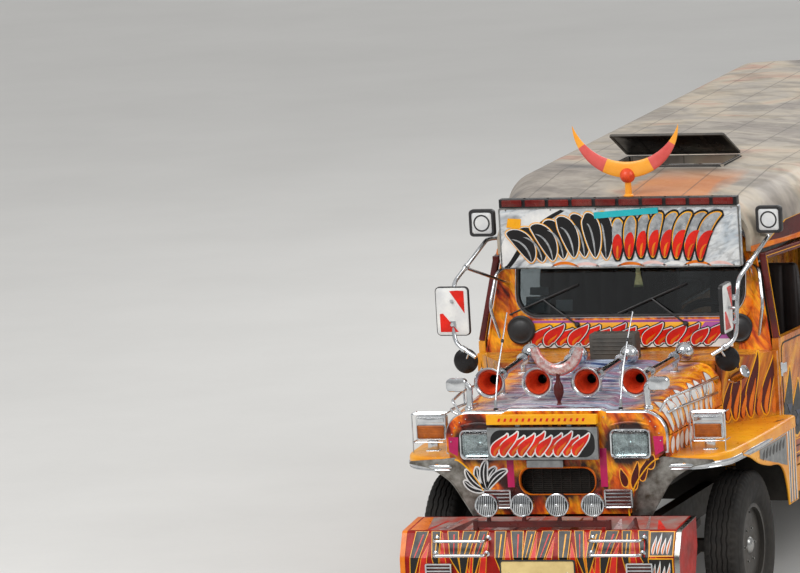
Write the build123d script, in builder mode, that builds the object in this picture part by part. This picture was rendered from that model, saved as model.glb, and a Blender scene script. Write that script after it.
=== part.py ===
from build123d import *
import os
from math import cos, radians, sin

os.makedirs("parts", exist_ok=True)

# A long-nosed passenger jeepney, about 7.1 m long, in millimetres.
# +X is the vehicle's left, +Y its rear, +Z up. Distances called y are measured
# rearwards from the grille's face, and GRILLE_Y puts the origin under the middle
# of the whole vehicle.

# Driving dimensions
FRONT_REACH = 445
REAR_REACH = 6680
GRILLE_Y = -(REAR_REACH - FRONT_REACH) / 2
BODY_HALF = 880
SHEET = 20
WALL = 30

# Wheels
WHEEL_R = 380
TYRE_W = 190
RIM_R = 205
TRACK_HALF = 740
FRONT_AXLE_Y = 640
REAR_AXLE_Y = 4550
KINGPIN_X = 620
SPINDLE_R = 22
BORE_R = 22.1

# Chassis
RAIL_X = 370
RAIL_W = 70
RAIL_Z = (440, 570)
MEMBER_Z = (450, 560)
FLOOR_Z = (710, 750)
RAIL_Y = (-345, 6440)
MEMBERS_Y = (60, 1620, 2900, 3900, 5300, 6400)
BEARERS_Y = (1400, 2250, 3400, 3950, 5150, 5800, 6360)
SHAFT_START = (0, 1500, 505)
SHAFT_END = (0, 4450, 399)

# Nose
FACE_TOP = 1178
FACE_HALF = 575
FACE_DEPTH = 48
HOOD_FRONT = 54
HOOD_REAR = 990
HOOD_REAR_TOP = 1268
HOOD_SIDE_Z = 1040
HOOD_CORNER_R = 120
LEDGE = 13  # how far the hood's and the face's raised middle stands above the rest
LEDGE_X = (236, 285)  # half width of the raised middle, at its top and at its foot
FENDER_TOP = 930
COWL_TOP = 1262
COWL_FRONT = 1000
FIREWALL_Y = 1100
DOOR_FRONT = (800, 1335)
DOOR_REAR = (860, 2145)

# Roof and windows
DRIP_Z = 1770
ROOF_FRONT = 1350
ROOF_REAR = 6490
SILL_Z = 1320
WINDOW_TOP = 1745
SKIRT_Z = 500
GLASS_FOOT = (1400, 1437)
GLASS_LEAN = 12
SIDES = (("left", 1), ("right", -1))


def spot(x, y, z):
    """A point in the vehicle's frame from its place behind the grille's face."""
    return (x, GRILLE_Y + y, z)


def across(y):
    """Plane across the vehicle: drawn in (x, z), extruded forwards."""
    return Plane(origin=spot(0, y, 0), x_dir=(1, 0, 0), z_dir=(0, -1, 0))


def along(x):
    """Plane along the vehicle: drawn in (y, z), extruded towards its left."""
    return Plane(origin=spot(x, 0, 0), x_dir=(0, 1, 0), z_dir=(1, 0, 0))


def level(z):
    """Level plane: drawn in (x, y), extruded upwards."""
    return Plane(origin=spot(0, 0, z))


def block(x, y, z, mode=Mode.ADD):
    """Box between two values on each axis."""
    with Locations(spot(sum(x) / 2, sum(y) / 2, sum(z) / 2)):
        Box(abs(x[1] - x[0]), abs(y[1] - y[0]), abs(z[1] - z[0]), mode=mode)


def plate(plane, outline, depth, mode=Mode.ADD):
    """Straight-edged outline extruded from its plane."""
    with BuildSketch(plane) as profile:
        with BuildLine():
            Polyline(*outline, close=True)
        make_face()
    extrude(profile.sketch, amount=depth, mode=mode)


def rod(start, end, radius, mode=Mode.ADD):
    """Round bar between two points."""
    foot = Vector(*spot(*start))
    run = Vector(*spot(*end)) - foot
    with BuildSketch(Plane(origin=foot, z_dir=run)) as profile:
        Circle(radius)
    extrude(profile.sketch, amount=run.length, mode=mode)


def bar(start, end, width, depth, facing=(1, 0, 0)):
    """Rectangular bar between two points, its width along facing."""
    foot = Vector(*spot(*start))
    run = Vector(*spot(*end)) - foot
    with BuildSketch(Plane(origin=foot, x_dir=facing, z_dir=run)) as profile:
        Rectangle(width, depth)
    extrude(profile.sketch, amount=run.length)


def bent_tube(points, radius, bend):
    """Round tube along straight runs joined by arcs."""
    with BuildLine() as route:
        FilletPolyline(*[spot(*point) for point in points], radius=bend)
    path = route.wires()[0]
    with BuildSketch(Plane(origin=path @ 0, z_dir=path % 0)) as profile:
        Circle(radius)
    sweep(profile.sketch, path=path)


def spun(centre, direction, outline):
    """Outline in (along, radius) turned about an axis through centre."""
    axis = Axis(origin=spot(*centre), direction=direction)
    upright = Vector(0, 0, 1)
    with BuildSketch(Plane(origin=spot(*centre), x_dir=direction,
                           z_dir=Vector(*direction).cross(upright))) as profile:
        with BuildLine():
            Polyline(*outline, close=True)
        make_face()
    revolve(profile.sketch, axis=axis)


def crown_line(half, top, foot, inset):
    """Line over the hood or the face, set in: sides, round shoulders and the raised middle."""
    side = half - inset
    low = top - LEDGE
    edge = half - HOOD_CORNER_R
    spring = low - HOOD_CORNER_R
    inner, outer = LEDGE_X
    Line((-side, foot), (-side, spring))
    RadiusArc((-side, spring), (-edge, low - inset), HOOD_CORNER_R - inset)
    Polyline((-edge, low - inset), (-outer, low - inset), (-inner, top - inset),
             (inner, top - inset), (outer, low - inset), (edge, low - inset))
    RadiusArc((edge, low - inset), (side, spring), HOOD_CORNER_R - inset)
    Line((side, spring), (side, foot))


def band(y, half, top, foot, wall):
    """Section across the hood: a cover with two sides and rounded shoulders."""
    with BuildSketch(across(y)) as section:
        with BuildLine():
            crown_line(half, top, foot, 0)
            crown_line(half, top, foot, wall)
            Line((-half, foot), (wall - half, foot))
            Line((half, foot), (half - wall, foot))
        make_face()
    return section.sketch


# Front bumper: a deep pressed box, open behind and below
BUMPER_HALF = 723
BUMPER_OUTER = ((-50, 650), (-318, 625), (-385, 500), (-385, 360), (-300, 250))
BUMPER_INNER = ((-268, 262), (-345, 372), (-345, 492), (-292, 590), (-50, 612))
with BuildPart() as front_bumper:
    plate(along(-BUMPER_HALF), BUMPER_OUTER + BUMPER_INNER, 2 * BUMPER_HALF)
    for name, s in SIDES:
        plate(along(s * BUMPER_HALF), BUMPER_OUTER + ((-160, 250), (-50, 500)), s * SHEET)
front_bumper.part.label = "front_bumper"
export_step(front_bumper.part, "parts/front_bumper.step")

# Frame: two rails, cross-members bored for the propeller shaft, and body bearers on top
with BuildPart() as frame_rails:
    for name, s in SIDES:
        block((s * RAIL_X - RAIL_W / 2, s * RAIL_X + RAIL_W / 2), RAIL_Y, RAIL_Z)
    add(front_bumper.part, mode=Mode.SUBTRACT)
frame_rails.part.label = "frame_rails"
export_step(frame_rails.part, "parts/frame_rails.step")

MEMBER_HALF = RAIL_X - RAIL_W / 2
with BuildPart() as cross_members:
    for y in MEMBERS_Y:
        block((-MEMBER_HALF, MEMBER_HALF), (y - 30, y + 30), MEMBER_Z)
    rod(SHAFT_START, SHAFT_END, 45, mode=Mode.SUBTRACT)
    for y in BEARERS_Y:
        half = 740 if y < 1500 else 800
        block((-half, half), (y - 30, y + 30), (RAIL_Z[1], FLOOR_Z[0]))
    block((-45, 45), (1330, 1500), (MEMBER_Z[1] + 5, 640), mode=Mode.SUBTRACT)
cross_members.part.label = "cross_members"
export_step(cross_members.part, "parts/cross_members.step")

# Front axle: a dropped beam with an eye for each kingpin
KINGPIN_R = 18
EYE_Z = (345, 415)
with BuildPart() as front_axle:
    with BuildSketch(across(FRONT_AXLE_Y + 35)) as beam:
        with BuildLine():
            Polyline((-KINGPIN_X, 350), (-540, 350), (-470, 290), (470, 290), (540, 350),
                     (KINGPIN_X, 350), (KINGPIN_X, 410), (500, 410), (440, 360), (-440, 360),
                     (-500, 410), (-KINGPIN_X, 410), close=True)
        make_face()
    extrude(amount=70)
    for name, s in SIDES:
        with Locations(spot(s * KINGPIN_X, FRONT_AXLE_Y, sum(EYE_Z) / 2)):
            Cylinder(34, EYE_Z[1] - EYE_Z[0])
            Cylinder(KINGPIN_R + 0.1, 200, mode=Mode.SUBTRACT)
    for name, s in SIDES:
        block((s * (KINGPIN_X + 5), s * (KINGPIN_X + 60)), (FRONT_AXLE_Y - 50, FRONT_AXLE_Y - 34),
              (300, 450), mode=Mode.SUBTRACT)
        block((s * (KINGPIN_X + 5), s * (KINGPIN_X + 60)), (FRONT_AXLE_Y + 34, FRONT_AXLE_Y + 50),
              (300, 450), mode=Mode.SUBTRACT)
front_axle.part.label = "front_axle"
export_step(front_axle.part, "parts/front_axle.step")

# Rear axle: differential, tube, brake drum and spindle, turned about the wheels' axis
AXLE_HALF = ((0, 130), (60, 116), (105, 80), (150, 45), (610, 45), (610, 150), (650, 150),
             (650, SPINDLE_R), (790, SPINDLE_R), (790, 0))
with BuildPart() as rear_axle:
    spun((0, REAR_AXLE_Y, WHEEL_R), (1, 0, 0),
         [(-x, r) for x, r in reversed(AXLE_HALF[1:])] + list(AXLE_HALF))
rear_axle.part.label = "rear_axle"
export_step(rear_axle.part, "parts/rear_axle.step")

# Leaf springs: one bowed pack at each wheel, under its rail
SPRINGS = (  # axle y, half span, top at the middle, top at the ends
    (FRONT_AXLE_Y, 480, 400, 440),
    (REAR_AXLE_Y, 600, 335, 440),
)
LEAF_PACK = 40
with BuildPart() as leaf_springs:
    for axle_y, reach, middle, ends in SPRINGS:
        for name, s in SIDES:
            with BuildSketch(along(s * RAIL_X - 30)) as pack:
                with BuildLine():
                    top = ThreePointArc((axle_y - reach, ends), (axle_y, middle),
                                        (axle_y + reach, ends))
                    low = ThreePointArc((axle_y + reach, ends - LEAF_PACK),
                                        (axle_y, middle - LEAF_PACK),
                                        (axle_y - reach, ends - LEAF_PACK))
                    Line(top @ 1, low @ 0)
                    Line(low @ 1, top @ 0)
                make_face()
            extrude(amount=60)
leaf_springs.part.label = "leaf_springs"
export_step(leaf_springs.part, "parts/leaf_springs.step")

# Engine and gearbox: a plain mass between the rails
with BuildPart() as engine:
    block((-250, 250), (220, 920), (580, 1080))
    block((-130, 130), (900, 1040), (580, 700))
    block((-110, 110), (1040, 1330), (580, 700))
    rod((0, 1300, 600), (0, 1500, 600), 40)
    rod((0, 1440, 505), (0, 1500, 505), 50)
    block((-40, 40), (1440, 1500), (505, 600))
    block((-334, 334), (400, 470), (560, 600))
engine.part.label = "engine"
export_step(engine.part, "parts/engine.step")

# Propeller shaft from the gearbox to the differential
with BuildPart() as driveshaft:
    rod(SHAFT_START, SHAFT_END, 30)
    add(engine.part, mode=Mode.SUBTRACT)
    add(rear_axle.part, mode=Mode.SUBTRACT)
driveshaft.part.label = "driveshaft"
export_step(driveshaft.part, "parts/driveshaft.step")

# Exhaust pipe with its silencer, hung from the cross-members
PIPE_X = -200
PIPE_Z = 410
with BuildPart() as exhaust:
    bent_tube(((PIPE_X, 900, 620), (PIPE_X, 1000, 620), (PIPE_X, 1250, PIPE_Z),
               (PIPE_X, 3960, PIPE_Z)), 22, 60)
    rod((PIPE_X, 2150, PIPE_Z), (PIPE_X, 2750, PIPE_Z), 62)
    for y in MEMBERS_Y[1:4]:
        block((PIPE_X - 10, PIPE_X + 10), (y - 15, y + 15), (PIPE_Z, MEMBER_Z[0]))
    add(engine.part, mode=Mode.SUBTRACT)
exhaust.part.label = "exhaust"
export_step(exhaust.part, "parts/exhaust.step")

# Fuel tank beside the left rail
with BuildPart() as fuel_tank:
    block((RAIL_X + RAIL_W / 2, 760), (2450, 3150), (360, 600))
    fillet(fuel_tank.edges().filter_by(Axis.Y), radius=40)
fuel_tank.part.label = "fuel_tank"
export_step(fuel_tank.part, "parts/fuel_tank.step")

# Radiator behind the grille, standing on the first cross-member
with BuildPart() as radiator:
    block((-380, 380), (70, 140), (600, 1110))
    block((-330, 330), (30, 90), (560, 620))
radiator.part.label = "radiator"
export_step(radiator.part, "parts/radiator.step")

# Number plates: bare plates, one on each bumper
PLATE_HALF = 195
PLATE_H = 140
with BuildPart() as number_plates:
    block((-PLATE_HALF, PLATE_HALF), (-421, -415), (355, 355 + PLATE_H))
    block((-160, 160), (-415, -385), (370, 480))
    for x in (-150, 150):
        rod((x, -430, 425), (x, -380, 425), 3.5, mode=Mode.SUBTRACT)
    block((-PLATE_HALF, PLATE_HALF), (6475, 6481), (560, 560 + PLATE_H))
number_plates.part.label = "number_plates"
export_step(number_plates.part, "parts/number_plates.step")

# Grille shell: the painted face with a lower opening, flanged to the rear
FACE_LOW = ((FACE_HALF, 970), (514, 926), (414, 815), (365, 700), (365, 652))
with BuildPart() as grille_shell:
    with BuildSketch(across(FACE_DEPTH)) as face:
        with BuildLine():
            crown_line(FACE_HALF, FACE_TOP, 970, 0)
            Polyline(*FACE_LOW)
            Line(FACE_LOW[-1], (-FACE_LOW[-1][0], FACE_LOW[-1][1]))
            Polyline(*[(-x, z) for x, z in reversed(FACE_LOW)])
        make_face()
    extrude(amount=FACE_DEPTH)
    with BuildSketch(across(FACE_DEPTH)) as pocket:
        with BuildLine():
            crown_line(FACE_HALF, FACE_TOP, 990, SHEET)
            Polyline((FACE_HALF - SHEET, 990), (350, 700), (350, 660), (-350, 660), (-350, 700),
                     (SHEET - FACE_HALF, 990))
        make_face()
    extrude(amount=FACE_DEPTH - SHEET, mode=Mode.SUBTRACT)
    with BuildSketch(across(FACE_DEPTH)) as mouth:
        with Locations((0, 820)):
            RectangleRounded(394, 135, 60)
    extrude(amount=FACE_DEPTH + 5, mode=Mode.SUBTRACT)
    block((-365, 365), (-50, 20), (630, 655))
grille_shell.part.label = "grille_shell"
export_step(grille_shell.part, "parts/grille_shell.step")

# Stainless panels between the face and the wheel openings
FACE_EDGE = ((365, 637), (365, 690), (414, 815), (514, 926))
ARCH_CURVE = ((660, 868), (580, 814), (512, 713), (466, 637))
with BuildPart() as arch_panels:
    for name, s in SIDES:
        outline = FACE_EDGE + ((552, 956), (552, 868)) + ARCH_CURVE
        plate(across(FACE_DEPTH + 8), [(s * x, z) for x, z in outline], 8)
arch_panels.part.label = "arch_panels"
export_step(arch_panels.part, "parts/arch_panels.step")

# Headlamps, through the face
HEADLAMP = (393, 1008, 216, 157)  # x, z, width, height
with BuildPart() as headlamps:
    for name, s in SIDES:
        with BuildSketch(across(0)) as lamp:
            with Locations((s * HEADLAMP[0], HEADLAMP[1])):
                RectangleRounded(HEADLAMP[2], HEADLAMP[3], 16)
        extrude(amount=18)
headlamps.part.label = "headlamps"
export_step(headlamps.part, "parts/headlamps.step")

# Signal lamps: louvred ones under the headlamps and on the bumper's face, boxes on the
# fenders and a pair at the rear
with BuildPart() as signal_lamps:
    for name, s in SIDES:
        block((s * (316 - 73), s * (316 + 73)), (-22, 0), (683, 780))
        block((s * 452, s * 592), (-407, -385), (380, 476))
        block((s * 648, s * 805), (235, 285), (985, 1114))
        block((s * 700, s * 750), (245, 275), (FENDER_TOP, 985))
        block((s * 620, s * 820), (6475, 6505), (900, 1010))
signal_lamps.part.label = "signal_lamps"
export_step(signal_lamps.part, "parts/signal_lamps.step")

# Four round lamps on a bar that stands on the bumper
LAMPS_X = (-276, -92, 92, 276)
LAMP_R = 61
with BuildPart() as round_lamps:
    block((-355, 355), (-310, -285), (636, 672))
    for x in (-340, 340):
        block((x - 15, x + 15), (-312, -283), (620, 650))
    for x in LAMPS_X:
        rod((x, -335, 755), (x, -265, 755), LAMP_R)
        rod((x, -298, 660), (x, -298, 720), 12)
    add(front_bumper.part, mode=Mode.SUBTRACT)
round_lamps.part.label = "round_lamps"
export_step(round_lamps.part, "parts/round_lamps.step")

# Signs on the face: bare boxes
SIGNS = (  # x middle, z low, z high, width, depth
    (-55, 935, 1100, 577, 26),
    (-55, 1114, 1163, 576, 30),
)
with BuildPart() as face_signs:
    for x, low, high, width, depth in SIGNS:
        block((x - width / 2, x + width / 2), (-18 - depth, -18), (low, high))
    block((-200, 90), (-18, 0), (950, 1150))
    block((-150, 40), (-26, -4), (893, 930))
    block((-70, -40), (-18, 0), (900, 955))
face_signs.part.label = "face_signs"
export_step(face_signs.part, "parts/face_signs.step")

# Fenders: flat tops with an edge band, an inner wall and a deep rear skirt
CORNER_ARC = ((600, 54), (770, 112), (848, 280))  # outer edge of the top in plan, at the front
CORNER_INSIDE = ((601, 74), (757, 127), (828, 280))
SIDE_ARC = (CORNER_ARC[2], (867, 600), (880, 1120))
BAND_END = (856, 400)
FENDER_REAR = ((880, 1120), (880, 1290), (790, 1290), (578, 1005), (560, 1005), (560, 75), (600, 54))
SKIRT = ((378, 925), (378, 883), (638, 800), (964, 740), (1050, 690), (1125, SKIRT_Z),
         (1290, SKIRT_Z), (1290, 925))
with BuildPart() as fenders:
    for name, s in SIDES:
        with BuildSketch(level(FENDER_TOP - SHEET)) as top:
            with BuildLine():
                ThreePointArc(*[(s * x, y) for x, y in CORNER_ARC])
                ThreePointArc(*[(s * x, y) for x, y in SIDE_ARC])
                Polyline(*[(s * x, y) for x, y in FENDER_REAR])
            make_face()
        extrude(amount=SHEET)
        with BuildSketch(level(FENDER_TOP - 60)) as edge:
            with BuildLine():
                outside = ThreePointArc(*[(s * x, y) for x, y in CORNER_ARC])
                inside = ThreePointArc(*[(s * x, y) for x, y in CORNER_INSIDE])
                end = (s * BAND_END[0], BAND_END[1])
                Polyline(outside @ 1, end, (end[0] - s * SHEET, end[1]), inside @ 1)
                Line(inside @ 0, outside @ 0)
            make_face()
        extrude(amount=60)
        plate(along(s * 860), SKIRT, s * SHEET)
        block((s * 560, s * 578), (75, 1005), (785, FENDER_TOP))
        plate(level(SKIRT_Z + 20), [(s * 577, 1125), (s * 875, 1125), (s * 875, 1145), (s * 597, 1145)],
              FENDER_TOP - SKIRT_Z - 30)
        block((s * 840, s * 862), (380, 420), (FENDER_TOP - 60, FENDER_TOP))
fenders.part.label = "fenders"
export_step(fenders.part, "parts/fenders.step")

# Engine bay sides: fixed panels between the fenders and the hood
with BuildPart() as engine_sides:
    for name, s in SIDES:
        panel = [(s * FACE_HALF, FACE_DEPTH), (s * (FACE_HALF + 10), HOOD_REAR + 5),
                 (s * (FACE_HALF - 10), HOOD_REAR + 5), (s * (FACE_HALF - SHEET), FACE_DEPTH)]
        plate(level(FENDER_TOP), panel, HOOD_SIDE_Z - 6 - FENDER_TOP)
engine_sides.part.label = "engine_sides"
export_step(engine_sides.part, "parts/engine_sides.step")

# Rub rails on the bumper's face
RAIL_TUBE_R = 12
with BuildPart() as rub_rails:
    for name, s in SIDES:
        for z, y_face, y_bar in ((520, -374, -FRONT_REACH + RAIL_TUBE_R),
                                 (590, -337, -FRONT_REACH + RAIL_TUBE_R + 15)):
            rod((s * 270, y_bar, z), (s * 540, y_bar, z), RAIL_TUBE_R)
            for x in (310, 500):
                rod((s * x, y_bar, z), (s * x, y_face + 15, z), 9)
    add(front_bumper.part, mode=Mode.SUBTRACT)
rub_rails.part.label = "rub_rails"
export_step(rub_rails.part, "parts/rub_rails.step")

# Windscreen: a leaning frame and its one pane
lean = Plane(origin=spot(0, *GLASS_FOOT), x_dir=(1, 0, 0),
             z_dir=(0, -cos(radians(GLASS_LEAN)), sin(radians(GLASS_LEAN))))
FRAME_H = (-67, 430)
PANE_H = (0, 370)
with BuildPart() as windshield_frame:
    with BuildSketch(lean) as surround:
        with Locations((0, sum(FRAME_H) / 2)):
            RectangleRounded(1310, FRAME_H[1] - FRAME_H[0], 150)
        with Locations((0, sum(PANE_H) / 2)):
            RectangleRounded(1210, PANE_H[1] - PANE_H[0], 120, mode=Mode.SUBTRACT)
    extrude(amount=-35)
windshield_frame.part.label = "windshield_frame"
export_step(windshield_frame.part, "parts/windshield_frame.step")

with BuildPart() as windshield_glass:
    with BuildSketch(lean.offset(-20)) as pane:
        with Locations((0, sum(PANE_H) / 2)):
            RectangleRounded(1210, PANE_H[1] - PANE_H[0], 120)
    extrude(amount=6)
windshield_glass.part.label = "windshield_glass"
export_step(windshield_glass.part, "parts/windshield_glass.step")

# Cowl: a deck that flares out to the doors, its sides, the bulkhead and the door posts
DECK = ((585, COWL_FRONT), (798, 1325), (758, 1329), (758, 1412))
with BuildPart() as cowl:
    deck = [(x, y) for x, y in DECK] + [(-x, y) for x, y in reversed(DECK)]
    plate(level(COWL_TOP - SHEET), deck, SHEET)
    for name, s in SIDES:
        flare = [(s * 585, COWL_FRONT), (s * 800, 1325), (s * 776, 1330), (s * 562, COWL_FRONT)]
        plate(level(FENDER_TOP), flare, COWL_TOP - FENDER_TOP)
        block((s * 768, s * 798), (1293, 1328), (SKIRT_Z, COWL_TOP))
        plate(level(FLOOR_Z[0] - 40), [(s * 552, FIREWALL_Y), (s * 552, 1122), (s * 745, 1329),
                                       (s * 770, 1329), (s * 770, 1293), (s * 600, FIREWALL_Y + 48)],
              FENDER_TOP - SHEET - FLOOR_Z[0] + 40)
    block((-552, 552), (FIREWALL_Y, FIREWALL_Y + SHEET), (701, COWL_TOP - SHEET))
    block((-555, 555), (1004, FIREWALL_Y + 2), (1180, COWL_TOP - SHEET))
    plate(across(1412), ((-660, COWL_TOP - 5), (660, COWL_TOP - 5), (640, 1372), (-640, 1372)), 24)
    block((-120, 120), (1062, 1150), (COWL_TOP - 5, 1390))
    add(windshield_frame.part, mode=Mode.SUBTRACT)
cowl.part.label = "cowl"
export_step(cowl.part, "parts/cowl.step")

# Roof: an arched shell, its front closed over the windscreen, with a hatchway
ROOF_WALL = 25
ROOF_SECTIONS = (  # y, half width, crown
    (ROOF_FRONT, 675, 2030),
    (2200, 872, 2095),
    (6300, 872, 2115),
    (ROOF_REAR, 860, 2085),
)
SHOULDER = 185
SHOULDER_R = 205
CROWN_RISE = 15
HATCH_HALF = 295
HATCH_Y = (2190, 2516)
COAMING_TOP = 2102


def arch_line(half, crown, inset):
    """Line over the roof from its left foot to its right one, set in from the outside."""
    edge = half - SHOULDER
    height = crown - CROWN_RISE - inset
    spring = crown - CROWN_RISE - SHOULDER + 20
    side = half - inset
    Line((-side, DRIP_Z), (-side, spring))
    RadiusArc((-side, spring), (-edge, height), SHOULDER_R - inset)
    ThreePointArc((-edge, height), (0, crown - inset), (edge, height))
    RadiusArc((edge, height), (side, spring), SHOULDER_R - inset)
    Line((side, spring), (side, DRIP_Z))


def roof_arch(y, half, crown):
    """Closed band across the roof: upright foot, round shoulder and a gentle crown."""
    with BuildSketch(across(y)) as section:
        with BuildLine():
            arch_line(half, crown, 0)
            arch_line(half, crown, ROOF_WALL)
            Line((-half, DRIP_Z), (ROOF_WALL - half, DRIP_Z))
            Line((half, DRIP_Z), (half - ROOF_WALL, DRIP_Z))
        make_face()
    return section.sketch


FASCIA = (1515, 710, 2041)  # y of its back, half width and crown of the roof there
with BuildPart() as roof:
    loft([roof_arch(*row).face() for row in ROOF_SECTIONS], ruled=True)
    with BuildSketch(across(FASCIA[0])) as fascia:
        with BuildLine():
            arch_line(FASCIA[1], FASCIA[2], 12)
            Line((12 - FASCIA[1], DRIP_Z), (FASCIA[1] - 12, DRIP_Z))
        make_face()
        with Locations((0, 1700)):
            Rectangle(1312, 2 * (1858 - 1700), mode=Mode.SUBTRACT)
    extrude(amount=WALL)
    block((-HATCH_HALF - 18, HATCH_HALF + 18), (HATCH_Y[0] - 18, HATCH_Y[1] + 18),
          (2060, COAMING_TOP))
    block((-HATCH_HALF, HATCH_HALF), HATCH_Y, (1990, 2200), mode=Mode.SUBTRACT)
roof.part.label = "roof"
export_step(roof.part, "parts/roof.step")

# Destination board over the windscreen with a lamp strip above it
with BuildPart() as visor_sign:
    block((-640, 640), (1285, 1325), (1700, 2017))
    block((-632, 632), (1270, 1330), (2017, 2067))
    for x in (-400, 400):
        block((x - 20, x + 20), (1325, 1400), (1968, 2008))
    add(roof.part, mode=Mode.SUBTRACT)
visor_sign.part.label = "visor_sign"
export_step(visor_sign.part, "parts/visor_sign.step")

# Sides of the passenger box: panels with a wheel opening up to the windows' sills
SIDE_FRONT = 2155
SIDE_REAR = 6445
PILLAR = 45
WINDOWS_Y = (2250, 6390)
WINDOW_COUNT = 6
ARCH_R = 470
bay = (WINDOWS_Y[1] - WINDOWS_Y[0] + PILLAR) / WINDOW_COUNT
with BuildPart() as body_sides:
    for name, s in SIDES:
        block((s * (BODY_HALF - WALL), s * BODY_HALF), (SIDE_FRONT, SIDE_REAR), (SKIRT_Z, SILL_Z))
        rocker = [(s * 770, 1330), (s * 798, 1330), (s * 853, SIDE_FRONT + 5),
                  (s * 830, SIDE_FRONT + 5)]
        plate(level(SKIRT_Z), rocker, 130)
        block((s * 825, s * 860), (SIDE_FRONT, SIDE_FRONT + 30), (SKIRT_Z, SKIRT_Z + 130))
    rod((-900, REAR_AXLE_Y, WHEEL_R), (900, REAR_AXLE_Y, WHEEL_R), ARCH_R, mode=Mode.SUBTRACT)
body_sides.part.label = "body_sides"
export_step(body_sides.part, "parts/body_sides.step")

# Window frames on the side panels: thin pillars under a header that carries the roof
with BuildPart() as window_frames:
    for name, s in SIDES:
        wall_x = (s * (BODY_HALF - WALL), s * BODY_HALF)
        block(wall_x, (SIDE_FRONT, SIDE_REAR), (WINDOW_TOP, DRIP_Z))
        block(wall_x, (SIDE_FRONT, WINDOWS_Y[0]), (SILL_Z, WINDOW_TOP))
        block(wall_x, (WINDOWS_Y[1], SIDE_REAR), (SILL_Z, WINDOW_TOP))
        for k in range(1, WINDOW_COUNT):
            y = WINDOWS_Y[0] + k * bay
            block(wall_x, (y - PILLAR, y), (SILL_Z, WINDOW_TOP))
window_frames.part.label = "window_frames"
export_step(window_frames.part, "parts/window_frames.step")

# Rear wall with the passengers' doorway and two windows
DOORWAY_HALF = 340
with BuildPart() as rear_wall:
    with BuildSketch(across(SIDE_REAR + WALL)) as panel:
        with BuildLine():
            arch_line(862, 2089, ROOF_WALL + 3)
            foot = 862 - ROOF_WALL - 3
            Polyline((-foot, DRIP_Z), (-foot, SKIRT_Z), (foot, SKIRT_Z), (foot, DRIP_Z))
        make_face()
    extrude(amount=WALL)
    block((-DOORWAY_HALF, DOORWAY_HALF), (6400, 6500), (FLOOR_Z[1], 1960), mode=Mode.SUBTRACT)
    for name, s in SIDES:
        block((s * 400, s * 790), (6400, 6500), (SILL_Z, WINDOW_TOP), mode=Mode.SUBTRACT)
rear_wall.part.label = "rear_wall"
export_step(rear_wall.part, "parts/rear_wall.step")

# Floor with boxes over the rear wheels
FLOOR_PLAN = ((545, 1122), (742, 1335), (815, 2150), (850, 2160), (850, SIDE_REAR))
WHEEL_BOX = (600, 850, 880)  # inner x, outer x, top
with BuildPart() as floor:
    deck = [(x, y) for x, y in FLOOR_PLAN] + [(-x, y) for x, y in reversed(FLOOR_PLAN)]
    plate(level(FLOOR_Z[0]), deck, FLOOR_Z[1] - FLOOR_Z[0])
    for name, s in SIDES:
        inner, outer, top = WHEEL_BOX
        block((s * inner, s * outer), (REAR_AXLE_Y - 480, REAR_AXLE_Y + 480), (FLOOR_Z[0], top))
        block((s * (inner + 15), s * (outer + 60)), (REAR_AXLE_Y - 465, REAR_AXLE_Y + 465),
              (600, top - 15), mode=Mode.SUBTRACT)
floor.part.label = "floor"
export_step(floor.part, "parts/floor.step")

# Two benches that face each other: a front panel, a cushion and a back rail
BENCH_Y = (2450, 6350)
with BuildPart() as benches:
    for name, s in SIDES:
        block((s * 500, s * 520), BENCH_Y, (FLOOR_Z[1], 1090))
        block((s * 480, s * 849), BENCH_Y, (1080, 1180))
        block((s * 800, s * 849), BENCH_Y, (1170, 1310))
benches.part.label = "benches"
export_step(benches.part, "parts/benches.step")

# Cab seats: one for the driver and a wider one beside it
with BuildPart() as front_seats:
    for low, high in ((220, 700), (-700, 60)):
        block((low, high), (1760, 2130), (FLOOR_Z[1], 1030))
        block((low - 10, high + 10), (1730, 2180), (1020, 1150))
        block((low, high), (2080, 2180), (1140, 1600))
front_seats.part.label = "front_seats"
export_step(front_seats.part, "parts/front_seats.step")

# Dashboard on the cowl, with the steering column
WHEEL_HUB = (400, 1640, 1330)
COLUMN_FOOT = (400, 1250, 1010)
with BuildPart() as dashboard:
    block((-650, 650), (1412, 1470), (1120, 1275))
    rod(COLUMN_FOOT, (400, 1620, 1313.6), 25)
    rod((400, 1114, 898.2), COLUMN_FOOT, 20)
    add(cowl.part, mode=Mode.SUBTRACT)
dashboard.part.label = "dashboard"
export_step(dashboard.part, "parts/dashboard.step")

# Steering wheel
column = (Vector(*WHEEL_HUB) - Vector(*COLUMN_FOOT)).normalized()
wheel_plane = Plane(origin=spot(*WHEEL_HUB), x_dir=(1, 0, 0), z_dir=column)
with BuildPart() as steering_wheel:
    with BuildSketch(wheel_plane) as hub:
        Circle(45)
    extrude(amount=25)
    with BuildSketch(wheel_plane.offset(6)) as spokes:
        for turn in (90, 210, 330):
            with Locations(Rotation(0, 0, turn)):
                Rectangle(195, 28, align=(Align.MIN, Align.CENTER))
    extrude(amount=12)
    with BuildSketch(Plane(origin=wheel_plane.origin, x_dir=(1, 0, 0),
                           z_dir=wheel_plane.y_dir)) as section:
        with Locations((200, -12)):
            Circle(13)
    revolve(axis=Axis(wheel_plane.origin, column))
steering_wheel.part.label = "steering_wheel"
export_step(steering_wheel.part, "parts/steering_wheel.step")

# Two hand rails under the roof
with BuildPart() as ceiling_rails:
    for name, s in SIDES:
        rod((s * 330, 2560, 1960), (s * 330, 6350, 1960), 14)
        for y in (2640, 3550, 4450, 5350, 6270):
            rod((s * 330, y, 1960), (s * 330, y, 2085), 9)
    add(roof.part, mode=Mode.SUBTRACT)
ceiling_rails.part.label = "ceiling_rails"
export_step(ceiling_rails.part, "parts/ceiling_rails.step")

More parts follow.
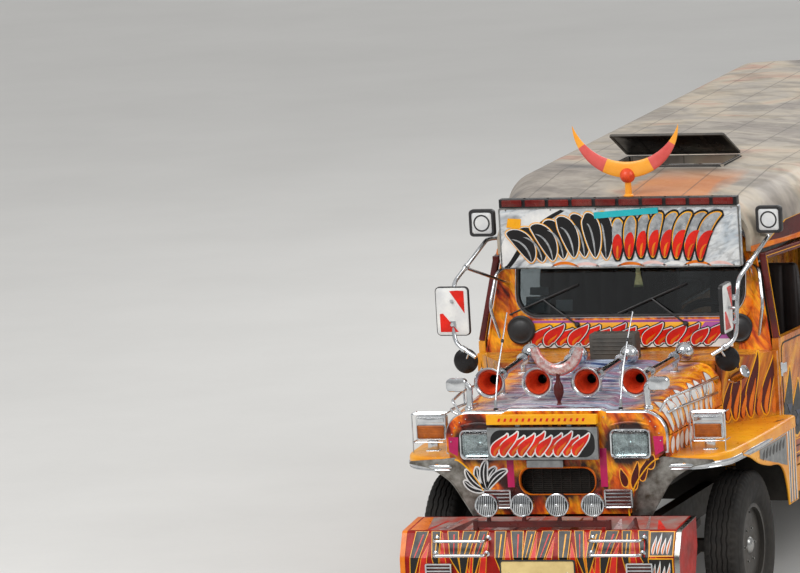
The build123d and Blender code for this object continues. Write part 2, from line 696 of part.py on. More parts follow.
# Mirror arms: a long tube from the roof's corner with a strut, and a short one on the cowl
ARM_R = 11
with BuildPart() as mirror_arms:
    for name, s in SIDES:
        bent_tube(((s * 690, 1470, 1838), (s * 752, 1430, 1838), (s * 751, 818, 1701),
                   (s * 745, 753, 1405), (s * 624, 723, 1335)), ARM_R, 30)
        rod((s * 751, 1041, 1745), (s * 648, 1450, 1600), 8)
        bent_tube(((s * 650, 1489, 1679), (s * 705, 1489, 1660), (s * 737, 1500, 1497),
                   (s * 676, 1395, 1255)), 9, 25)
    add(roof.part, mode=Mode.SUBTRACT)
    add(windshield_frame.part, mode=Mode.SUBTRACT)
    add(cowl.part, mode=Mode.SUBTRACT)
mirror_arms.part.label = "mirror_arms"
export_step(mirror_arms.part, "parts/mirror_arms.step")

# A long and a round mirror on each arm; the long left one is folded in beside its arm
MIRROR_Z = (1440, 1690)
with BuildPart() as mirrors:
    block((-836, -660), (760, 782), MIRROR_Z)
    block((682, 704), (700, 876), MIRROR_Z)
    rod((704, 788, 1565), (748, 788, 1565), 8)
    for name, s in SIDES:
        rod((s * 691, 750, 1310), (s * 691, 772, 1310), 65)
    add(mirror_arms.part, mode=Mode.SUBTRACT)
mirrors.part.label = "mirrors"
export_step(mirrors.part, "parts/mirrors.step")

# Square spot lamps at the roof's front corners
with BuildPart() as spot_lamps:
    for name, s in SIDES:
        block((s * 697, s * 833), (1390, 1450), (1855, 1995))
    add(roof.part, mode=Mode.SUBTRACT)
spot_lamps.part.label = "spot_lamps"
export_step(spot_lamps.part, "parts/spot_lamps.step")

# Crest on the roof's front: a crescent on a post
CREST_Y = 1500
with BuildPart() as roof_ornament:
    with BuildSketch(across(CREST_Y)) as crescent:
        with BuildLine():
            ThreePointArc((-283, 2410), (0, 2130), (283, 2410))
            ThreePointArc((283, 2410), (0, 2195), (-283, 2410))
        make_face()
    extrude(amount=20)
    rod((0, CREST_Y - 10, 2025), (0, CREST_Y - 10, 2150), 18)
    with Locations(spot(0, CREST_Y - 10, 2265)):
        Sphere(40)
    rod((0, CREST_Y - 10, 2180), (0, CREST_Y - 10, 2240), 10)
    add(roof.part, mode=Mode.SUBTRACT)
roof_ornament.part.label = "roof_ornament"
export_step(roof_ornament.part, "parts/roof_ornament.step")

# Rear step with a tow eye
with BuildPart() as rear_step:
    block((-700, 700), (6500, REAR_REACH), (380, 440))
    for name, s in SIDES:
        block((s * RAIL_X - 30, s * RAIL_X + 30), (RAIL_Y[1], 6560), (RAIL_Z[0], 498))
    block((-45, 45), (6560, 6675), (352, 380))
    rod((0, 6625, 340), (0, 6625, 450), 20, mode=Mode.SUBTRACT)
rear_step.part.label = "rear_step"
export_step(rear_step.part, "parts/rear_step.step")

# Hood: a rounded cover with deep sides, hinged at its rear edge
with BuildPart() as hood:
    rise = (HOOD_REAR_TOP - FACE_TOP) / HOOD_REAR
    loft([band(HOOD_FRONT, FACE_HALF + 1, FACE_TOP + rise * HOOD_FRONT, HOOD_SIDE_Z, SHEET).face(),
          band(HOOD_REAR, FACE_HALF + 10, HOOD_REAR_TOP, HOOD_SIDE_Z, SHEET).face()], ruled=True)
    plate(along(-600), ((40, 1190), (HOOD_FRONT, 1190), (80, 1035), (40, 1035)), 1200,
          mode=Mode.SUBTRACT)
hood.part.label = "hood"
export_step(hood.part, "parts/hood.step")

# Four trumpets lying on the hood, each with a ball at its rear end
TRUMPETS = ((-379, -407, 976), (-128, -136, 910), (128, 136, 910), (379, 407, 976))
MOUTH_Y = 150
HORN_Z = 1294
with BuildPart() as trumpets:
    for mouth_x, ball_x, ball_y in TRUMPETS:
        length = ball_y - MOUTH_Y
        spun((mouth_x, MOUTH_Y, HORN_Z), (ball_x - mouth_x, length, 21),
             ((0, 0), (0, 79), (14, 79), (60, 52), (160, 34), (380, 22), (length, 16),
              (length, 0)))
        with Locations(spot(ball_x, ball_y, 1315)):
            Sphere(46)
        for share in (0.3, 0.8):
            x = mouth_x + share * (ball_x - mouth_x)
            y = MOUTH_Y + share * length
            foot = FACE_TOP + rise * y - 5 - (LEDGE if abs(x) > LEDGE_X[1] else 0)
            rod((x, y, foot), (x, y, HORN_Z + share * 21), 9)
    add(hood.part, mode=Mode.SUBTRACT)
trumpets.part.label = "trumpets"
export_step(trumpets.part, "parts/trumpets.step")

# Fittings on the hood: an ornament with a crescent, elbows, whip aerials and side rails
with BuildPart() as hood_fittings:
    with Locations(spot(0, 100, 1245)):
        Cylinder(34, 130)
    with BuildSketch(across(110)) as crescent:
        with BuildLine():
            ThreePointArc((-120, 1495), (0, 1340), (120, 1495))
            ThreePointArc((120, 1495), (0, 1372), (-120, 1495))
        make_face()
    extrude(amount=20)
    rod((0, 100, 1300), (0, 100, 1355), 12)
    for name, s in SIDES:
        bent_tube(((s * 466, 90, 1165), (s * 466, 90, 1320), (s * 530, 90, 1332)), 16, 30)
        bent_tube(((s * 327, 76, 1165), (s * 327, 138, 1375), (s * 327, 360, 1620)), 4, 60)
        bent_tube(((s * 520, 95, 1150), (s * 560, 95, 1215), (s * 598, 400, 1215),
                   (s * 598, 900, 1196), (s * 575, 930, 1150)), 7, 20)
        bent_tube(((s * 530, 130, 1130), (s * 592, 150, 1160), (s * 598, 880, 1120),
                   (s * 572, 900, 1120)), 7, 15)
    add(hood.part, mode=Mode.SUBTRACT)
hood_fittings.part.label = "hood_fittings"
export_step(hood_fittings.part, "parts/hood_fittings.step")

# Roof hatch: a flap hinged at its rear edge, standing open
HATCH_OPEN = 25
hinge_plane = Plane(origin=spot(0, HATCH_Y[1] + 4, COAMING_TOP + 8), x_dir=(1, 0, 0),
                    z_dir=(0, sin(radians(HATCH_OPEN)), cos(radians(HATCH_OPEN))))
with BuildPart() as roof_hatch:
    with BuildSketch(hinge_plane) as flap:
        Rectangle(2 * HATCH_HALF + 32, 335, align=(Align.CENTER, Align.MAX))
    extrude(amount=14)
roof_hatch.part.label = "roof_hatch"
export_step(roof_hatch.part, "parts/roof_hatch.step")

# Doors: a flat lower panel with a leaning window frame above it
DOOR_T = 35
for name, s in SIDES:
    with BuildPart() as door:
        panel = [(s * DOOR_FRONT[0], DOOR_FRONT[1]), (s * DOOR_REAR[0], DOOR_REAR[1]),
                 (s * (DOOR_REAR[0] - DOOR_T), DOOR_REAR[1]),
                 (s * (DOOR_FRONT[0] - DOOR_T), DOOR_FRONT[1])]
        plate(level(640), panel, SILL_Z - 640)
        foot = (s * 785, 1356, SILL_Z - 20)
        head = (s * 712, 1440, WINDOW_TOP - 15)
        tail = (s * 838, 2125, WINDOW_TOP - 15)
        heel = (s * 840, 2125, SILL_Z - 20)
        bar(foot, head, 28, 34)
        bar(head, tail, 28, 30)
        bar(heel, tail, 28, 34)
        with Locations(spot(*head), spot(*tail)):
            Box(30, 36, 34)
    door.part.label = f"{name}_door"
    export_step(door.part, f"parts/{name}_door.step")

# Steering knuckles: a fork on the kingpin, the brake plate and the spindle
for name, s in SIDES:
    with BuildPart() as knuckle:
        with Locations(spot(s * KINGPIN_X, FRONT_AXLE_Y, WHEEL_R)):
            Cylinder(KINGPIN_R, 130)
        for low, high in ((315, 340), (420, 445)):
            block((s * 595, s * 680), (FRONT_AXLE_Y - 30, FRONT_AXLE_Y + 30), (low, high))
        block((s * 660, s * 680), (FRONT_AXLE_Y - 40, FRONT_AXLE_Y + 40), (315, 445))
        rod((s * 665, FRONT_AXLE_Y, WHEEL_R), (s * 682, FRONT_AXLE_Y, WHEEL_R), 120)
        rod((s * 665, FRONT_AXLE_Y, WHEEL_R), (s * 790, FRONT_AXLE_Y, WHEEL_R), SPINDLE_R)
    knuckle.part.label = f"{name}_knuckle"
    export_step(knuckle.part, f"parts/{name}_knuckle.step")

# Wheels: tyres and dished rims
WHEELS = (
    ("front_left", 1, FRONT_AXLE_Y),
    ("front_right", -1, FRONT_AXLE_Y),
    ("rear_left", 1, REAR_AXLE_Y),
    ("rear_right", -1, REAR_AXLE_Y),
)
for name, s, y in WHEELS:
    hub = Plane(origin=spot(s * TRACK_HALF, y, WHEEL_R), x_dir=(1, 0, 0), z_dir=(0, -1, 0))
    axle = Axis(origin=hub.origin, direction=(1, 0, 0))
    with BuildPart() as tyre:
        with BuildSketch(hub) as section:
            with BuildLine():
                Line((-72, RIM_R), (72, RIM_R))
                ThreePointArc((72, RIM_R), (TYRE_W / 2, 290), (80, 365))
                Polyline((80, 365), (64, WHEEL_R), (-64, WHEEL_R), (-80, 365))
                ThreePointArc((-80, 365), (-TYRE_W / 2, 290), (-72, RIM_R))
            make_face()
        revolve(axis=axle)
    tyre.part.label = f"{name}_tyre"
    export_step(tyre.part, f"parts/{name}_tyre.step")
    with BuildPart() as rim:
        with BuildSketch(hub) as section:
            with Locations((0, (RIM_R + 190) / 2)):
                Rectangle(150, RIM_R - 190)
            with Locations((s * 20, 115)):
                Rectangle(14, 160)
            with Locations((s * 5, (BORE_R + 70) / 2)):
                Rectangle(70, 70 - BORE_R)
        revolve(axis=axle)
        with BuildSketch(Plane(origin=hub.origin, x_dir=(0, 1, 0), z_dir=(1, 0, 0))) as holes:
            with PolarLocations(135, 8):
                Circle(20)
        extrude(amount=60, both=True, mode=Mode.SUBTRACT)
    rim.part.label = f"{name}_rim"
    export_step(rim.part, f"parts/{name}_rim.step")
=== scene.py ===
"""Painted long-nosed passenger jeepney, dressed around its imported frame.

All sizes are in metres. Shapes are worked out in the nose's coordinates: x to the vehicle's
left, y rearwards from the grille's face, z up from the ground. Their y is shifted once, when a
mesh is made, so that they stand in the frame.
"""
import logging
import math
from dataclasses import dataclass
from enum import Enum
from functools import cache
from typing import Sequence

import bmesh
import bpy
import numpy as np
from mathutils import Matrix, Vector


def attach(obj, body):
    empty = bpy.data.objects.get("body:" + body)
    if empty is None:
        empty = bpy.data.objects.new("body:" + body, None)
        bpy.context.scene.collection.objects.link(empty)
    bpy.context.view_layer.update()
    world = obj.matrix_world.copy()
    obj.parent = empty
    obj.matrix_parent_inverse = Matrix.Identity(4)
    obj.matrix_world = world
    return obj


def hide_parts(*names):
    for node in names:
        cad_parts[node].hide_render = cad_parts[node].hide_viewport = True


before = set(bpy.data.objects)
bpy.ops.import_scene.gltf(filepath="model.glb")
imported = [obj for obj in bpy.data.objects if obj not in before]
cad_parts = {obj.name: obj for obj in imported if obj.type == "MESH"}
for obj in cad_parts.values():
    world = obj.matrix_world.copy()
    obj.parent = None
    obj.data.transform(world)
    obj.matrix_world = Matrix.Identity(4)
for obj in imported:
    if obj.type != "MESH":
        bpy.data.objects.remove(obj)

LOG = logging.getLogger("jeepney")
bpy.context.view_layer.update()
Pairs = Sequence[tuple[float, float]]
Triple = tuple[float, float, float]
# Where the nose's coordinates start in the frame.
NOSE_Y = -3.1175
# Points nearer to each other than this become one.
WELD = 2e-6
SIDES = (("left", 1.0), ("right", -1.0))
LEFTWARDS, RIGHTWARDS = (1.0, 0.0, 0.0), (-1.0, 0.0, 0.0)
REARWARDS, FORWARDS = (0.0, 1.0, 0.0), (0.0, -1.0, 0.0)
UPWARDS = (0.0, 0.0, 1.0)
# Numbers of the sockets of a Mix node that mixes colours.
SHARE, FIRST, SECOND, MIXED = 0, 6, 7, 2
# The windscreen leans back by 12 degrees.
SCREEN_UP = (0.0, 0.2079, 0.9781)
SCREEN_OUT = (0.0, -0.978, 0.208)


class Body(str, Enum):
    """The frame's bodies that new pieces ride on."""

    CHASSIS = "chassis"
    HOOD = "hood"
    HATCH = "roof_hatch"
    LEFT_DOOR = "left_door"
    RIGHT_DOOR = "right_door"
    STEERING = "steering_wheel"
    FRONT_LEFT = "front_left_wheel"
    FRONT_RIGHT = "front_right_wheel"
    REAR_LEFT = "rear_left_wheel"
    REAR_RIGHT = "rear_right_wheel"


def linear(code: str) -> tuple[float, float, float, float]:
    """Turn an sRGB hex value into linear light.

    Args:
        code: Six hex digits after a hash.

    Returns:
        Red, green, blue and an alpha of one.
    """
    srgb = np.array([int(code[k:k + 2], 16) / 255 for k in (1, 3, 5)])
    light = np.where(srgb <= 0.04045, srgb / 12.92, ((srgb + 0.055) / 1.055) ** 2.4)
    return (*light.tolist(), 1.0)


def add(tree: bpy.types.NodeTree, kind: str, links: dict | None = None,
        **settings: object) -> bpy.types.Node:
    """Add one shader node with its settings and links.

    Args:
        tree: The tree that gets it.
        kind: The node's type name after ShaderNode.
        links: Input name or number, with a node, a socket, a colour code or a value.
        settings: Attributes of the node.

    Returns:
        The new node.
    """
    node = tree.nodes.new("ShaderNode" + kind)
    for key, value in settings.items():
        setattr(node, key, value)
    for key, value in (links or {}).items():
        if isinstance(value, bpy.types.Node):
            tree.links.new(value.outputs[0], node.inputs[key])
        elif isinstance(value, bpy.types.NodeSocket):
            tree.links.new(value, node.inputs[key])
        elif isinstance(value, str):
            node.inputs[key].default_value = linear(value)
        else:
            node.inputs[key].default_value = value
    return node


def set_stops(node: bpy.types.Node, stops: Sequence[tuple[float, str | float]]) -> bpy.types.Node:
    """Fill a colour ramp.

    Args:
        node: The ramp's node.
        stops: Positions with a colour code or a grey level.

    Returns:
        The same node.
    """
    steps = node.color_ramp.elements
    while len(steps) < len(stops):
        steps.new(0.5)
    for step, (place, shade) in zip(steps, stops):
        step.position = place
        step.color = linear(shade) if isinstance(shade, str) else (shade, shade, shade, 1.0)
    return node


def spots(tree: bpy.types.NodeTree, size_mm: float, stretch: Sequence[float] = (1, 1, 1),
          turn: Sequence[float] = (0, 0, 0), **inputs: float) -> bpy.types.Node:
    """Noise on Object coordinates, at a real size.

    Args:
        tree: The tree that gets the nodes.
        size_mm: Size of one spot.
        stretch: How much finer the noise is along each axis once turned.
        turn: Degrees about each axis.
        inputs: Detail, Roughness and Distortion of the noise.

    Returns:
        The noise's node.
    """
    place = add(tree, "TexCoord").outputs["Object"]
    turned = add(tree, "Mapping", {"Vector": place, "Rotation": [math.radians(v) for v in turn]})
    drawn = add(tree, "Mapping", {"Vector": turned, "Scale": [1000 / size_mm * v for v in stretch]})
    return add(tree, "TexNoise", {"Vector": drawn, "Scale": 1.0, **inputs})


@dataclass(frozen=True)
class Finish:
    """A coat or metal in two tones that lie in patches, with a fine relief and road dust.

    Sizes are in millimetres. Dust lies thickest near the road and thins out upwards.
    """

    name: str
    base: str
    second: str
    patch: float = 90.0
    metallic: float = 0.0
    roughness: float = 0.4
    spread: float = 0.15
    # Orange peel and scratches are finer on the real one: they are drawn this coarse so that they show.
    grain: float = 4.0
    relief: float = 0.04
    dust: float = 0.05
    dust_colour: str = "#8C8274"
    sockets: tuple[tuple[str, float], ...] = ()

    def colour(self, tree: bpy.types.NodeTree) -> bpy.types.NodeSocket:
        """Draw the two tones.

        Args:
            tree: The material's tree.

        Returns:
            The colour's socket.
        """
        patches = spots(tree, self.patch, Detail=5.0, Roughness=0.6)
        share = set_stops(add(tree, "ValToRGB", {"Fac": patches}), ((0.35, 0.0), (0.68, 1.0)))
        toned = {SHARE: share.outputs[0], FIRST: self.base, SECOND: self.second}
        return add(tree, "Mix", toned, data_type="RGBA").outputs[MIXED]

    def height(self, tree: bpy.types.NodeTree) -> bpy.types.NodeSocket:
        """Draw the relief."""
        return spots(tree, self.grain, Detail=3.0).outputs[0]

    def dusting(self, tree: bpy.types.NodeTree) -> bpy.types.NodeSocket:
        """Say how much dust lies at each place.

        Args:
            tree: The material's tree.

        Returns:
            The share's socket.
        """
        place = add(tree, "SeparateXYZ", {0: add(tree, "TexCoord").outputs["Object"]})
        low = add(tree, "MapRange", {"Value": place.outputs["Z"], "From Min": 0.25, "From Max": 1.1,
                                     "To Min": 0.75, "To Max": 0.0})
        blots = spots(tree, 130.0, Detail=8.0, Roughness=0.7)
        film = set_stops(add(tree, "ValToRGB", {"Fac": blots}), ((0.40, 0.0), (0.80, 1.0)))
        both = add(tree, "Math", {0: film.outputs[0], 1: low}, operation="ADD")
        return add(tree, "Math", {0: both, 1: self.dust}, operation="MULTIPLY").outputs[0]

    def build(self) -> bpy.types.Material:
        """Make the material.

        Returns:
            The new material.
        """
        material = bpy.data.materials.new(self.name)
        material.use_nodes = True
        tree = material.node_tree
        shader = tree.nodes["Principled BSDF"]
        film = self.dusting(tree)
        dusted = {SHARE: film, FIRST: self.colour(tree), SECOND: self.dust_colour}
        seen = add(tree, "Mix", dusted, data_type="RGBA").outputs[MIXED]
        tree.links.new(seen, shader.inputs["Base Color"])
        uneven = spots(tree, 35.0, Detail=4.0)
        gloss = add(tree, "MapRange", {"Value": uneven, "From Min": 0.3, "From Max": 0.7,
                                       "To Min": max(self.roughness - self.spread / 2, 0.02),
                                       "To Max": self.roughness + self.spread / 2})
        dull = add(tree, "Math", {0: film, 1: 0.6, 2: gloss}, operation="MULTIPLY_ADD", use_clamp=True)
        tree.links.new(dull.outputs[0], shader.inputs["Roughness"])
        raised = add(tree, "Bump", {"Height": self.height(tree), "Distance": self.relief / 1000,
                                    "Strength": 0.6})
        tree.links.new(raised.outputs["Normal"], shader.inputs["Normal"])
        shader.inputs["Metallic"].default_value = self.metallic
        for socket, value in self.sockets:
            shader.inputs[socket].default_value = value
        return material


@dataclass(frozen=True)
class Airbrushed(Finish):
    """Gloss alkyd enamel on sheet steel with soft tongues of colour airbrushed over it.

    The eye sees flames or strokes that run one way and fade into each other under a clear coat.
    """

    stops: tuple[tuple[float, str], ...] = ()
    stretch: Triple = (1.0, 1.0, 0.4)
    turn: Triple = (0.0, 0.0, 0.0)
    wisp: float = 1.6
    roughness: float = 0.30
    grain: float = 7.0
    relief: float = 0.12
    dust: float = 0.02
    sockets: tuple[tuple[str, float], ...] = (("Coat Weight", 0.05), ("Coat Roughness", 0.10),
                                              ("Specular IOR Level", 0.32))

    def colour(self, tree: bpy.types.NodeTree) -> bpy.types.NodeSocket:
        """Draw the tongues of colour.

        Args:
            tree: The material's tree.

        Returns:
            The colour's socket.
        """
        tongues = spots(tree, self.patch, self.stretch, self.turn, Detail=4.0, Roughness=0.55,
                        Distortion=self.wisp)
        drawn = set_stops(add(tree, "ValToRGB", {"Fac": tongues}), self.stops).outputs[0]
        licks = spots(tree, self.patch * 0.24, self.stretch, self.turn, Detail=3.0, Distortion=self.wisp)
        shade = set_stops(add(tree, "ValToRGB", {"Fac": licks}), ((0.38, 0.42), (0.55, 1.0)))
        licked = {SHARE: 0.55, FIRST: drawn, SECOND: shade}
        return add(tree, "Mix", licked, data_type="RGBA", blend_type="MULTIPLY").outputs[MIXED]


@dataclass(frozen=True)
class Enamel(Finish):
    """One-colour gloss enamel, brushed or sprayed, faded a little in patches."""

    roughness: float = 0.32
    grain: float = 9.0
    relief: float = 0.08
    dust: float = 0.02
    sockets: tuple[tuple[str, float], ...] = (("Coat Weight", 0.04), ("Coat Roughness", 0.12),
                                              ("Specular IOR Level", 0.30))


@dataclass(frozen=True)
class BrightMetal(Finish):
    """Chrome plate or polished stainless sheet: mirror-like, with smears and fine scratches."""

    metallic: float = 1.0
    roughness: float = 0.14
    spread: float = 0.12
    grain: float = 1.5
    relief: float = 0.01
    dust: float = 0.05


@dataclass(frozen=True)
class Clear(Finish):
    """Glass or a clear lens: what lies behind it shows, and its face mirrors the sky."""

    roughness: float = 0.04
    spread: float = 0.03
    grain: float = 60.0
    relief: float = 0.02
    dust: float = 0.0
    sockets: tuple[tuple[str, float], ...] = (("Transmission Weight", 1.0), ("IOR", 1.45))


@dataclass(frozen=True)
class Checker(Finish):
    """Rolled steel tread plate: raised bars in two directions."""

    metallic: float = 0.8
    pitch: float = 30.0
    relief: float = 1.2

    def height(self, tree: bpy.types.NodeTree) -> bpy.types.NodeSocket:
        """Draw short bars that alternate in direction.

        Args:
            tree: The material's tree.

        Returns:
            A height's socket.
        """
        place = add(tree, "TexCoord").outputs["Object"]
        drawn = add(tree, "Mapping", {"Vector": place, "Scale": [1000 / self.pitch] * 3,
                                      "Rotation": (0, 0, math.radians(45))})
        bars = add(tree, "TexBrick", {"Vector": drawn, "Scale": 1.0, "Mortar Size": 0.14,
                                      "Brick Width": 1.0, "Row Height": 0.5}, offset=0.5)
        return add(tree, "Math", {0: 1.0, 1: bars.outputs["Fac"]}, operation="SUBTRACT").outputs[0]


@dataclass
class Shell:
    """A closed surface before it becomes a mesh: points, four-cornered faces and a finish number."""

    points: np.ndarray
    faces: np.ndarray
    finish: int = 0

    def moved(self, shift: Sequence[float]) -> "Shell":
        """Copy it to another place."""
        return Shell(self.points + np.asarray(shift, float), self.faces, self.finish)

    def mirrored(self) -> "Shell":
        """Copy it to the vehicle's other side; make() turns its faces right again."""
        return Shell(self.points * np.array([-1.0, 1.0, 1.0]), self.faces, self.finish)

    def painted(self, finish: int) -> "Shell":
        """Copy it with another finish number."""
        return Shell(self.points, self.faces, finish)

    def copies(self, shifts: np.ndarray) -> "Shell":
        """Repeat it at many places.

        Args:
            shifts: One row of three metres for each copy.

        Returns:
            One shell that holds all the copies.
        """
        shifts = np.asarray(shifts, float).reshape(-1, 3)
        points = (self.points[None] + shifts[:, None]).reshape(-1, 3)
        steps = np.arange(len(shifts))[:, None, None] * len(self.points)
        return Shell(points, (self.faces[None] + steps).reshape(-1, 4), self.finish)


def lattice(rows: int, columns: int, wrap_rows: bool, wrap_columns: bool) -> np.ndarray:
    """Number the faces of a grid of points.

    Args:
        rows: Points one way.
        columns: Points the other way.
        wrap_rows: Whether the last row joins the first.
        wrap_columns: Whether the last column joins the first.

    Returns:
        Four point numbers for each face.
    """
    row = np.arange(rows if wrap_rows else rows - 1)[:, None]
    column = np.arange(columns if wrap_columns else columns - 1)[None, :]
    after, beside = (row + 1) % rows, (column + 1) % columns
    corners = (row * columns + column, row * columns + beside,
               after * columns + beside, after * columns + column)
    return np.stack(np.broadcast_arrays(*corners), -1).reshape(-1, 4)


def net(points: np.ndarray, wrap_rows: bool = False, wrap_columns: bool = True) -> Shell:
    """Turn a grid of points into a shell.

    Args:
        points: Rows, columns and three coordinates.
        wrap_rows: Whether the last row joins the first.
        wrap_columns: Whether the last column joins the first.

    Returns:
        The shell.
    """
    rows, columns = points.shape[:2]
    return Shell(points.reshape(-1, 3), lattice(rows, columns, wrap_rows, wrap_columns))


def unit(vector: Sequence[float]) -> np.ndarray:
    """Give vectors a length of one along their last axis.

    Args:
        vector: One vector, or many in rows.

    Returns:
        The scaled vectors.
    """
    vector = np.asarray(vector, float)
    return vector / np.maximum(np.linalg.norm(vector, axis=-1, keepdims=True), 1e-12)


def slab(front: np.ndarray, back: np.ndarray) -> Shell:
    """Close two grids of the same size into a thin solid: front, back and the rim between them.

    Args:
        front: Grid of points on one face.
        back: Grid of points on the other.

    Returns:
        The shell.
    """
    around = np.concatenate([front, back[:, ::-1]], axis=1)
    shell = net(around)
    rows, columns = around.shape[:2]
    half = columns // 2
    j = np.arange(half - 1)
    ends = [np.stack([base + j, base + j + 1, base + columns - 2 - j, base + columns - 1 - j], -1)
            for base in (0, (rows - 1) * columns)]
    shell.faces = np.concatenate([shell.faces, *ends])
    return shell


def capped(rings: np.ndarray) -> Shell:
    """Close a stack of rings with a fan at each end, whose points all meet in the ring's middle.

    Args:
        rings: Rows of points around.

    Returns:
        The shell.
    """
    first = np.broadcast_to(rings[:1].mean(1, keepdims=True), rings[:1].shape)
    last = np.broadcast_to(rings[-1:].mean(1, keepdims=True), rings[-1:].shape)
    return net(np.concatenate([first, rings, last]))


def lathe(centre: Sequence[float], axis: Sequence[float], outline: Pairs, sides: int = 48) -> Shell:
    """Turn an outline about an axis: each step along it becomes a ring of that radius.

    Args:
        centre: Where the outline's along is nought.
        axis: Direction of the axis.
        outline: Pairs of distance along the axis and radius.
        sides: Points around.

    Returns:
        The shell, closed by a fan at each end.
    """
    axis = unit(axis)
    aside = unit(np.cross(axis, UPWARDS if abs(axis[2]) < 0.9 else LEFTWARDS))
    upright = np.cross(axis, aside)
    turn = np.linspace(0, 2 * math.pi, sides, endpoint=False)
    along, radius = np.array(outline, float).T
    spokes = np.cos(turn)[:, None] * aside + np.sin(turn)[:, None] * upright
    rings = np.asarray(centre, float) + along[:, None, None] * axis + radius[:, None, None] * spokes
    return capped(rings)


def rounded(points: Sequence[Sequence[float]], bend: float, steps: int = 7) -> np.ndarray:
    """Round the corners of a run of straight lines with short parabolas that touch both sides.

    Args:
        points: Corners of the run.
        bend: How far before and after a corner its curve begins.
        steps: Points on each curve.

    Returns:
        Points along the rounded run.
    """
    points = np.asarray(points, float)
    back, ahead = points[:-2] - points[1:-1], points[2:] - points[1:-1]
    reach = np.minimum(bend, 0.5 * np.minimum(np.linalg.norm(back, axis=1), np.linalg.norm(ahead, axis=1)))
    start = points[1:-1] + unit(back) * reach[:, None]
    end = points[1:-1] + unit(ahead) * reach[:, None]
    t = np.linspace(0, 1, steps)[None, :, None]
    curves = (1 - t) ** 2 * start[:, None] + 2 * t * (1 - t) * points[1:-1, None] + t ** 2 * end[:, None]
    return np.concatenate([points[:1], curves.reshape(-1, points.shape[1]), points[-1:]])


def tube(path: np.ndarray, radius: float | np.ndarray, sides: int = 16, flat: float = 1.0,
         facing: Sequence[float] | None = None) -> Shell:
    """Carry a circle along a path, each ring square to the path where it stands.

    Args:
        path: Points of the path.
        radius: One radius, or one for each point.
        sides: Points around.
        flat: Thickness of the section across the facing direction, as a share of its radius.
        facing: Direction that the section's full radius lies along.

    Returns:
        The shell, closed at both ends.
    """
    path = np.asarray(path, float)
    ahead = unit(np.gradient(path, axis=0))
    if facing is None:
        facing = np.linalg.svd(ahead)[2][-1]
    broad = unit(np.cross(np.cross(ahead, facing), ahead))
    thin = np.cross(ahead, broad)
    turn = np.linspace(0, 2 * math.pi, sides, endpoint=False)
    spokes = np.cos(turn)[None, :, None] * broad[:, None] + flat * np.sin(turn)[None, :, None] * thin[:,
        None]
    width = np.broadcast_to(np.asarray(radius, float), len(path))[:, None, None]
    return capped(path[:, None] + width * spokes)


def oblong(width: float, height: float, corner: float, steps: int = 6) -> np.ndarray:
    """Outline of a rectangle with round corners, around its middle.

    Args:
        width: Size along the first axis.
        height: Size along the second.
        corner: Radius of the corners.
        steps: Points on each corner.

    Returns:
        Points around it, counter-clockwise.
    """
    corner = min(corner, width / 2 - 1e-5, height / 2 - 1e-5)
    turn = np.linspace(0, math.pi / 2, steps)
    quarter = np.stack([np.cos(turn), np.sin(turn)], -1) * corner
    inset = np.array([width / 2 - corner, height / 2 - corner])
    signs = ((1, 1), (-1, 1), (-1, -1), (1, -1))
    arcs = [np.array(sign) * (inset + (quarter if k % 2 == 0 else quarter[::-1])) for k,
        sign in enumerate(signs)]
    return np.concatenate(arcs)


@dataclass(frozen=True)
class Seat:
    """A flat place to build on: an origin, the directions of its two sides and its outward one."""

    origin: Triple
    right: Triple = LEFTWARDS
    up: Triple = UPWARDS

    def lay(self, flat: np.ndarray, lift: float | np.ndarray = 0.0) -> np.ndarray:
        """Put flat points into place.

        Args:
            flat: Pairs along the two sides.
            lift: How far they stand out of the plane.

        Returns:
            Points in space.
        """
        right, up = unit(self.right), unit(self.up)
        out = np.cross(right, up)
        lift = np.broadcast_to(np.asarray(lift, float), flat.shape[:-1])[..., None]
        return np.asarray(self.origin, float) + flat[..., :1] * right + flat[..., 1:2] * up + lift * out


def boss(seat: Seat, size: Triple, steps: Pairs, corner_steps: int = 6) -> Shell:
    """Stack rounded rectangles: each step shrinks the outline by an inset and lifts it.

    Args:
        seat: Where it stands.
        size: Width, height and corner radius.
        steps: Pairs of inset and lift, from its foot to its top.
        corner_steps: Points on each corner.

    Returns:
        The shell, closed at both ends.
    """
    width, height, corner = size
    rings = [seat.lay(oblong(max(width - 2 * inset, 2e-4), max(height - 2 * inset, 2e-4),
                             max(corner - inset, 1e-4), corner_steps), lift) for inset, lift in steps]
    return capped(np.stack(rings))


def hoop(inner: np.ndarray, outer: np.ndarray, steps: Pairs, seat: Seat) -> Shell:
    """Ring between two outlines: each step is a share of the way outwards and a lift.

    Args:
        inner: Outline of the hole.
        outer: Outline around it, with as many points.
        steps: Pairs of share and lift, once round the ring's section.
        seat: The place it lies on.

    Returns:
        The shell, closed both ways.
    """
    rings = [seat.lay(inner + share * (outer - inner), lift) for share, lift in steps]
    return net(np.stack(rings), wrap_rows=True)


def rays(outline: np.ndarray, centre: Sequence[float], turn: np.ndarray) -> np.ndarray:
    """Points of an outline seen from a centre in given directions.

    Args:
        outline: Corners around the centre.
        centre: The point that looks.
        turn: Angles in radians.

    Returns:
        One point for each angle, on the outline's straight sides.
    """
    start = outline - np.asarray(centre)
    side = np.roll(start, -1, axis=0) - start
    look = np.stack([np.cos(turn), np.sin(turn)], -1)
    cross = look[:, None, 0] * side[None, :, 1] - look[:, None, 1] * side[None, :, 0]
    safe = np.where(np.abs(cross) < 1e-12, 1e-12, cross)
    far = (start[None, :, 0] * side[None, :, 1] - start[None, :, 1] * side[None, :, 0]) / safe
    part = (start[None, :, 0] * look[:, None, 1] - start[None, :, 1] * look[:, None, 0]) / safe
    hit = np.where((part > -1e-6) & (part < 1 + 1e-6) & (far > 0), far, np.inf).min(1)
    return np.asarray(centre) + look * hit[:, None]


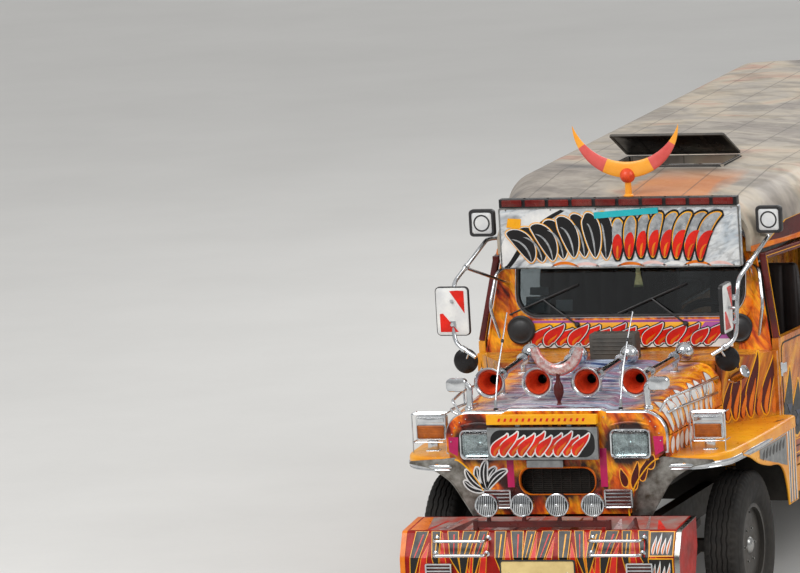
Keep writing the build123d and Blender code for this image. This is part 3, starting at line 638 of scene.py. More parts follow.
def swash(seat: "Seat | HoodSide", spine: Pairs, width: float, belly: float = 0.4,
          lift: float = 0.001, grow: float = 0.0, steps: int = 28) -> Shell:
    """Painted stroke: a smooth spine whose width swells from a point and runs out to a point.

    The spine is a Bezier curve of any degree. The width follows s to the power a times one minus s to
    the power b, where a and b put its widest place at the belly.

    Args:
        seat: The place it is painted on.
        spine: Control points on that place.
        width: Its widest place.
        belly: How far along its widest place lies, from nought to one.
        lift: How far it stands proud.
        grow: Extra width all round, for a line under it.
        steps: Points along it.

    Returns:
        The shell.
    """
    control = np.asarray(spine, float)
    s = np.linspace(0, 1, steps)[:, None]
    degree = len(control) - 1
    weights = np.concatenate([math.comb(degree, k) * s ** k * (1 - s) ** (degree - k)
                              for k in range(degree + 1)], axis=1)
    line = weights @ control
    ahead = unit(np.gradient(line, axis=0))
    line = line + ahead * grow * (2 * s - 1)
    aside = np.stack([-ahead[:, 1], ahead[:, 0]], -1)
    a, b = 1.4 * belly, 1.4 * (1 - belly)
    peak = belly ** a * (1 - belly) ** b
    half = 0.5 * width * (s ** a * (1 - s) ** b) / peak + grow
    across = np.linspace(-1, 1, 5)[None, :, None]
    flat = line[:, None] + across * half[:, None] * aside[:, None]
    return slab(seat.lay(flat, lift), seat.lay(flat, -0.0006))


def patch(seat: "Seat | HoodSide", corners: Pairs, lift: float = 0.001, grow: float = 0.0,
          bulge: float = 0.0) -> Shell:
    """Painted four-sided patch, its sides bowed outwards by a parabola.

    Args:
        seat: The place it is painted on.
        corners: Four corners on that place.
        lift: How far it stands proud.
        grow: Extra width all round.
        bulge: How far the longer sides bow.

    Returns:
        The shell.
    """
    corners = np.asarray(corners, float)
    middle = corners.mean(0)
    corners = corners + unit(corners - middle) * grow * math.sqrt(2)
    u = np.linspace(0, 1, 9)[:, None, None]
    v = np.linspace(0, 1, 5)[None, :, None]
    low, high = corners[0] + u * (corners[1] - corners[0]), corners[3] + u * (corners[2] - corners[3])
    bow = bulge * 4 * u * (1 - u) * unit(high - low)
    flat = low * (1 - v) + high * v + bow * (2 * v - 1)
    return slab(seat.lay(flat, lift), seat.lay(flat, -0.0006))


# Coats of a tongue: an edge 6 mm wider in its piece's first finish, the second on it, the third as core.
EDGED, CORE = ((0.006, 0), (0.0, 1)), ((0.0, 2),)
# How a tongue's spine bends: flames swing back before they lick forward, feathers of a wing don't.
FLAME_WAY = ((-0.30, 0.42), (0.75, 0.60), (1.0, 1.0))
WING_WAY = ((0.02, 0.50), (0.42, 0.95), (1.0, 1.0))


def tongues(seat: "Seat | HoodSide", feet: Pairs, tall: float | Sequence[float],
            lean: float | Sequence[float], width: float, coats: Sequence[tuple[float, int]],
            lift: float = 0.0006, way: Pairs = FLAME_WAY, belly: float = 0.35) -> list[Shell]:
    """Paint a row of tongues that lick the same way, every other one over its neighbours.

    Args:
        seat: The place they are painted on.
        feet: Where each begins.
        tall: Height of each, or of all.
        lean: How far each tip leans, as a share of its height, or how far all lean.
        width: Their widest place.
        coats: Pairs of extra width and finish, from the lowest coat up.
        lift: Height of the lowest coat.
        way: The spine's later control points, as shares of lean and height.
        belly: Where the widest place lies.

    Returns:
        The shells.
    """
    parts = []
    tall, lean = np.broadcast_to(tall, len(feet)), np.broadcast_to(lean, len(feet))
    for k, ((x, z), high, slant) in enumerate(zip(feet, tall, lean)):
        spine = [(x, z)] + [(x + a * slant * high, z + b * high) for a, b in way]
        for j, (grow, finish) in enumerate(coats):
            level = lift + 0.0006 * j + 0.0006 * len(coats) * (k % 2)
            parts.append(swash(seat, spine, width, belly, level, grow).painted(finish))
    return parts


def row(first: float, last: float, count: int, level: float) -> list[tuple[float, float]]:
    """Feet for a row of tongues, side by side at one level.

    Args:
        first: Where the first foot stands.
        last: Where the last foot stands.
        count: Number of feet.
        level: Their height on the seat.

    Returns:
        The feet.
    """
    return [(float(x), level) for x in np.linspace(first, last, count)]


# Stops of the airbrushed coats, from a coat's darkest patches to its brightest and down again.
NOSE_FIRE = ((0.25, "#140808"), (0.36, "#56160A"), (0.43, "#B43A0C"), (0.49, "#E8780E"), (0.55, "#F8A816"),
             (0.61, "#D8580C"), (0.69, "#80200C"), (0.82, "#2E0E0C"))
FLAME = ((0.24, "#1A0B08"), (0.35, "#5E1E0C"), (0.43, "#B64E0E"), (0.50, "#EC8C0E"), (0.565, "#F6AE18"),
         (0.64, "#D06A0E"), (0.74, "#7A2A0E"), (0.86, "#38140E"))
EMBER = ((0.24, "#2E1A20"), (0.35, "#6A3018"), (0.44, "#B8641A"), (0.51, "#DE9620"), (0.57, "#C98A2E"),
         (0.64, "#A04A1C"), (0.74, "#5C4450"), (0.86, "#2A2230"))
STROKES = ((0.24, "#1C2750"), (0.34, "#4E6CA8"), (0.40, "#C2CEDC"), (0.48, "#8C98B0"), (0.54, "#A8708C"),
           (0.60, "#DCDCE0"), (0.68, "#34447A"), (0.78, "#8E3A1C"), (0.88, "#D08A1C"))
CLOUDS = ((0.26, "#6E6A68"), (0.38, "#8E857C"), (0.48, "#A39A8E"), (0.56, "#B5A894"), (0.64, "#B08A78"),
          (0.74, "#9A7C76"), (0.88, "#7C8078"))
CHALK = ((0.24, "#7E858C"), (0.40, "#B6BABD"), (0.52, "#D5D8D8"), (0.64, "#A9B4BC"),
         (0.78, "#C9A68C"), (0.90, "#8C9096"))


@dataclass(frozen=True)
class HoodEnamel(Airbrushed):
    """Gloss enamel with silver and blue strokes across the hood and flames along both shoulders."""

    shoulder: tuple[float, float] = (0.30, 0.47)

    def colour(self, tree: bpy.types.NodeTree) -> bpy.types.NodeSocket:
        """Draw strokes in the middle and flames beyond a ragged line on each side.

        Args:
            tree: The material's tree.

        Returns:
            The colour's socket.
        """
        strokes = super().colour(tree)
        tongues = spots(tree, 230, (1.2, 0.7, 1.0), (0, 0, 30), Detail=5.0, Roughness=0.55, Distortion=1.8)
        flames = set_stops(add(tree, "ValToRGB", {"Fac": tongues}), FLAME)
        place = add(tree, "SeparateXYZ", {0: add(tree, "TexCoord").outputs["Object"]})
        aside = add(tree, "Math", {0: place.outputs["X"]}, operation="ABSOLUTE")
        ragged = add(tree, "Math", {0: spots(tree, 180, Detail=3.0), 1: 0.34, 2: aside},
            operation="MULTIPLY_ADD")
        share = add(tree, "MapRange", {"Value": ragged, "From Min": self.shoulder[0] + 0.17,
                                       "From Max": self.shoulder[1] + 0.17})
        parted = {SHARE: share, FIRST: strokes, SECOND: flames.outputs[0]}
        return add(tree, "Mix", parted, data_type="RGBA").outputs[MIXED]


@dataclass(frozen=True)
class NoseEnamel(Airbrushed):
    """Flames airbrushed in gloss enamel, with black sprayed round both lamps and the mouth as painted shade.

    The eye sees the lamps and the mouth sink into dark, ragged clouds of painted shade between bright
    tongues.
    """

    # Two tones of the painted shade round the lamps and the mouth.
    recess_shade: tuple[str, str] = ("#120A0B", "#3A120C")

    def colour(self, tree: bpy.types.NodeTree) -> bpy.types.NodeSocket:
        """Draw the flames, with painted shade darkening them near the lamps and the mouth.

        Args:
            tree: The material's tree.

        Returns:
            The colour's socket.
        """
        flames = super().colour(tree)
        ragged = spots(tree, 90, (1.0, 1.0, 0.6), Detail=4.0, Distortion=0.8)
        recess_tones = {SHARE: ragged, FIRST: self.recess_shade[0], SECOND: self.recess_shade[1]}
        recess_shade = add(tree, "Mix", recess_tones, data_type="RGBA").outputs[MIXED]
        place = add(tree, "TexCoord").outputs["Object"]
        folded = add(tree, "VectorMath", {0: place}, operation="ABSOLUTE")
        # Darken the flames round each lamp and the mouth with painted shade.
        for centre, scale, reach in (((0.393, -NOSE_Y, 1.008), (0.75, 1.0, 1.0), 0.118),
                                     ((0.0, -NOSE_Y, 0.820), (0.40, 1.0, 1.0), 0.112)):
            away = add(tree, "VectorMath", {0: folded, 1: centre}, operation="SUBTRACT")
            flat = add(tree, "VectorMath", {0: away, 1: scale}, operation="MULTIPLY")
            far = add(tree, "VectorMath", {0: flat}, operation="LENGTH").outputs["Value"]
            edge = add(tree, "Math", {0: ragged, 1: 0.12, 2: far}, operation="MULTIPLY_ADD")
            share = add(tree, "MapRange", {"Value": edge, "From Min": reach + 0.035,
                "From Max": reach + 0.075})
            shade_mix = {SHARE: share, FIRST: recess_shade, SECOND: flames}
            flames = add(tree, "Mix", shade_mix, data_type="RGBA").outputs[MIXED]
        return flames


@dataclass(frozen=True)
class RoofEnamel(Airbrushed):
    """Sun-bleached enamel in clouded greys on sheet joints, with an orange flash at its front.

    The eye sees dull, chalky clouds, dark lines where the sheets meet and one warm band.
    """

    pitch: float = 0.28
    flash: tuple[str, str] = ("#D88A3C", "#B8602A")

    def colour(self, tree: bpy.types.NodeTree) -> bpy.types.NodeSocket:
        """Draw the clouds, the flash and the joints.

        Args:
            tree: The material's tree.

        Returns:
            The colour's socket.
        """
        clouds = super().colour(tree)
        place = add(tree, "SeparateXYZ", {0: add(tree, "TexCoord").outputs["Object"]})
        ragged = spots(tree, 200, (1.0, 0.5, 1.0), Detail=4.0, Distortion=1.0)
        aside = add(tree, "Math", {0: place.outputs["X"], 1: -0.22}, operation="ADD")
        wide = add(tree, "Math", {0: aside}, operation="ABSOLUTE")
        edge = add(tree, "Math", {0: ragged, 1: 0.30, 2: wide}, operation="MULTIPLY_ADD")
        across = add(tree, "MapRange", {"Value": edge, "From Min": 0.34, "From Max": 0.42,
                                        "To Min": 1.0, "To Max": 0.0})
        back = add(tree, "MapRange", {"Value": place.outputs["Y"], "From Min": NOSE_Y + 1.85,
                                      "From Max": NOSE_Y + 2.15, "To Min": 0.75, "To Max": 0.0})
        share = add(tree, "Math", {0: across, 1: back}, operation="MULTIPLY")
        two = {SHARE: ragged, FIRST: self.flash[0], SECOND: self.flash[1]}
        flash = add(tree, "Mix", two, data_type="RGBA").outputs[MIXED]
        warm = add(tree, "Mix", {SHARE: share, FIRST: clouds, SECOND: flash}, data_type="RGBA")
        joint = add(tree, "Math", {0: place.outputs["X"], 1: self.pitch / 2}, operation="PINGPONG")
        near = add(tree, "MapRange", {"Value": joint, "From Min": 0.002, "From Max": 0.006, "To Min": 0.6,
                                      "To Max": 0.0})
        jointed = {SHARE: near, FIRST: warm.outputs[MIXED], SECOND: "#4A4642"}
        return add(tree, "Mix", jointed, data_type="RGBA").outputs[MIXED]


FINISHES = (
    # Alkyd gloss: dark licks curl up through red, orange and yellow, so the nose seems to burn.
    # Painted shade darkens the nose round the lamps and the mouth.
    NoseEnamel("nose_flame_enamel", "#E98A12", "#8A3410", patch=300, stops=NOSE_FIRE,
               stretch=(1.6, 1.0, 0.7), turn=(0, 24, 0)),
    # The same paint after years of sun: dull gold with brown licks, quieter than the nose.
    Airbrushed("side_flame_enamel", "#D8871C", "#8E4A1E", patch=520, stops=EMBER,
               stretch=(1.0, 1.3, 0.6), turn=(18, 0, 0)),
    # Silver and blue strokes run back along the hood and break its highlights into streaks.
    HoodEnamel("hood_stroke_enamel", "#BFC0C4", "#4B5A86", patch=260, stops=STROKES,
               stretch=(0.35, 1.9, 1.5), turn=(0, 0, 8), wisp=1.1),
    # Chalked by sun and dust: matt grey clouds without a highlight, so the roof looks soft.
    RoofEnamel("roof_cloud_enamel", "#A39A8E", "#B5A894", patch=700, stops=CLOUDS,
               stretch=(0.6, 1.2, 0.8), turn=(0, 0, 24), wisp=0.9, roughness=0.5, dust=0.12),
    # Pale board paint with cool and warm smudges under the painted wings.
    Airbrushed("board_chalk_enamel", "#B6BABD", "#D5D8D8", patch=210, stops=CHALK,
               stretch=(0.6, 1.0, 1.5), turn=(0, 20, 0)),
    # Warm yellow gloss: one long clean highlight shows how the fender is rolled.
    Enamel("fender_yellow_enamel", "#EFA60C", "#D2780C", patch=300, dust=0.05),
    # Deep red under a weak coat, so the sky hardly greys it.
    Enamel("bumper_red_enamel", "#A81004", "#6E0804", patch=110, roughness=0.36,
           sockets=(("Coat Weight", 0.02), ("Coat Roughness", 0.12), ("Specular IOR Level", 0.16))),
    # Red rubbed through to grey steel: it looks old beside the fresh bumper.
    Enamel("worn_red_enamel", "#9E3A2E", "#8C827C", patch=110, roughness=0.5, dust=0.10),
    # Hand-brushed white, a little grey in patches: the crispest strokes on the vehicle.
    Enamel("white_enamel", "#E2E2DE", "#C4C6C8", patch=120),
    # Near-black gloss: it gives painted edges their depth.
    Enamel("black_enamel", "#0C0C0E", "#151315", patch=120),
    # Bright red that leads the eye along the strokes.
    Enamel("scarlet_enamel", "#DE1C08", "#A81408", patch=120),
    # Orange red deep in the trumpets: it glows between rings of chrome.
    Enamel("vermilion_enamel", "#E4502A", "#B8341C", patch=40),
    # Bleached red of the crescents: softer than any other red here.
    Enamel("salmon_enamel", "#D9605A", "#C94E48", patch=90),
    # Light warm yellow: it lifts the crescents off the grey roof.
    Enamel("saffron_enamel", "#F5A93C", "#EE9A2C", patch=90),
    # The step between yellow and dark red in every flame.
    Enamel("orange_enamel", "#E27A0C", "#B84A0A", patch=160),
    # The hot core of the flames, strongest where the sun meets it.
    Enamel("yellow_enamel", "#F4B010", "#DE920E", patch=160),
    # A small cool pink among warm tones.
    Enamel("magenta_enamel", "#C2185A", "#9C1450", patch=200),
    # Blue green, the opposite of orange: narrow marks of it stand out.
    Enamel("teal_enamel", "#26B5BC", "#1D9AA6", patch=200),
    # A cool, dull band below the glass.
    Enamel("violet_enamel", "#B25CA8", "#8D4A8C", patch=200),
    # Dark blue that looks softer than black beside yellow.
    Enamel("navy_enamel", "#1C2438", "#2C3550", patch=160),
    # Dark red brown: a shadow line round the flames that still looks warm.
    Enamel("oxblood_enamel", "#5A100C", "#360A08", patch=120),
    # Dyed cotton: pale green threads with no highlight at all.
    Enamel("tassel_cotton_dye", "#B9C29A", "#98A27C", patch=20, roughness=0.8),
    # Plating worn to copper red in spots: metal that hands have rubbed.
    Finish("worn_plate", "#CFC6C4", "#B2605A", patch=16, metallic=0.65, roughness=0.3),
    # Bright sheet under road dirt: mirror and brown stain lie side by side.
    Finish("scuffed_sheet", "#A2A19C", "#4C453C", patch=60, metallic=0.85, roughness=0.34, dust=0.08),
    # Faded pink, almost white: it calms the board's strong strokes.
    Enamel("rose_enamel", "#D9AFA8", "#E6CFC8", patch=70),
    # Even cream: a plate that is blank but still reads as a plate.
    Enamel("pale_plate_enamel", "#E2C98A", "#CDB377", patch=90),
    # Chrome: a sharp picture of sky and ground, broken by light smears.
    BrightMetal("chrome_plate", "#D6D8DA", "#B4B8BC", patch=60),
    # Stainless sheet: the same picture, darker and blurred by polishing marks.
    BrightMetal("stainless_sheet", "#A8A9A8", "#6B6A66", patch=120, roughness=0.26, relief=0.02, dust=0.05),
    # Zinc: a dull grey sheen in small patches.
    BrightMetal("galvanised_sheet", "#9C9E9E", "#808284", patch=40, roughness=0.42),
    # Underbody paint under dust: the frame stays in shadow yet keeps its edges.
    Enamel("chassis_black_enamel", "#141313", "#201E1C", patch=80, roughness=0.6, dust=0.12),
    # Raw castings: a rough brown grey skin that swallows light.
    Finish("cast_iron", "#3A3633", "#4B423B", patch=50, metallic=0.6, roughness=0.65, relief=0.5,
           dust=0.3),
    # Rubber: black and dry, greyed where dust clings near the road.
    Finish("tyre_rubber", "#0D0D0F", "#161617", patch=60, roughness=0.8, relief=0.25, dust=0.07,
           sockets=(("Specular IOR Level", 0.3),)),
    # Dark steel rims: only a weak sheen shows that they are dished.
    Enamel("wheel_grey_enamel", "#1E1F20", "#2A2826", patch=70, roughness=0.45, dust=0.10),
    # Moulded plastic: a fine grain and one wide soft highlight.
    Finish("moulded_black_plastic", "#141416", "#1D1D20", patch=60, roughness=0.42, grain=1.6,
           relief=0.08),
    # Seals: a black line without highlight that parts glass from paint.
    Finish("rubber_seal", "#101012", "#18181A", patch=60, roughness=0.6),
    # Vinyl: a leathery grain, with a soft sheen along each stuffed roll.
    Finish("black_vinyl", "#221817", "#171112", patch=120, roughness=0.5, grain=2.4, relief=0.3),
    # Dusty primer grey: a quiet patch beside bright paint.
    Finish("vent_grey_enamel", "#4A4742", "#3A3835", patch=60, roughness=0.6, dust=0.25),
    # Rolled plate: raised bars catch the light in two directions.
    Checker("tread_plate", "#3C3C3E", "#2C2C2E", patch=120, roughness=0.5, dust=0.12),
    # Lamp glass: the silvered bowl shows through it.
    Clear("clear_glass", "#E9F0F0", "#E2ECEC"),
    # Tinted glass, darkened further as painted shade of the cab behind it: a grey mirror in front of the
    # cab.
    Clear("tint_and_shade_glass", "#7C868A", "#727C80"),
    # Moulded amber: an even dark orange that reads as a lamp even when it's off.
    Enamel("amber_reflector", "#B8641C", "#8A4414", patch=50, roughness=0.3),
    # Dusty dark red lens: nearly black until light grazes it.
    Enamel("garnet_lens", "#7E140E", "#5E0E0C", patch=120, roughness=0.2, dust=0.25),
    # Silvered glass: the brightest grey on the nose.
    BrightMetal("silvered_reflector", "#D2D4D6", "#8C9094", patch=40, roughness=0.22),
)

NODE_FINISHES = {
    "nose_flame_enamel": ("grille_shell", "windshield_frame", "engine_sides"),
    "side_flame_enamel": ("cowl", "body_sides", "window_frames", "rear_wall", "left_door", "right_door"),
    "hood_stroke_enamel": ("hood",),
    "roof_cloud_enamel": ("roof", "roof_hatch"),
    "board_chalk_enamel": ("visor_sign",),
    "fender_yellow_enamel": ("fenders",),
    "bumper_red_enamel": ("front_bumper",),
    "galvanised_sheet": ("face_signs",),
    "stainless_sheet": ("rear_step", "ceiling_rails"),
    "scuffed_sheet": ("arch_panels",),
    "chrome_plate": ("rub_rails", "mirror_arms", "mirrors", "trumpets", "hood_fittings", "round_lamps",
                     "signal_lamps", "headlamps"),
    "chassis_black_enamel": ("frame_rails", "cross_members", "front_axle", "rear_axle", "leaf_springs",
                             "driveshaft", "fuel_tank", "radiator", "left_knuckle", "right_knuckle"),
    "cast_iron": ("engine", "exhaust"),
    "pale_plate_enamel": ("number_plates",),
    "tint_and_shade_glass": ("windshield_glass",),
    "black_vinyl": ("benches", "front_seats"),
    "moulded_black_plastic": ("dashboard", "steering_wheel", "spot_lamps"),
    "tread_plate": ("floor",),
    "yellow_enamel": ("roof_ornament",),
    "tyre_rubber": ("front_left_tyre", "front_right_tyre", "rear_left_tyre", "rear_right_tyre"),
    "wheel_grey_enamel": ("front_left_rim", "front_right_rim", "rear_left_rim", "rear_right_rim"),
}


@cache
def coat(name: str) -> bpy.types.Material:
    """Build a finish the first time that a piece asks for it.

    Args:
        name: The finish's name.

    Returns:
        Its material.
    """
    return next(finish for finish in FINISHES if finish.name == name).build()


def dress_nodes() -> None:
    """Give every node of the frame its finish."""
    for name, nodes in NODE_FINISHES.items():
        for node in nodes:
            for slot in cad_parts[node].material_slots:
                slot.material = coat(name)


def make(name: str, shells: Sequence[Shell], finishes: Sequence[str] | str,
         replaces: Sequence[str] = (), sharp: float = 38.0, body: Body = Body.CHASSIS) -> bpy.types.Object:
    """Make one piece.

    Args:
        name: The piece's name.
        shells: Its closed surfaces, in the nose's coordinates.
        finishes: Names of its finishes, numbered from nought.
        replaces: Nodes of the frame that it stands for.
        sharp: Degrees past which an edge isn't smoothed.
        body: The body that it rides on.

    Returns:
        The piece's object.
    """
    finishes = [finishes] if isinstance(finishes, str) else finishes
    starts = np.cumsum([0] + [len(shell.points) for shell in shells])
    points = np.concatenate([shell.points for shell in shells]) + np.array([0.0, NOSE_Y, 0.0])
    faces = np.concatenate([shell.faces + start for shell, start in zip(shells, starts)])
    marks = np.concatenate([np.full(len(shell.faces), shell.finish) if np.isscalar(shell.finish) else
                            shell.finish for shell in shells])
    mesh = bpy.data.meshes.new(name)
    mesh.from_pydata(points.tolist(), [], faces.tolist())
    mesh.polygons.foreach_set("material_index", marks.astype(np.int32))
    work = bmesh.new()
    work.from_mesh(mesh)
    bmesh.ops.remove_doubles(work, verts=work.verts, dist=WELD)
    bmesh.ops.dissolve_degenerate(work, edges=work.edges, dist=WELD)
    bmesh.ops.recalc_face_normals(work, faces=work.faces)
    work.to_mesh(mesh)
    work.free()
    mesh.shade_smooth()
    mesh.set_sharp_from_angle(angle=math.radians(sharp))
    for finish in finishes:
        mesh.materials.append(coat(finish))
    piece = bpy.data.objects.new(name, mesh)
    bpy.context.scene.collection.objects.link(piece)
    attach(piece, body.value)
    if replaces:
        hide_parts(*replaces)
    LOG.info("%s: %d faces on %s", name, len(mesh.polygons), body.value)
    return piece


@dataclass
class Studio:
    """Pale floor, soft lamps and the camera at the photograph's viewing angle.

    The camera stands far off with a long lens. It is turned a little away from the target, so that the
    vehicle lies in the picture's lower right, and rolled as the photograph is.
    """

    target: Triple = (0.0, NOSE_Y, 1.0)
    azimuth: float = 17.339
    elevation: float = 9.175
    roll: float = 3.195
    distance: float = 49.937
    lens: float = 450.0
    target_pixel: tuple[float, float] = (555.77, 445.61)
    picture: tuple[float, float] = (800.0, 573.0)
    pixels_per_unit: float = 10000.0

    def floor(self) -> None:
        """Lay the floor."""
        reach = 400.0
        mesh = bpy.data.meshes.new("studio_floor")
        mesh.from_pydata([(-reach, -reach, 0), (reach, -reach, 0), (reach, reach, 0), (-reach, reach, 0)],
                         [], [(0, 1, 2, 3)])
        mesh.materials.append(Finish("matt_floor_paint", "#D6D5D2", "#D1D0CD", patch=1400, roughness=0.8,
                                     dust=0.0, relief=0.0).build())
        floor = bpy.data.objects.new("studio_floor", mesh)
        bpy.context.scene.collection.objects.link(floor)

    def lamps(self) -> None:
        """Hang two broad lamps and set a sky that is brighter overhead than at the horizon."""
        for name, place, size, power in (("key_lamp", (-4.5, -11.0, 10.5), 7.0, 1150.0),
                                         ("fill_lamp", (9.0, -4.0, 7.5), 6.0, 420.0),
                                         ("back_lamp", (2.0, 11.0, 9.0), 7.0, 520.0)):
            light = bpy.data.lights.new(name, "AREA")
            light.size = size
            light.energy = power
            lamp = bpy.data.objects.new(name, light)
            lamp.location = place
            aim = Vector(UPWARDS) - Vector(place)
            lamp.rotation_euler = aim.to_track_quat("-Z", "Y").to_euler()
            bpy.context.scene.collection.objects.link(lamp)
        world = bpy.data.worlds.new("studio_sky")
        bpy.context.scene.world = world
        world.use_nodes = True
        tree = world.node_tree
        upward = add(tree, "SeparateXYZ", {0: add(tree, "TexCoord").outputs["Generated"]})
        height = add(tree, "MapRange", {"Value": upward.outputs["Z"], "From Min": -0.2, "From Max": 1.0})
        sky = set_stops(add(tree, "ValToRGB", {"Fac": height}),
                        ((0.0, 0.30), (0.16, 0.34), (0.30, 0.55), (1.0, 0.72)))
        camera_ray = add(tree, "LightPath").outputs["Is Camera Ray"]
        seen = add(tree, "Mix", {SHARE: camera_ray, FIRST: sky, SECOND: "#E8E8E6"}, data_type="RGBA")
        backdrop = tree.nodes["Background"]
        tree.links.new(seen.outputs[MIXED], backdrop.inputs["Color"])
        backdrop.inputs["Strength"].default_value = 1.0

    def camera(self) -> None:
        """Place and turn the camera."""
        a, e, r = (math.radians(v) for v in (self.azimuth, self.elevation, self.roll))
        back = Vector((math.sin(a) * math.cos(e), -math.cos(a) * math.cos(e), math.sin(e)))
        right = Vector((math.cos(a), math.sin(a), 0.0))
        up = back.cross(right)
        level = Matrix((math.cos(r) * right - math.sin(r) * up,
                        math.sin(r) * right + math.cos(r) * up, back)).transposed()
        aside = self.target_pixel[0] - self.picture[0] / 2
        below = self.target_pixel[1] - self.picture[1] / 2
        aim = Vector((aside, -below, -self.pixels_per_unit)).normalized()
        turn = aim.rotation_difference(Vector((0, 0, -1))).to_matrix()
        place = (level @ turn).to_4x4()
        place.translation = Vector(self.target) + back * self.distance
        data = bpy.data.cameras.new("camera")
        data.sensor_fit = "HORIZONTAL"
        data.sensor_width = 36.0
        data.lens = self.lens
        data.clip_start = 0.5
        data.clip_end = 900.0
        camera = bpy.data.objects.new("camera", data)
        camera.matrix_world = place
        bpy.context.scene.collection.objects.link(camera)
        bpy.context.scene.camera = camera

    def set_up(self) -> None:
        """Build the whole studio."""
        bpy.context.scene.view_settings.view_transform = "Standard"
        self.floor()
        self.lamps()
        self.camera()


def smooth(points: Sequence[Sequence[float]], steps: int) -> np.ndarray:
    """Curve through given points: cubic pieces whose slope at a point runs between its neighbours.

    Args:
        points: Points to pass through.
        steps: Points wanted along the curve.

    Returns:
        Points along the curve.
    """
    points = np.asarray(points, float)
    slope = np.gradient(points, axis=0)
    place = np.linspace(0, len(points) - 1, steps)
    k = np.minimum(place.astype(int), len(points) - 2)
    t = (place - k)[:, None]
    return ((2 * t ** 3 - 3 * t ** 2 + 1) * points[k] + (t ** 3 - 2 * t ** 2 + t) * slope[k]
            + (3 * t ** 2 - 2 * t ** 3) * points[k + 1] + (t ** 3 - t ** 2) * slope[k + 1])


def thick(front: np.ndarray, wall: float) -> Shell:
    """Give a grid of points a wall, along the direction square to both of its ways.

    Args:
        front: Rows, columns and three coordinates.
        wall: Thickness, whose sign says to which side.

    Returns:
        The shell.
    """
    out = unit(np.cross(np.gradient(front, axis=0), np.gradient(front, axis=1)))
    return slab(front, front + wall * out)


def box(low: Sequence[float], high: Sequence[float], edge: float = 0.002) -> Shell:
    """Block between two corners with softened edges.

    Args:
        low: Lowest corner.
        high: Highest corner.
        edge: Radius of its edges.

    Returns:
        The shell.
    """
    low, high = np.minimum(low, high), np.maximum(low, high)
    size = high - low
    edge = min(edge, *(0.45 * size))
    seat = Seat((float(low[0] + size[0] / 2), float(high[1]), float(low[2] + size[2] / 2)))
    deep = float(size[1])
    return boss(seat, (float(size[0]), float(size[2]), edge),
                ((edge, 0.0), (0.3 * edge, 0.3 * edge), (0.0, edge), (0.0, deep - edge),
                 (0.3 * edge, deep - 0.3 * edge), (edge, deep)), 3)


def spread(first: float, last: float, count: int) -> np.ndarray:
    """Even places from the first to the last.

    Args:
        first: First place.
        last: Last place.
        count: Number of places.

    Returns:
        The places.
    """
    return np.linspace(first, last, count)


def both(shells: Sequence[Shell]) -> list[Shell]:
    """Add the mirror image of each shell on the vehicle's other side.

    Args:
        shells: Shells on the vehicle's left.

    Returns:
        Each shell, followed by its image.
    """
    return [part for shell in shells for part in (shell, shell.mirrored())]


FACE = Seat((0.0, 0.0, 0.0))


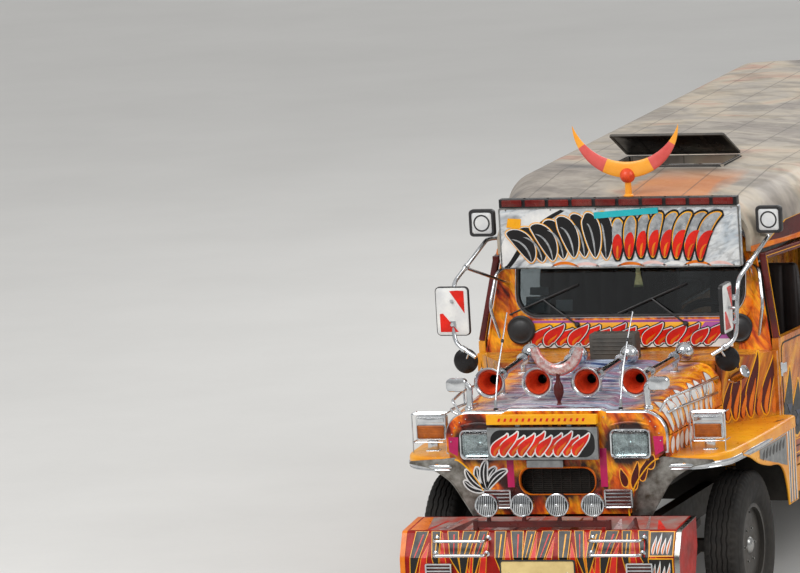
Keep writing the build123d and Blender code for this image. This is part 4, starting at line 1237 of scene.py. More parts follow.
@dataclass
class Nose:
    """Painted face with its mouth, bright edge, lamps, boards and the stainless panels beside it."""

    top: float = 1.178
    step: float = 0.013
    step_x: tuple[float, float] = (0.236, 0.285)
    half: float = 0.575
    corner: float = 0.120
    mouth: tuple[float, float, float, float] = (0.8195, 0.394, 0.135, 0.060)
    lamp: tuple[float, float, float, float] = (0.393, 1.008, 0.216, 0.157)
    marker: tuple[float, float, float, float] = (0.316, 0.7315, 0.147, 0.097)
    flank: Pairs = ((0.365, 0.652), (0.365, 0.700), (0.414, 0.815), (0.514, 0.926), (0.575, 0.970))

    def crown(self, steps: int = 12) -> np.ndarray:
        """Half of the face's upper edge, from its side to its middle, with a small step down.

        Args:
            steps: Points on the round corner.

        Returns:
            Pairs of x and z.
        """
        turn = np.linspace(0, math.pi / 2, steps)
        low = self.top - self.step
        arc = np.stack([self.half - self.corner + self.corner * np.cos(turn),
                        low - self.corner + self.corner * np.sin(turn)], -1)
        s = np.linspace(0, 1, 7)[:, None]
        ease = s * s * (3 - 2 * s)
        ledge = np.concatenate([self.step_x[1] + s * (self.step_x[0] - self.step_x[1]),
                                low + self.step * ease], 1)
        return np.concatenate([arc, ledge])

    def outline(self) -> np.ndarray:
        """Whole outline of the face."""
        right = np.concatenate([np.array(self.flank), self.crown()])
        return np.concatenate([right, right[::-1] * np.array([-1.0, 1.0])])

    def face(self) -> None:
        """Make the pressed face: a ring from the mouth to the outline, with a rolled lip and flange."""
        outline = self.outline()
        z, width, height, corner = self.mouth
        centre = np.array([0.0, z])
        aim = outline - centre
        turn = np.unique(np.round(np.concatenate([np.linspace(-math.pi, math.pi, 180, endpoint=False),
                                                  np.arctan2(aim[:, 1], aim[:, 0])]), 5))
        hole = rays(oblong(width, height, corner, 9) + centre, centre, turn)
        edge = rays(outline, centre, turn)
        steps = ((0.0, -0.026), (0.0, -0.006), (0.006, -0.001), (0.016, 0.0), (0.5, 0.0), (0.985, 0.0),
                 (0.997, -0.004), (1.0, -0.010), (1.0, -0.046), (0.985, -0.046), (0.982, -0.016),
                 (0.5, -0.012), (0.02, -0.012), (0.014, -0.026))
        make("face_panel", [hoop(hole, edge, steps, FACE)], "nose_flame_enamel",
            ["grille_shell"])
        lip = hoop(hole, edge, ((-0.004, -0.02), (-0.006, 0.003), (0.010, 0.006), (0.024, 0.002),
                                (0.022, -0.002), (0.004, -0.002)), FACE)
        make("mouth_lip", [lip], "orange_enamel")
        fins = [box((-0.33, 0.060, z_fin), (0.33, 0.0695, z_fin + 0.003), 0.001)
                for z_fin in spread(0.735, 0.895, 17)]
        columns = [box((x, 0.058, 0.72), (x + 0.004, 0.0698, 0.91), 0.001)
            for x in spread(-0.30, 0.296, 13)]
        make("radiator_core", fins + columns, "chassis_black_enamel")

    def trim(self) -> None:
        """Run the bright edge over the face: a flattened tube that follows the upper outline."""
        upper = np.concatenate([np.array([(self.half, 0.962), (self.half, 1.0)]), self.crown(16)])
        upper = upper - np.array([0.006, 0.002])
        run = np.concatenate([upper, upper[::-1] * np.array([-1.0, 1.0])])
        path = np.stack([run[:, 0], np.full(len(run), 0.026), run[:, 1]], -1)
        edge = tube(path, 0.021, 14, flat=0.62, facing=REARWARDS)
        studs = lathe((0, 0, 0), FORWARDS, ((-0.004, 0.004), (0.002, 0.004), (0.004, 0.0025)), 10)
        places = np.concatenate([upper[2:12:3], upper[14::4]]) - np.array([0.022, 0.020])
        at = np.stack([places[:, 0], np.full(len(places), -0.001), places[:, 1]], -1)
        screws = studs.copies(np.concatenate([at, at * np.array([-1, 1, 1])]))
        make("face_edge_trim", [edge, screws], "chrome_plate")

    def headlamps(self) -> None:
        """Make each headlamp: a bright bezel, a silvered bowl and a fluted lens over it."""
        x, z, width, height = self.lamp
        seat = Seat((x, 0.0, z))
        inner, outer = oblong(width - 0.030, height - 0.030, 0.022), oblong(width, height, 0.028)
        bezel = hoop(inner, outer, ((0.0, 0.004), (0.05, 0.013), (0.35, 0.018), (0.75, 0.016), (1.0, 0.006),
                                    (1.0, -0.004), (0.0, -0.004)), seat)
        bowl = boss(seat, (width - 0.028, height - 0.028, 0.022), ((0.0, 0.0), (0.0, 0.012), (0.006, 0.009),
            (0.022, 0.006), (0.045, 0.004), (0.062, 0.0035)))
        bulb = lathe((x, 0.004, z), FORWARDS, ((0.0, 0.016), (0.006, 0.015), (0.011, 0.009),
            (0.012, 0.003)), 24)
        lens_shape = (width - 0.029, height - 0.029, 0.022)
        lens = boss(seat, lens_shape, ((0.0, 0.0105), (0.0, 0.0125), (0.004, 0.0145), (0.02, 0.0165),
                                       (0.05, 0.0178), (0.06, 0.0180)))
        flute = box((-0.0012, -0.0172, z - height / 2 + 0.026), (0.0012, -0.0150, z + height / 2 - 0.026),
            0.0008)
        flutes = flute.copies([(x + step, 0, 0) for step in spread(-0.080, 0.080, 17)])
        make("headlamp_bezels", both([bezel]), "chrome_plate")
        make("headlamp_bowls", both([bowl, bulb]), "silvered_reflector")
        make("headlamp_lenses", both([lens, flutes]), "clear_glass", ["headlamps"])
        lid = tube(np.stack([x + spread(-0.098, 0.098, 25), np.full(25, -0.004),
                             z + 0.094 + 0.016 * (1 - (spread(-1, 1, 25)) ** 2)], -1), 0.008, 10, 0.8)
        make("headlamp_brows", both([lid]), "nose_flame_enamel")

    def louvred(self, seat: Seat, width: float, height: float, bars: int, deep: float) -> list[Shell]:
        """Make a lamp behind bars: a bright frame with level bars over a dark red lens.

        Args:
            seat: Where its back stands.
            width: Size across.
            height: Size upwards.
            bars: How many bars cross it.
            deep: How far it stands out.

        Returns:
            Frame and bars with finish nought, lens with finish one.
        """
        rim = min(width, height) * 0.09
        frame_ring = hoop(oblong(width - 2 * rim, height - 2 * rim, 0.004), oblong(width, height, 0.008),
                          ((0.0, 0.0), (0.0, deep - 0.002), (0.3, deep), (0.8, deep), (1.0, deep - 0.003),
                           (1.0, 0.0)), seat)
        parts = [frame_ring, boss(seat, (width - rim, height - rim, 0.004),
                                  ((0.0, 0.0), (0.0, deep * 0.35), (0.002, deep * 0.4))).painted(1)]
        pitch = (height - 2 * rim) / (bars + 0.4)
        right, up = np.array(seat.right), np.array(seat.up)
        out = np.cross(right, up)
        for k in range(bars):
            level = -height / 2 + rim + pitch * (k + 0.7)
            line = [np.array(seat.origin) + right * side * (width / 2 - rim * 0.6) + up * level + out * deep
                * 0.72 for side in (-1, 1)]
            parts.append(tube(np.linspace(line[0], line[1], 3), pitch * 0.28, 8, 0.7, facing=tuple(up)))
        return parts

    def markers(self) -> None:
        """Make the louvred lamps on the face."""
        x, z, width, height = self.marker
        seat = Seat((x, 0.0, z))
        parts = both(self.louvred(seat, width, height, 4, 0.022))
        make("face_marker_lamps", parts, ("chrome_plate", "garnet_lens"))

    def boards(self) -> None:
        """Make the two boards on the face, with their brackets and painted strokes."""
        board, strip = Seat((-0.055, -0.018, 1.0175)), Seat((-0.055, -0.018, 1.1385))
        sheet = boss(board, (0.577, 0.165, 0.004), ((0.0, 0.0), (0.0, 0.024), (0.0012, 0.026)), 3)
        lower = boss(Seat((-0.055, -0.004, 0.9115)), (0.19, 0.037, 0.003),
            ((0.0, 0.0), (0.0, 0.021), (0.001, 0.022)))
        arms = [box((x - 0.012, -0.019, 0.95), (x + 0.012, 0.001, 1.15)) for x in (-0.19, 0.08)]
        rivet = lathe((0, -0.0435, 0), FORWARDS, ((0, 0.004), (0.0025, 0.003)), 10)
        rivets = rivet.copies([(x, 0, z) for x in (-0.33, 0.22) for z in (0.945, 1.09)])
        make("face_board", [sheet, lower, *arms, rivets], "galvanised_sheet", ["face_signs"])
        make("face_strip", [boss(strip, (0.576, 0.049, 0.003), ((0.0, 0.0), (0.0, 0.028), (0.0012, 0.030)),
            3)], "yellow_enamel")
        place = Seat((-0.055, -0.044, 1.0175))
        cloud = boss(place, (0.545, 0.140, 0.055), ((0.0, -0.0004), (0.0, 0.0004)), 8).painted(2)
        count = 10
        feet = row(-0.250, 0.175, count, -0.062)
        tall = 0.112 + 0.012 * np.sin(np.arange(count) * 2.1)
        strokes = [cloud, *tongues(place, feet, tall, 0.62, 0.046, ((0.0055, 4), (0.0, 0)), 0.0010),
                   *tongues(place, feet, tall * 0.62, 0.62, 0.014, ((0.0, 1),), 0.0040)]
        make("face_board_strokes", strokes, ("scarlet_enamel", "orange_enamel", "black_enamel",
            "teal_enamel", "white_enamel"))
        strip_face = Seat((-0.055, -0.048, 1.1385))
        dashes = [patch(strip_face, ((x - 0.009, -0.008), (x + 0.003, -0.008), (x + 0.009, 0.008),
            (x - 0.003, 0.008)), 0.0006) for x in np.linspace(-0.22, 0.22, 15)]
        make("face_strip_dashes", dashes, "scarlet_enamel")

    def flanks(self) -> None:
        """Make the stainless panels from the face to the wheel openings.

        A panel is a ruled sheet between the face's flank and the smooth line of the wheel opening. It
        bends rearwards where it reaches under the fender."""
        inside = smooth(((0.366, 0.637), (0.366, 0.694), (0.412, 0.812), (0.512, 0.924), (0.62, 0.926),
                         (0.790, 0.912)), 40)
        outside = smooth(((0.466, 0.637), (0.512, 0.713), (0.580, 0.814), (0.677, 0.876), (0.745, 0.893),
                          (0.798, 0.902)), 40)
        across = np.linspace(0, 1, 6)[None, :, None]
        flat = inside[:, None] * (1 - across) + outside[:, None] * across
        deep = 0.046 + 0.030 * np.clip((flat[..., 0] - 0.56) / 0.24, 0, 1) ** 2 + 0.004 * across[..., 0]
        sheet = thick(np.stack([flat[..., 0], deep, flat[..., 1]], -1), 0.003)
        lip = tube(np.stack([outside[:, 0], 0.052 + 0.030 * np.clip(
            (outside[:, 0] - 0.56) / 0.24, 0, 1) ** 2, outside[:, 1]], -1), 0.0045, 8)
        rivet = lathe((0, 0.046, 0), FORWARDS, ((0, 0.005), (0.003, 0.0035)), 10)
        rivets = rivet.copies([(x, 0, z) for x, z in ((0.385, 0.665), (0.40, 0.74), (0.455, 0.835),
            (0.53, 0.905))])
        make("arch_sheets", both([sheet, lip, rivets]), "scuffed_sheet", ["arch_panels"])
        bead = tube(np.stack([inside[:26, 0], np.full(26, -0.001), inside[:26, 1]], -1), 0.004, 8)
        make("flank_beads", both([bead]), "yellow_enamel")

    def paint(self) -> None:
        """Paint the face: upright stripes beside the lamps, dark tongues and a fan of black leaves."""
        parts = []
        for s in (-1, 1):
            for corners in (((s * 0.262, 0.79), (s * 0.226, 0.79), (s * 0.226, 0.985), (s * 0.262, 0.985)),
                    ((s * 0.516, 0.948), (s * 0.560, 0.972), (s * 0.560, 1.045), (s * 0.508, 1.045))):
                parts.append(patch(FACE, corners, 0.0006).painted(0))
        parts += tongues(FACE, ((0.400, 0.775), (0.445, 0.820), (0.350, 0.790), (0.490, 0.880)),
                         (0.14, 0.11, 0.09, 0.07), (0.15, 0.25, -0.2, 0.2), 0.036, ((0.004, 5), (0.0, 1)))
        root = np.array([-0.372, 0.776])
        for k, degrees in enumerate((158, 135, 112, 89, 66, 43)):
            aim = np.array([math.cos(math.radians(degrees)), math.sin(math.radians(degrees))])
            bend = np.array([-aim[1], aim[0]]) * 0.030
            long = 0.125 + 0.022 * (k % 2)
            spine = [tuple(root), tuple(root + aim * long * 0.55 + bend), tuple(root + aim * long)]
            level = 0.0012 + 0.0020 * (k % 2)
            for j, (grow, width, tint) in enumerate(((0.0065, 0.034, 2), (0.0, 0.034, 3), (0.0, 0.006, 2))):
                parts.append(swash(FACE, spine, width, 0.55, level + 0.0005 * j, grow).painted(tint))
        parts += tongues(FACE, row(-0.20, 0.20, 9, 1.088), [0.040, 0.052, 0.044] * 3, 0.5, 0.030,
                         ((0.0, 1),), 0.0005)
        make("face_figures", parts, ("magenta_enamel", "oxblood_enamel", "white_enamel", "black_enamel",
            "scarlet_enamel", "saffron_enamel"))

    def build(self) -> None:
        """Make the whole nose."""
        self.face()
        self.trim()
        self.headlamps()
        self.markers()
        self.boards()
        self.flanks()
        self.paint()


@dataclass
class Bumper:
    """Deep painted steel box with end strips, rub rails, barred lamps, a plate and four round lamps."""

    half: float = 0.723
    section: Pairs = ((-0.050, 0.650), (-0.318, 0.625), (-0.385, 0.500), (-0.385, 0.360), (-0.300, 0.250))
    wall: float = 0.006
    round_x: tuple[float, ...] = (-0.276, -0.092, 0.092, 0.276)

    def face_at(self) -> Seat:
        """The upright face as a place to paint on."""
        return Seat((0.0, -0.385, 0.430))

    def slope_at(self) -> Seat:
        """The leaning face above it as a place to paint on."""
        return Seat((0.0, -0.3515, 0.5625), up=(0.0, 0.067, 0.125))

    def box_section(self) -> None:
        """Fold the box: its section, rounded at the folds, is carried across the vehicle."""
        line = rounded(self.section, 0.016, 6)
        run = np.linspace(-self.half, self.half, 9)
        grid = np.stack(np.broadcast_arrays(run[:, None], line[None, :, 0], line[None, :, 1]), -1)
        ends = []
        for s in (-1, 1):
            outline = np.concatenate([line, [(-0.160, 0.250), (-0.050, 0.500)]])
            rings = np.stack([np.stack([np.full(len(outline), s * (self.half - k)), outline[:, 0],
                outline[:, 1]], -1) for k in (0.0, 0.006)])
            ends.append(capped(rings))
        make("bumper_box", [thick(grid, self.wall), thick(grid, -self.wall * 0.02), *ends],
            "bumper_red_enamel", ["front_bumper"])

    def strips(self) -> None:
        """Fold a strip over each end: stainless on the vehicle's left, painted on its right."""
        line = rounded(self.section, 0.016, 6)
        rise, run = 0.0025, np.array([0.700, 0.7265])
        lift = np.stack([line[:, 0] - rise * 0.8, line[:, 1] + rise * 0.4], -1)
        grid = np.stack(np.broadcast_arrays(run[:, None], lift[None, :, 0], lift[None, :, 1]), -1)
        strip = thick(grid, 0.003)
        make("bumper_end_strips", [strip], "stainless_sheet")
        make("bumper_end_strips_right", [strip.mirrored()], "orange_enamel")

    def paint(self) -> None:
        """Paint the face: tall black teeth edged in yellow, with red spears that rise between them."""
        face, slope = self.face_at(), self.slope_at()
        deck = Seat((0.0, -0.184, 0.6377), up=(0.0, 0.268, 0.025))
        tints = ("yellow_enamel", "black_enamel", "white_enamel", "orange_enamel", "oxblood_enamel",
                 "worn_red_enamel", "scarlet_enamel", "worn_plate")
        parts = [patch(deck, ((-0.690, -0.118), (0.690, -0.118), (0.690, 0.126), (-0.690, 0.126)),
            0.0008).painted(5),
            patch(deck, ((-0.690, -0.118), (-0.600, -0.118), (-0.640, 0.120), (-0.690, 0.120)),
            0.0014).painted(3)]
        for k, x in enumerate(np.linspace(-0.60, 0.62, 17)):
            reach = 0.05 + 0.08 * ((k * 5) % 4) / 3
            wide = 0.010 + 0.013 * (k % 3)
            ray = ((x - wide, -0.118), (x + wide, -0.118), (x * 0.9 + 0.004, reach),
                (x * 0.9 - 0.004, reach))
            parts.append(patch(deck, ray, 0.0014 + 0.0006 * (k % 2)).painted((6, 7, 4, 7)[k % 4]))
        fold, top, foot = 0.0705, 0.068, -0.066
        for k, x in enumerate(np.linspace(-0.650, 0.505, 15)):
            lean = (-0.020, 0.012, 0.024, -0.010)[k % 4]
            wide = (0.060, 0.042, 0.052)[k % 3]
            at, tip, low = x + lean, x + 2.2 * lean, foot + 0.030 * (k % 3)
            high = 0.006 + 0.056 * ((k * 2) % 3) / 2
            step = 0.0004 * (k % 2)
            for j, (edge, finish) in enumerate(((0.0030, 0), (0.0, 6))):
                mid, rise = at + wide + 0.010, 0.0006 + 0.0006 * j + step
                spear = ((mid - 0.013 - edge, -fold), (mid + 0.013 + edge, -fold),
                    (mid - lean + 0.001, high + edge), (mid - lean - 0.001, high + edge))
                stem = ((mid + lean - 0.020 - edge, foot), (mid + lean + 0.020 + edge, foot),
                    (mid + 0.013 + edge, fold), (mid - 0.013 - edge, fold))
                parts += [patch(slope, spear, rise).painted(finish),
                    patch(face, stem, rise).painted(finish)]
            for edge, finish, rise in ((0.0042, 0, 0.0030), (0.0, 1, 0.0038)):
                tooth = ((at - edge, -fold), (at + 0.72 * wide + edge, -fold),
                    (x + wide + edge, top + edge / 2), (x - edge, top + edge / 2))
                point = ((tip + 0.3 * wide - edge, low - 2 * edge),
                    (tip + 0.4 * wide + edge, low - 2 * edge), (at + 0.72 * wide + edge, fold),
                    (at - edge, fold))
                parts += [patch(slope, tooth, rise + step).painted(finish),
                    patch(face, point, rise + step).painted(finish)]
            gleam = ((at + 0.30 * wide, -fold), (at + 0.38 * wide, -fold), (x + 0.70 * wide, 0.052),
                (x + 0.56 * wide, 0.052))
            parts.append(patch(slope, gleam, 0.0048 + step).painted((6, 0)[k % 2]))
        for place, low, high in ((slope, -0.062, 0.060), (face, -0.062, 0.062)):
            panel = ((0.575, low), (0.690, low), (0.690, high), (0.570, high))
            parts += [patch(place, panel, 0.0070, 0.005).painted(0), patch(place, panel, 0.0076).painted(1)]
            parts += tongues(place, row(0.590, 0.665, 4, low + 0.004), (0.10, 0.115, 0.09, 0.105), 0.12,
                0.018, CORE, 0.0082)
            parts += tongues(place, row(0.590, 0.665, 4, low + 0.004), (0.08, 0.09, 0.07, 0.085), 0.12,
                0.008, ((0.0, 3),), 0.0094)
        make("bumper_figures", parts, tints)

    def rails(self) -> None:
        """Bend the rub rails: each turns back into the bumper at both ends."""
        parts = []
        for z, face_y, bar_y in ((0.520, -0.378, -0.433), (0.590, -0.338, -0.418)):
            route = rounded(((0.272, face_y, z), (0.272, bar_y, z), (0.538, bar_y, z), (0.538, face_y, z)),
                0.022)
            parts.append(tube(route, 0.0080, 14))
            for x in (0.272, 0.538):
                parts.append(lathe((x, face_y + 0.004, z), FORWARDS,
                    ((0, 0.015), (0.005, 0.015), (0.008, 0.010)), 20))
        make("bumper_rails", both(parts), "chrome_plate", ["rub_rails"])

    def lamps(self) -> None:
        """Make the barred lamps on the face and the four round lamps on their bar."""
        barred = both(Nose().louvred(Seat((0.522, -0.385, 0.428)), 0.140, 0.096, 4, 0.022))
        make("bumper_marker_lamps", barred, ("chrome_plate", "garnet_lens"))
        bar = [box((-0.355, -0.310, 0.640), (0.355, -0.286, 0.672), 0.003)]
        posts = [box((x - 0.012, -0.312, 0.620), (x + 0.012, -0.284, 0.676), 0.003)
            for x in (-0.345, 0.345)]
        stems = [lathe((x, -0.298, 0.668), UPWARDS, ((0, 0.012), (0.014, 0.011), (0.04, 0.009)), 14)
                 for x in self.round_x]
        make("round_lamp_bar", bar + posts + stems, "oxblood_enamel")
        rim = ((-0.035, 0.028), (-0.028, 0.044), (-0.012, 0.055), (0.012, 0.058), (0.026, 0.061),
            (0.033, 0.0595), (0.036, 0.055), (0.032, 0.0505), (0.024, 0.050))
        shells = []
        for x in self.round_x:
            centre = (x, -0.300, 0.755)
            shells.append(lathe(centre, FORWARDS, rim, 40))
            shells.append(lathe((x, -0.322, 0.755), FORWARDS, ((0, 0.050), (0.004, 0.050), (0.009, 0.03),
                (0.011, 0.01)), 32).painted(1))
            for step in np.linspace(-0.040, 0.040, 9):
                reach = math.sqrt(0.051 ** 2 - step ** 2)
                t = np.linspace(-1, 1, 9)
                bulge = 0.012 * (1 - (t * reach) ** 2 / 0.051 ** 2) - 0.010 * (step / 0.051) ** 2
                path = np.stack([np.full(9, x + step), -0.330 - bulge * 0.8, 0.755 + t * reach], -1)
                shells.append(tube(path, 0.0034, 8, 0.6, facing=LEFTWARDS))
            shells.append(lathe((x, -0.336, 0.755), FORWARDS, ((0, 0.009), (0.005, 0.008), (0.008, 0.004)),
                16))
        make("round_lamp_shells", shells, ("chrome_plate", "black_enamel"), ["round_lamps"])

    def plate(self) -> None:
        """Make the blank number plate in its black frame."""
        seat = Seat((0.0, -0.415, 0.425))
        sheet = boss(seat, (0.384, 0.134, 0.010), ((0.0, 0.0), (0.0, 0.003), (0.0008, 0.0038)))
        bead = hoop(oblong(0.372, 0.122, 0.008), oblong(0.378, 0.128, 0.010),
            ((0, 0.003), (0.3, 0.0052), (0.7, 0.0052), (1, 0.003)), seat)
        rim = hoop(oblong(0.378, 0.128, 0.010), oblong(0.392, 0.142, 0.012),
            ((0, 0.0), (0, 0.006), (0.4, 0.007), (1, 0.006), (1, -0.002), (0, -0.002)), seat)
        back = box((-0.160, -0.415, 0.370), (0.160, -0.386, 0.480), 0.003)
        bolt = lathe((0, -0.4185, 0.425), FORWARDS, ((0, 0.008), (0.003, 0.008), (0.0048, 0.006)), 6)
        bolts = bolt.copies([(-0.15, 0, 0), (0.15, 0, 0)])
        rear = Seat((0.0, 6.475, 0.630), right=RIGHTWARDS)
        rear_sheet = boss(rear, (0.384, 0.134, 0.010), ((0.0, 0.0), (0.0, 0.004), (0.0008, 0.005)))
        rear_rim = hoop(oblong(0.378, 0.128, 0.010), oblong(0.392, 0.142, 0.012),
            ((0, 0.0), (0, 0.006), (0.4, 0.006), (1, 0.005), (1, 0.0), (0, 0.0)), rear)
        make("plate_blanks", [sheet, bead, rear_sheet, rim.painted(1), back.painted(1), rear_rim.painted(1),
            bolts.painted(2)], ("pale_plate_enamel", "moulded_black_plastic", "chrome_plate"),
            ["number_plates"])

    def build(self) -> None:
        """Make the bumper and what stands on it."""
        self.box_section()
        self.strips()
        self.paint()
        self.rails()
        self.lamps()
        self.plate()


@dataclass(frozen=True)
class HoodSide:
    """The hood's flank as a place to paint on: along is y, up is the way over its shoulder."""

    foot: float = 0.93
    side: float = 1.0

    def lay(self, flat: np.ndarray, lift: float | np.ndarray = 0.0) -> np.ndarray:
        """Put flat points onto the flank and round the shoulder.

        Args:
            flat: Pairs of y and length over the flank from its foot.
            lift: How far they stand proud.

        Returns:
            Points in space.
        """
        y, up = flat[..., 0], flat[..., 1]
        half, low = Hood.half_at(y), Hood.top_at(y) - Hood.STEP
        straight = low - Hood.CORNER - self.foot
        turn = np.maximum(up - straight, 0) / Hood.CORNER
        reach = Hood.CORNER + lift
        x = half - Hood.CORNER + reach * np.cos(turn)
        z = self.foot + np.minimum(up, straight) + reach * np.sin(turn)
        return np.stack([self.side * x, y, z], -1)


class Hood:
    """Rounded hood with its stepped middle, side rails, trumpets, ornament, elbows and whip aerials."""

    CORNER = 0.120
    STEP = 0.013
    LEDGE = (0.236, 0.285)
    FRONT, REAR = 0.054, 0.990
    FOOT = 1.040
    HALF, FLARE = 0.576, 0.009
    TOP, RISE = 1.1780, 0.0909
    FACE_LEAN, LEAN_FROM = 0.024 / 0.145, 1.190

    @staticmethod
    def half_at(y: np.ndarray) -> np.ndarray:
        """Half width at a distance behind the face."""
        return Hood.HALF + Hood.FLARE * (np.asarray(y) - Hood.FRONT) / (Hood.REAR - Hood.FRONT)

    @staticmethod
    def top_at(y: np.ndarray) -> np.ndarray:
        """Height of its middle at a distance behind the face."""
        return Hood.TOP + Hood.RISE * np.asarray(y)

    def over(self, y: np.ndarray, inset: float) -> np.ndarray:
        """Half of the section, from the foot to the middle, for many sections at once.

        Args:
            y: Distances behind the face.
            inset: How far inside the outer surface.

        Returns:
            Rows of points.
        """
        y = np.asarray(y, float)[:, None]
        half, low = self.half_at(y) - inset, self.top_at(y) - self.STEP - inset
        corner = self.CORNER - inset
        s = np.linspace(0, 1, 4)[None, :]
        side = np.stack([half + 0 * s, self.FOOT + s * (low - corner - self.FOOT)], -1)
        turn = np.linspace(0, math.pi / 2, 13)[None, 1:]
        arc = np.stack([half - corner + corner * np.cos(turn), low - corner + corner * np.sin(turn)], -1)
        t = np.linspace(0, 1, 9)[None, :]
        first, last = self.LEDGE
        ledge = np.stack([last - (last - first) * t + 0 * low, low + self.STEP * t * t * (3 - 2 * t)], -1)
        u = np.linspace(1, 0, 6)[None, 1:]
        middle = np.stack([first * u + 0 * low, low + self.STEP + 0.005 * (1 - u * u)], -1)
        return np.concatenate([side, arc, ledge, middle], axis=1)

    def grid(self, inset: float) -> np.ndarray:
        """Whole surface: sections from the front edge, which leans, to the rear edge.

        Args:
            inset: How far inside the outer surface.

        Returns:
            Rows of points from the left foot to the right foot.
        """
        v = np.linspace(0, 1, 25)
        half = self.over(self.FRONT + v * (self.REAR - self.FRONT), inset)
        front = self.FRONT + np.clip(self.LEAN_FROM - half[..., 1], 0, None) * self.FACE_LEAN
        y = front * (1 - v[:, None]) + self.REAR * v[:, None]
        left = np.stack([half[..., 0], y, half[..., 1]], -1)
        right = left[:, ::-1] * np.array([-1.0, 1.0, 1.0])
        return np.concatenate([left, right[:, 1:]], axis=1)

    def cover(self) -> None:
        """Make the hood's pressed cover with a rolled rear bead."""
        shell = slab(self.grid(0.0), self.grid(0.004))
        inner = self.grid(0.010)
        bead = tube(inner[-1, 4:-4] + np.array([0, -0.012, 0.006]), 0.008, 10)
        brace = [tube(inner[k, 6:-6] - np.array([0, 0, 0.012]), 0.014, 8, 0.5) for k in (6, 18)]
        make("hood_cover", [shell, bead, *brace], "hood_stroke_enamel", ["hood"],
            body=Body.HOOD)

    def figures(self) -> None:
        """Paint white tongues with orange and dark edges, swept back, on the flank and the panel below."""
        upper, lower = [], []
        coats = ((0.0095, 1), (0.0032, 2), (0.0, 0))
        for s in (1.0, -1.0):
            place = HoodSide(side=s)
            count = 9
            tall = 0.178 + 0.018 * np.cos(np.arange(count) * 2.3)
            upper += tongues(place, row(0.130, 0.800, count, 0.118), tall, 0.36, 0.078, coats, 0.0006,
                             FLAME_WAY, 0.5)
            upper += tongues(place, row(0.148, 0.818, count, 0.140), tall * 0.55, 0.36, 0.014, ((0.0, 3),),
                             0.0052)
            lower += tongues(place, row(0.100, 0.880, 11, 0.012), 0.082, 0.30, 0.056, coats, 0.0006,
                             FLAME_WAY, 0.5)
        tints = ("white_enamel", "orange_enamel", "oxblood_enamel", "saffron_enamel")
        make("hood_flank_figures", upper, tints, body=Body.HOOD)
        make("engine_side_figures", lower, tints)

    def rails(self) -> None:
        """Bend two zigzag rails along each of the hood's shoulders."""
        parts = []
        for points in (((0.520, 0.095, 1.150), (0.560, 0.095, 1.215), (0.598, 0.400, 1.215),
                (0.598, 0.900, 1.196), (0.575, 0.930, 1.150)),
                ((0.530, 0.130, 1.130), (0.592, 0.150, 1.160), (0.598, 0.880, 1.120),
                (0.572, 0.900, 1.110))):
            parts.append(tube(rounded(points, 0.028, 6), 0.0075, 12))
        for y, z in ((0.400, 1.215), (0.700, 1.204)):
            parts.append(tube(np.array([(0.566, y, z - 0.085), (0.592, y, z - 0.060), (0.597, y, z)]),
                0.006, 10))
        make("hood_rails", both(parts), "chrome_plate", body=Body.HOOD)

    def trumpets(self) -> None:
        """Turn the four trumpets, each with its ring, a red throat with painted shade deep inside, straps
        and a ball behind it.
        """
        shells = []
        for mouth_x, ball_x, ball_y in ((-0.379, -0.407, 0.976), (-0.128, -0.136, 0.910),
                (0.128, 0.136, 0.910), (0.379, 0.407, 0.976)):
            mouth = np.array([mouth_x, 0.150, 1.294])
            ball = np.array([ball_x, ball_y, 1.315])
            run = ball - mouth
            long = float(np.linalg.norm(run))
            s = np.linspace(0, 1, 26)[1:]
            bell = [(0.012 + (long - 0.06) * v, 0.016 + 0.058 * math.exp(-11 * v) + 0.006 * (1 - v))
                for v in s]
            throat = [(0.012 + 0.150 * v, 0.014 + 0.045 * (1 - v) ** 1.5) for v in np.linspace(1, 0, 14)]
            rim = [(0.010, 0.0765), (0.003, 0.0790), (-0.003, 0.0775), (-0.004, 0.0730), (0.000, 0.0680),
                   (0.006, 0.0625)]
            shells.append(lathe(mouth, run, bell[::-1] + rim + throat[::-1], 44))
            liner = [(a - 0.0012, r - 0.0012) for a, r in throat]
            core = [(a + 0.0004, r - 0.0002) for a, r in throat[::-1]]
            sleeve = lathe(mouth, run, liner + core, 44)
            depth = np.array([a for a, r in [liner[0], *liner, *core]])
            # Deep in each throat the sleeve turns black: painted shade of the trumpet's depth.
            sleeve.finish = np.repeat(np.where(depth > 0.108, 2, 1), 44)
            shells.append(sleeve)
            dome = [(0.046 * math.sin(v) - 0.004 * (abs(v) < 0.2), 0.046 * math.cos(v) + 0.003
                * (abs(v) < 0.12)) for v in np.linspace(-1.5, 1.5, 27)]
            shells.append(lathe(ball, run, dome, 36))
            shells.append(lathe(ball, -run, ((0.040, 0.016), (0.052, 0.016), (0.056, 0.020),
                (0.060, 0.018)), 24))
            for share in (0.30, 0.80):
                at = mouth + share * run
                foot = float(Hood.top_at(at[1])) - (0.013 if abs(at[0]) > 0.26 else 0.0) - 0.004
                strap = lathe(at, run, ((-0.012, 0.026), (-0.012, 0.031), (0.012, 0.031), (0.012, 0.026)),
                    28)
                leg = box((at[0] - 0.012, at[1] - 0.010, foot),
                    (at[0] + 0.012, at[1] + 0.010, at[2] - 0.018), 0.002)
                pad = box((at[0] - 0.026, at[1] - 0.016, foot),
                    (at[0] + 0.026, at[1] + 0.016, foot + 0.007), 0.002)
                shells += [strap, leg, pad]
        make("trumpet_set", shells, ("chrome_plate", "vermilion_enamel", "black_enamel"),
            ["trumpets"], body=Body.HOOD)

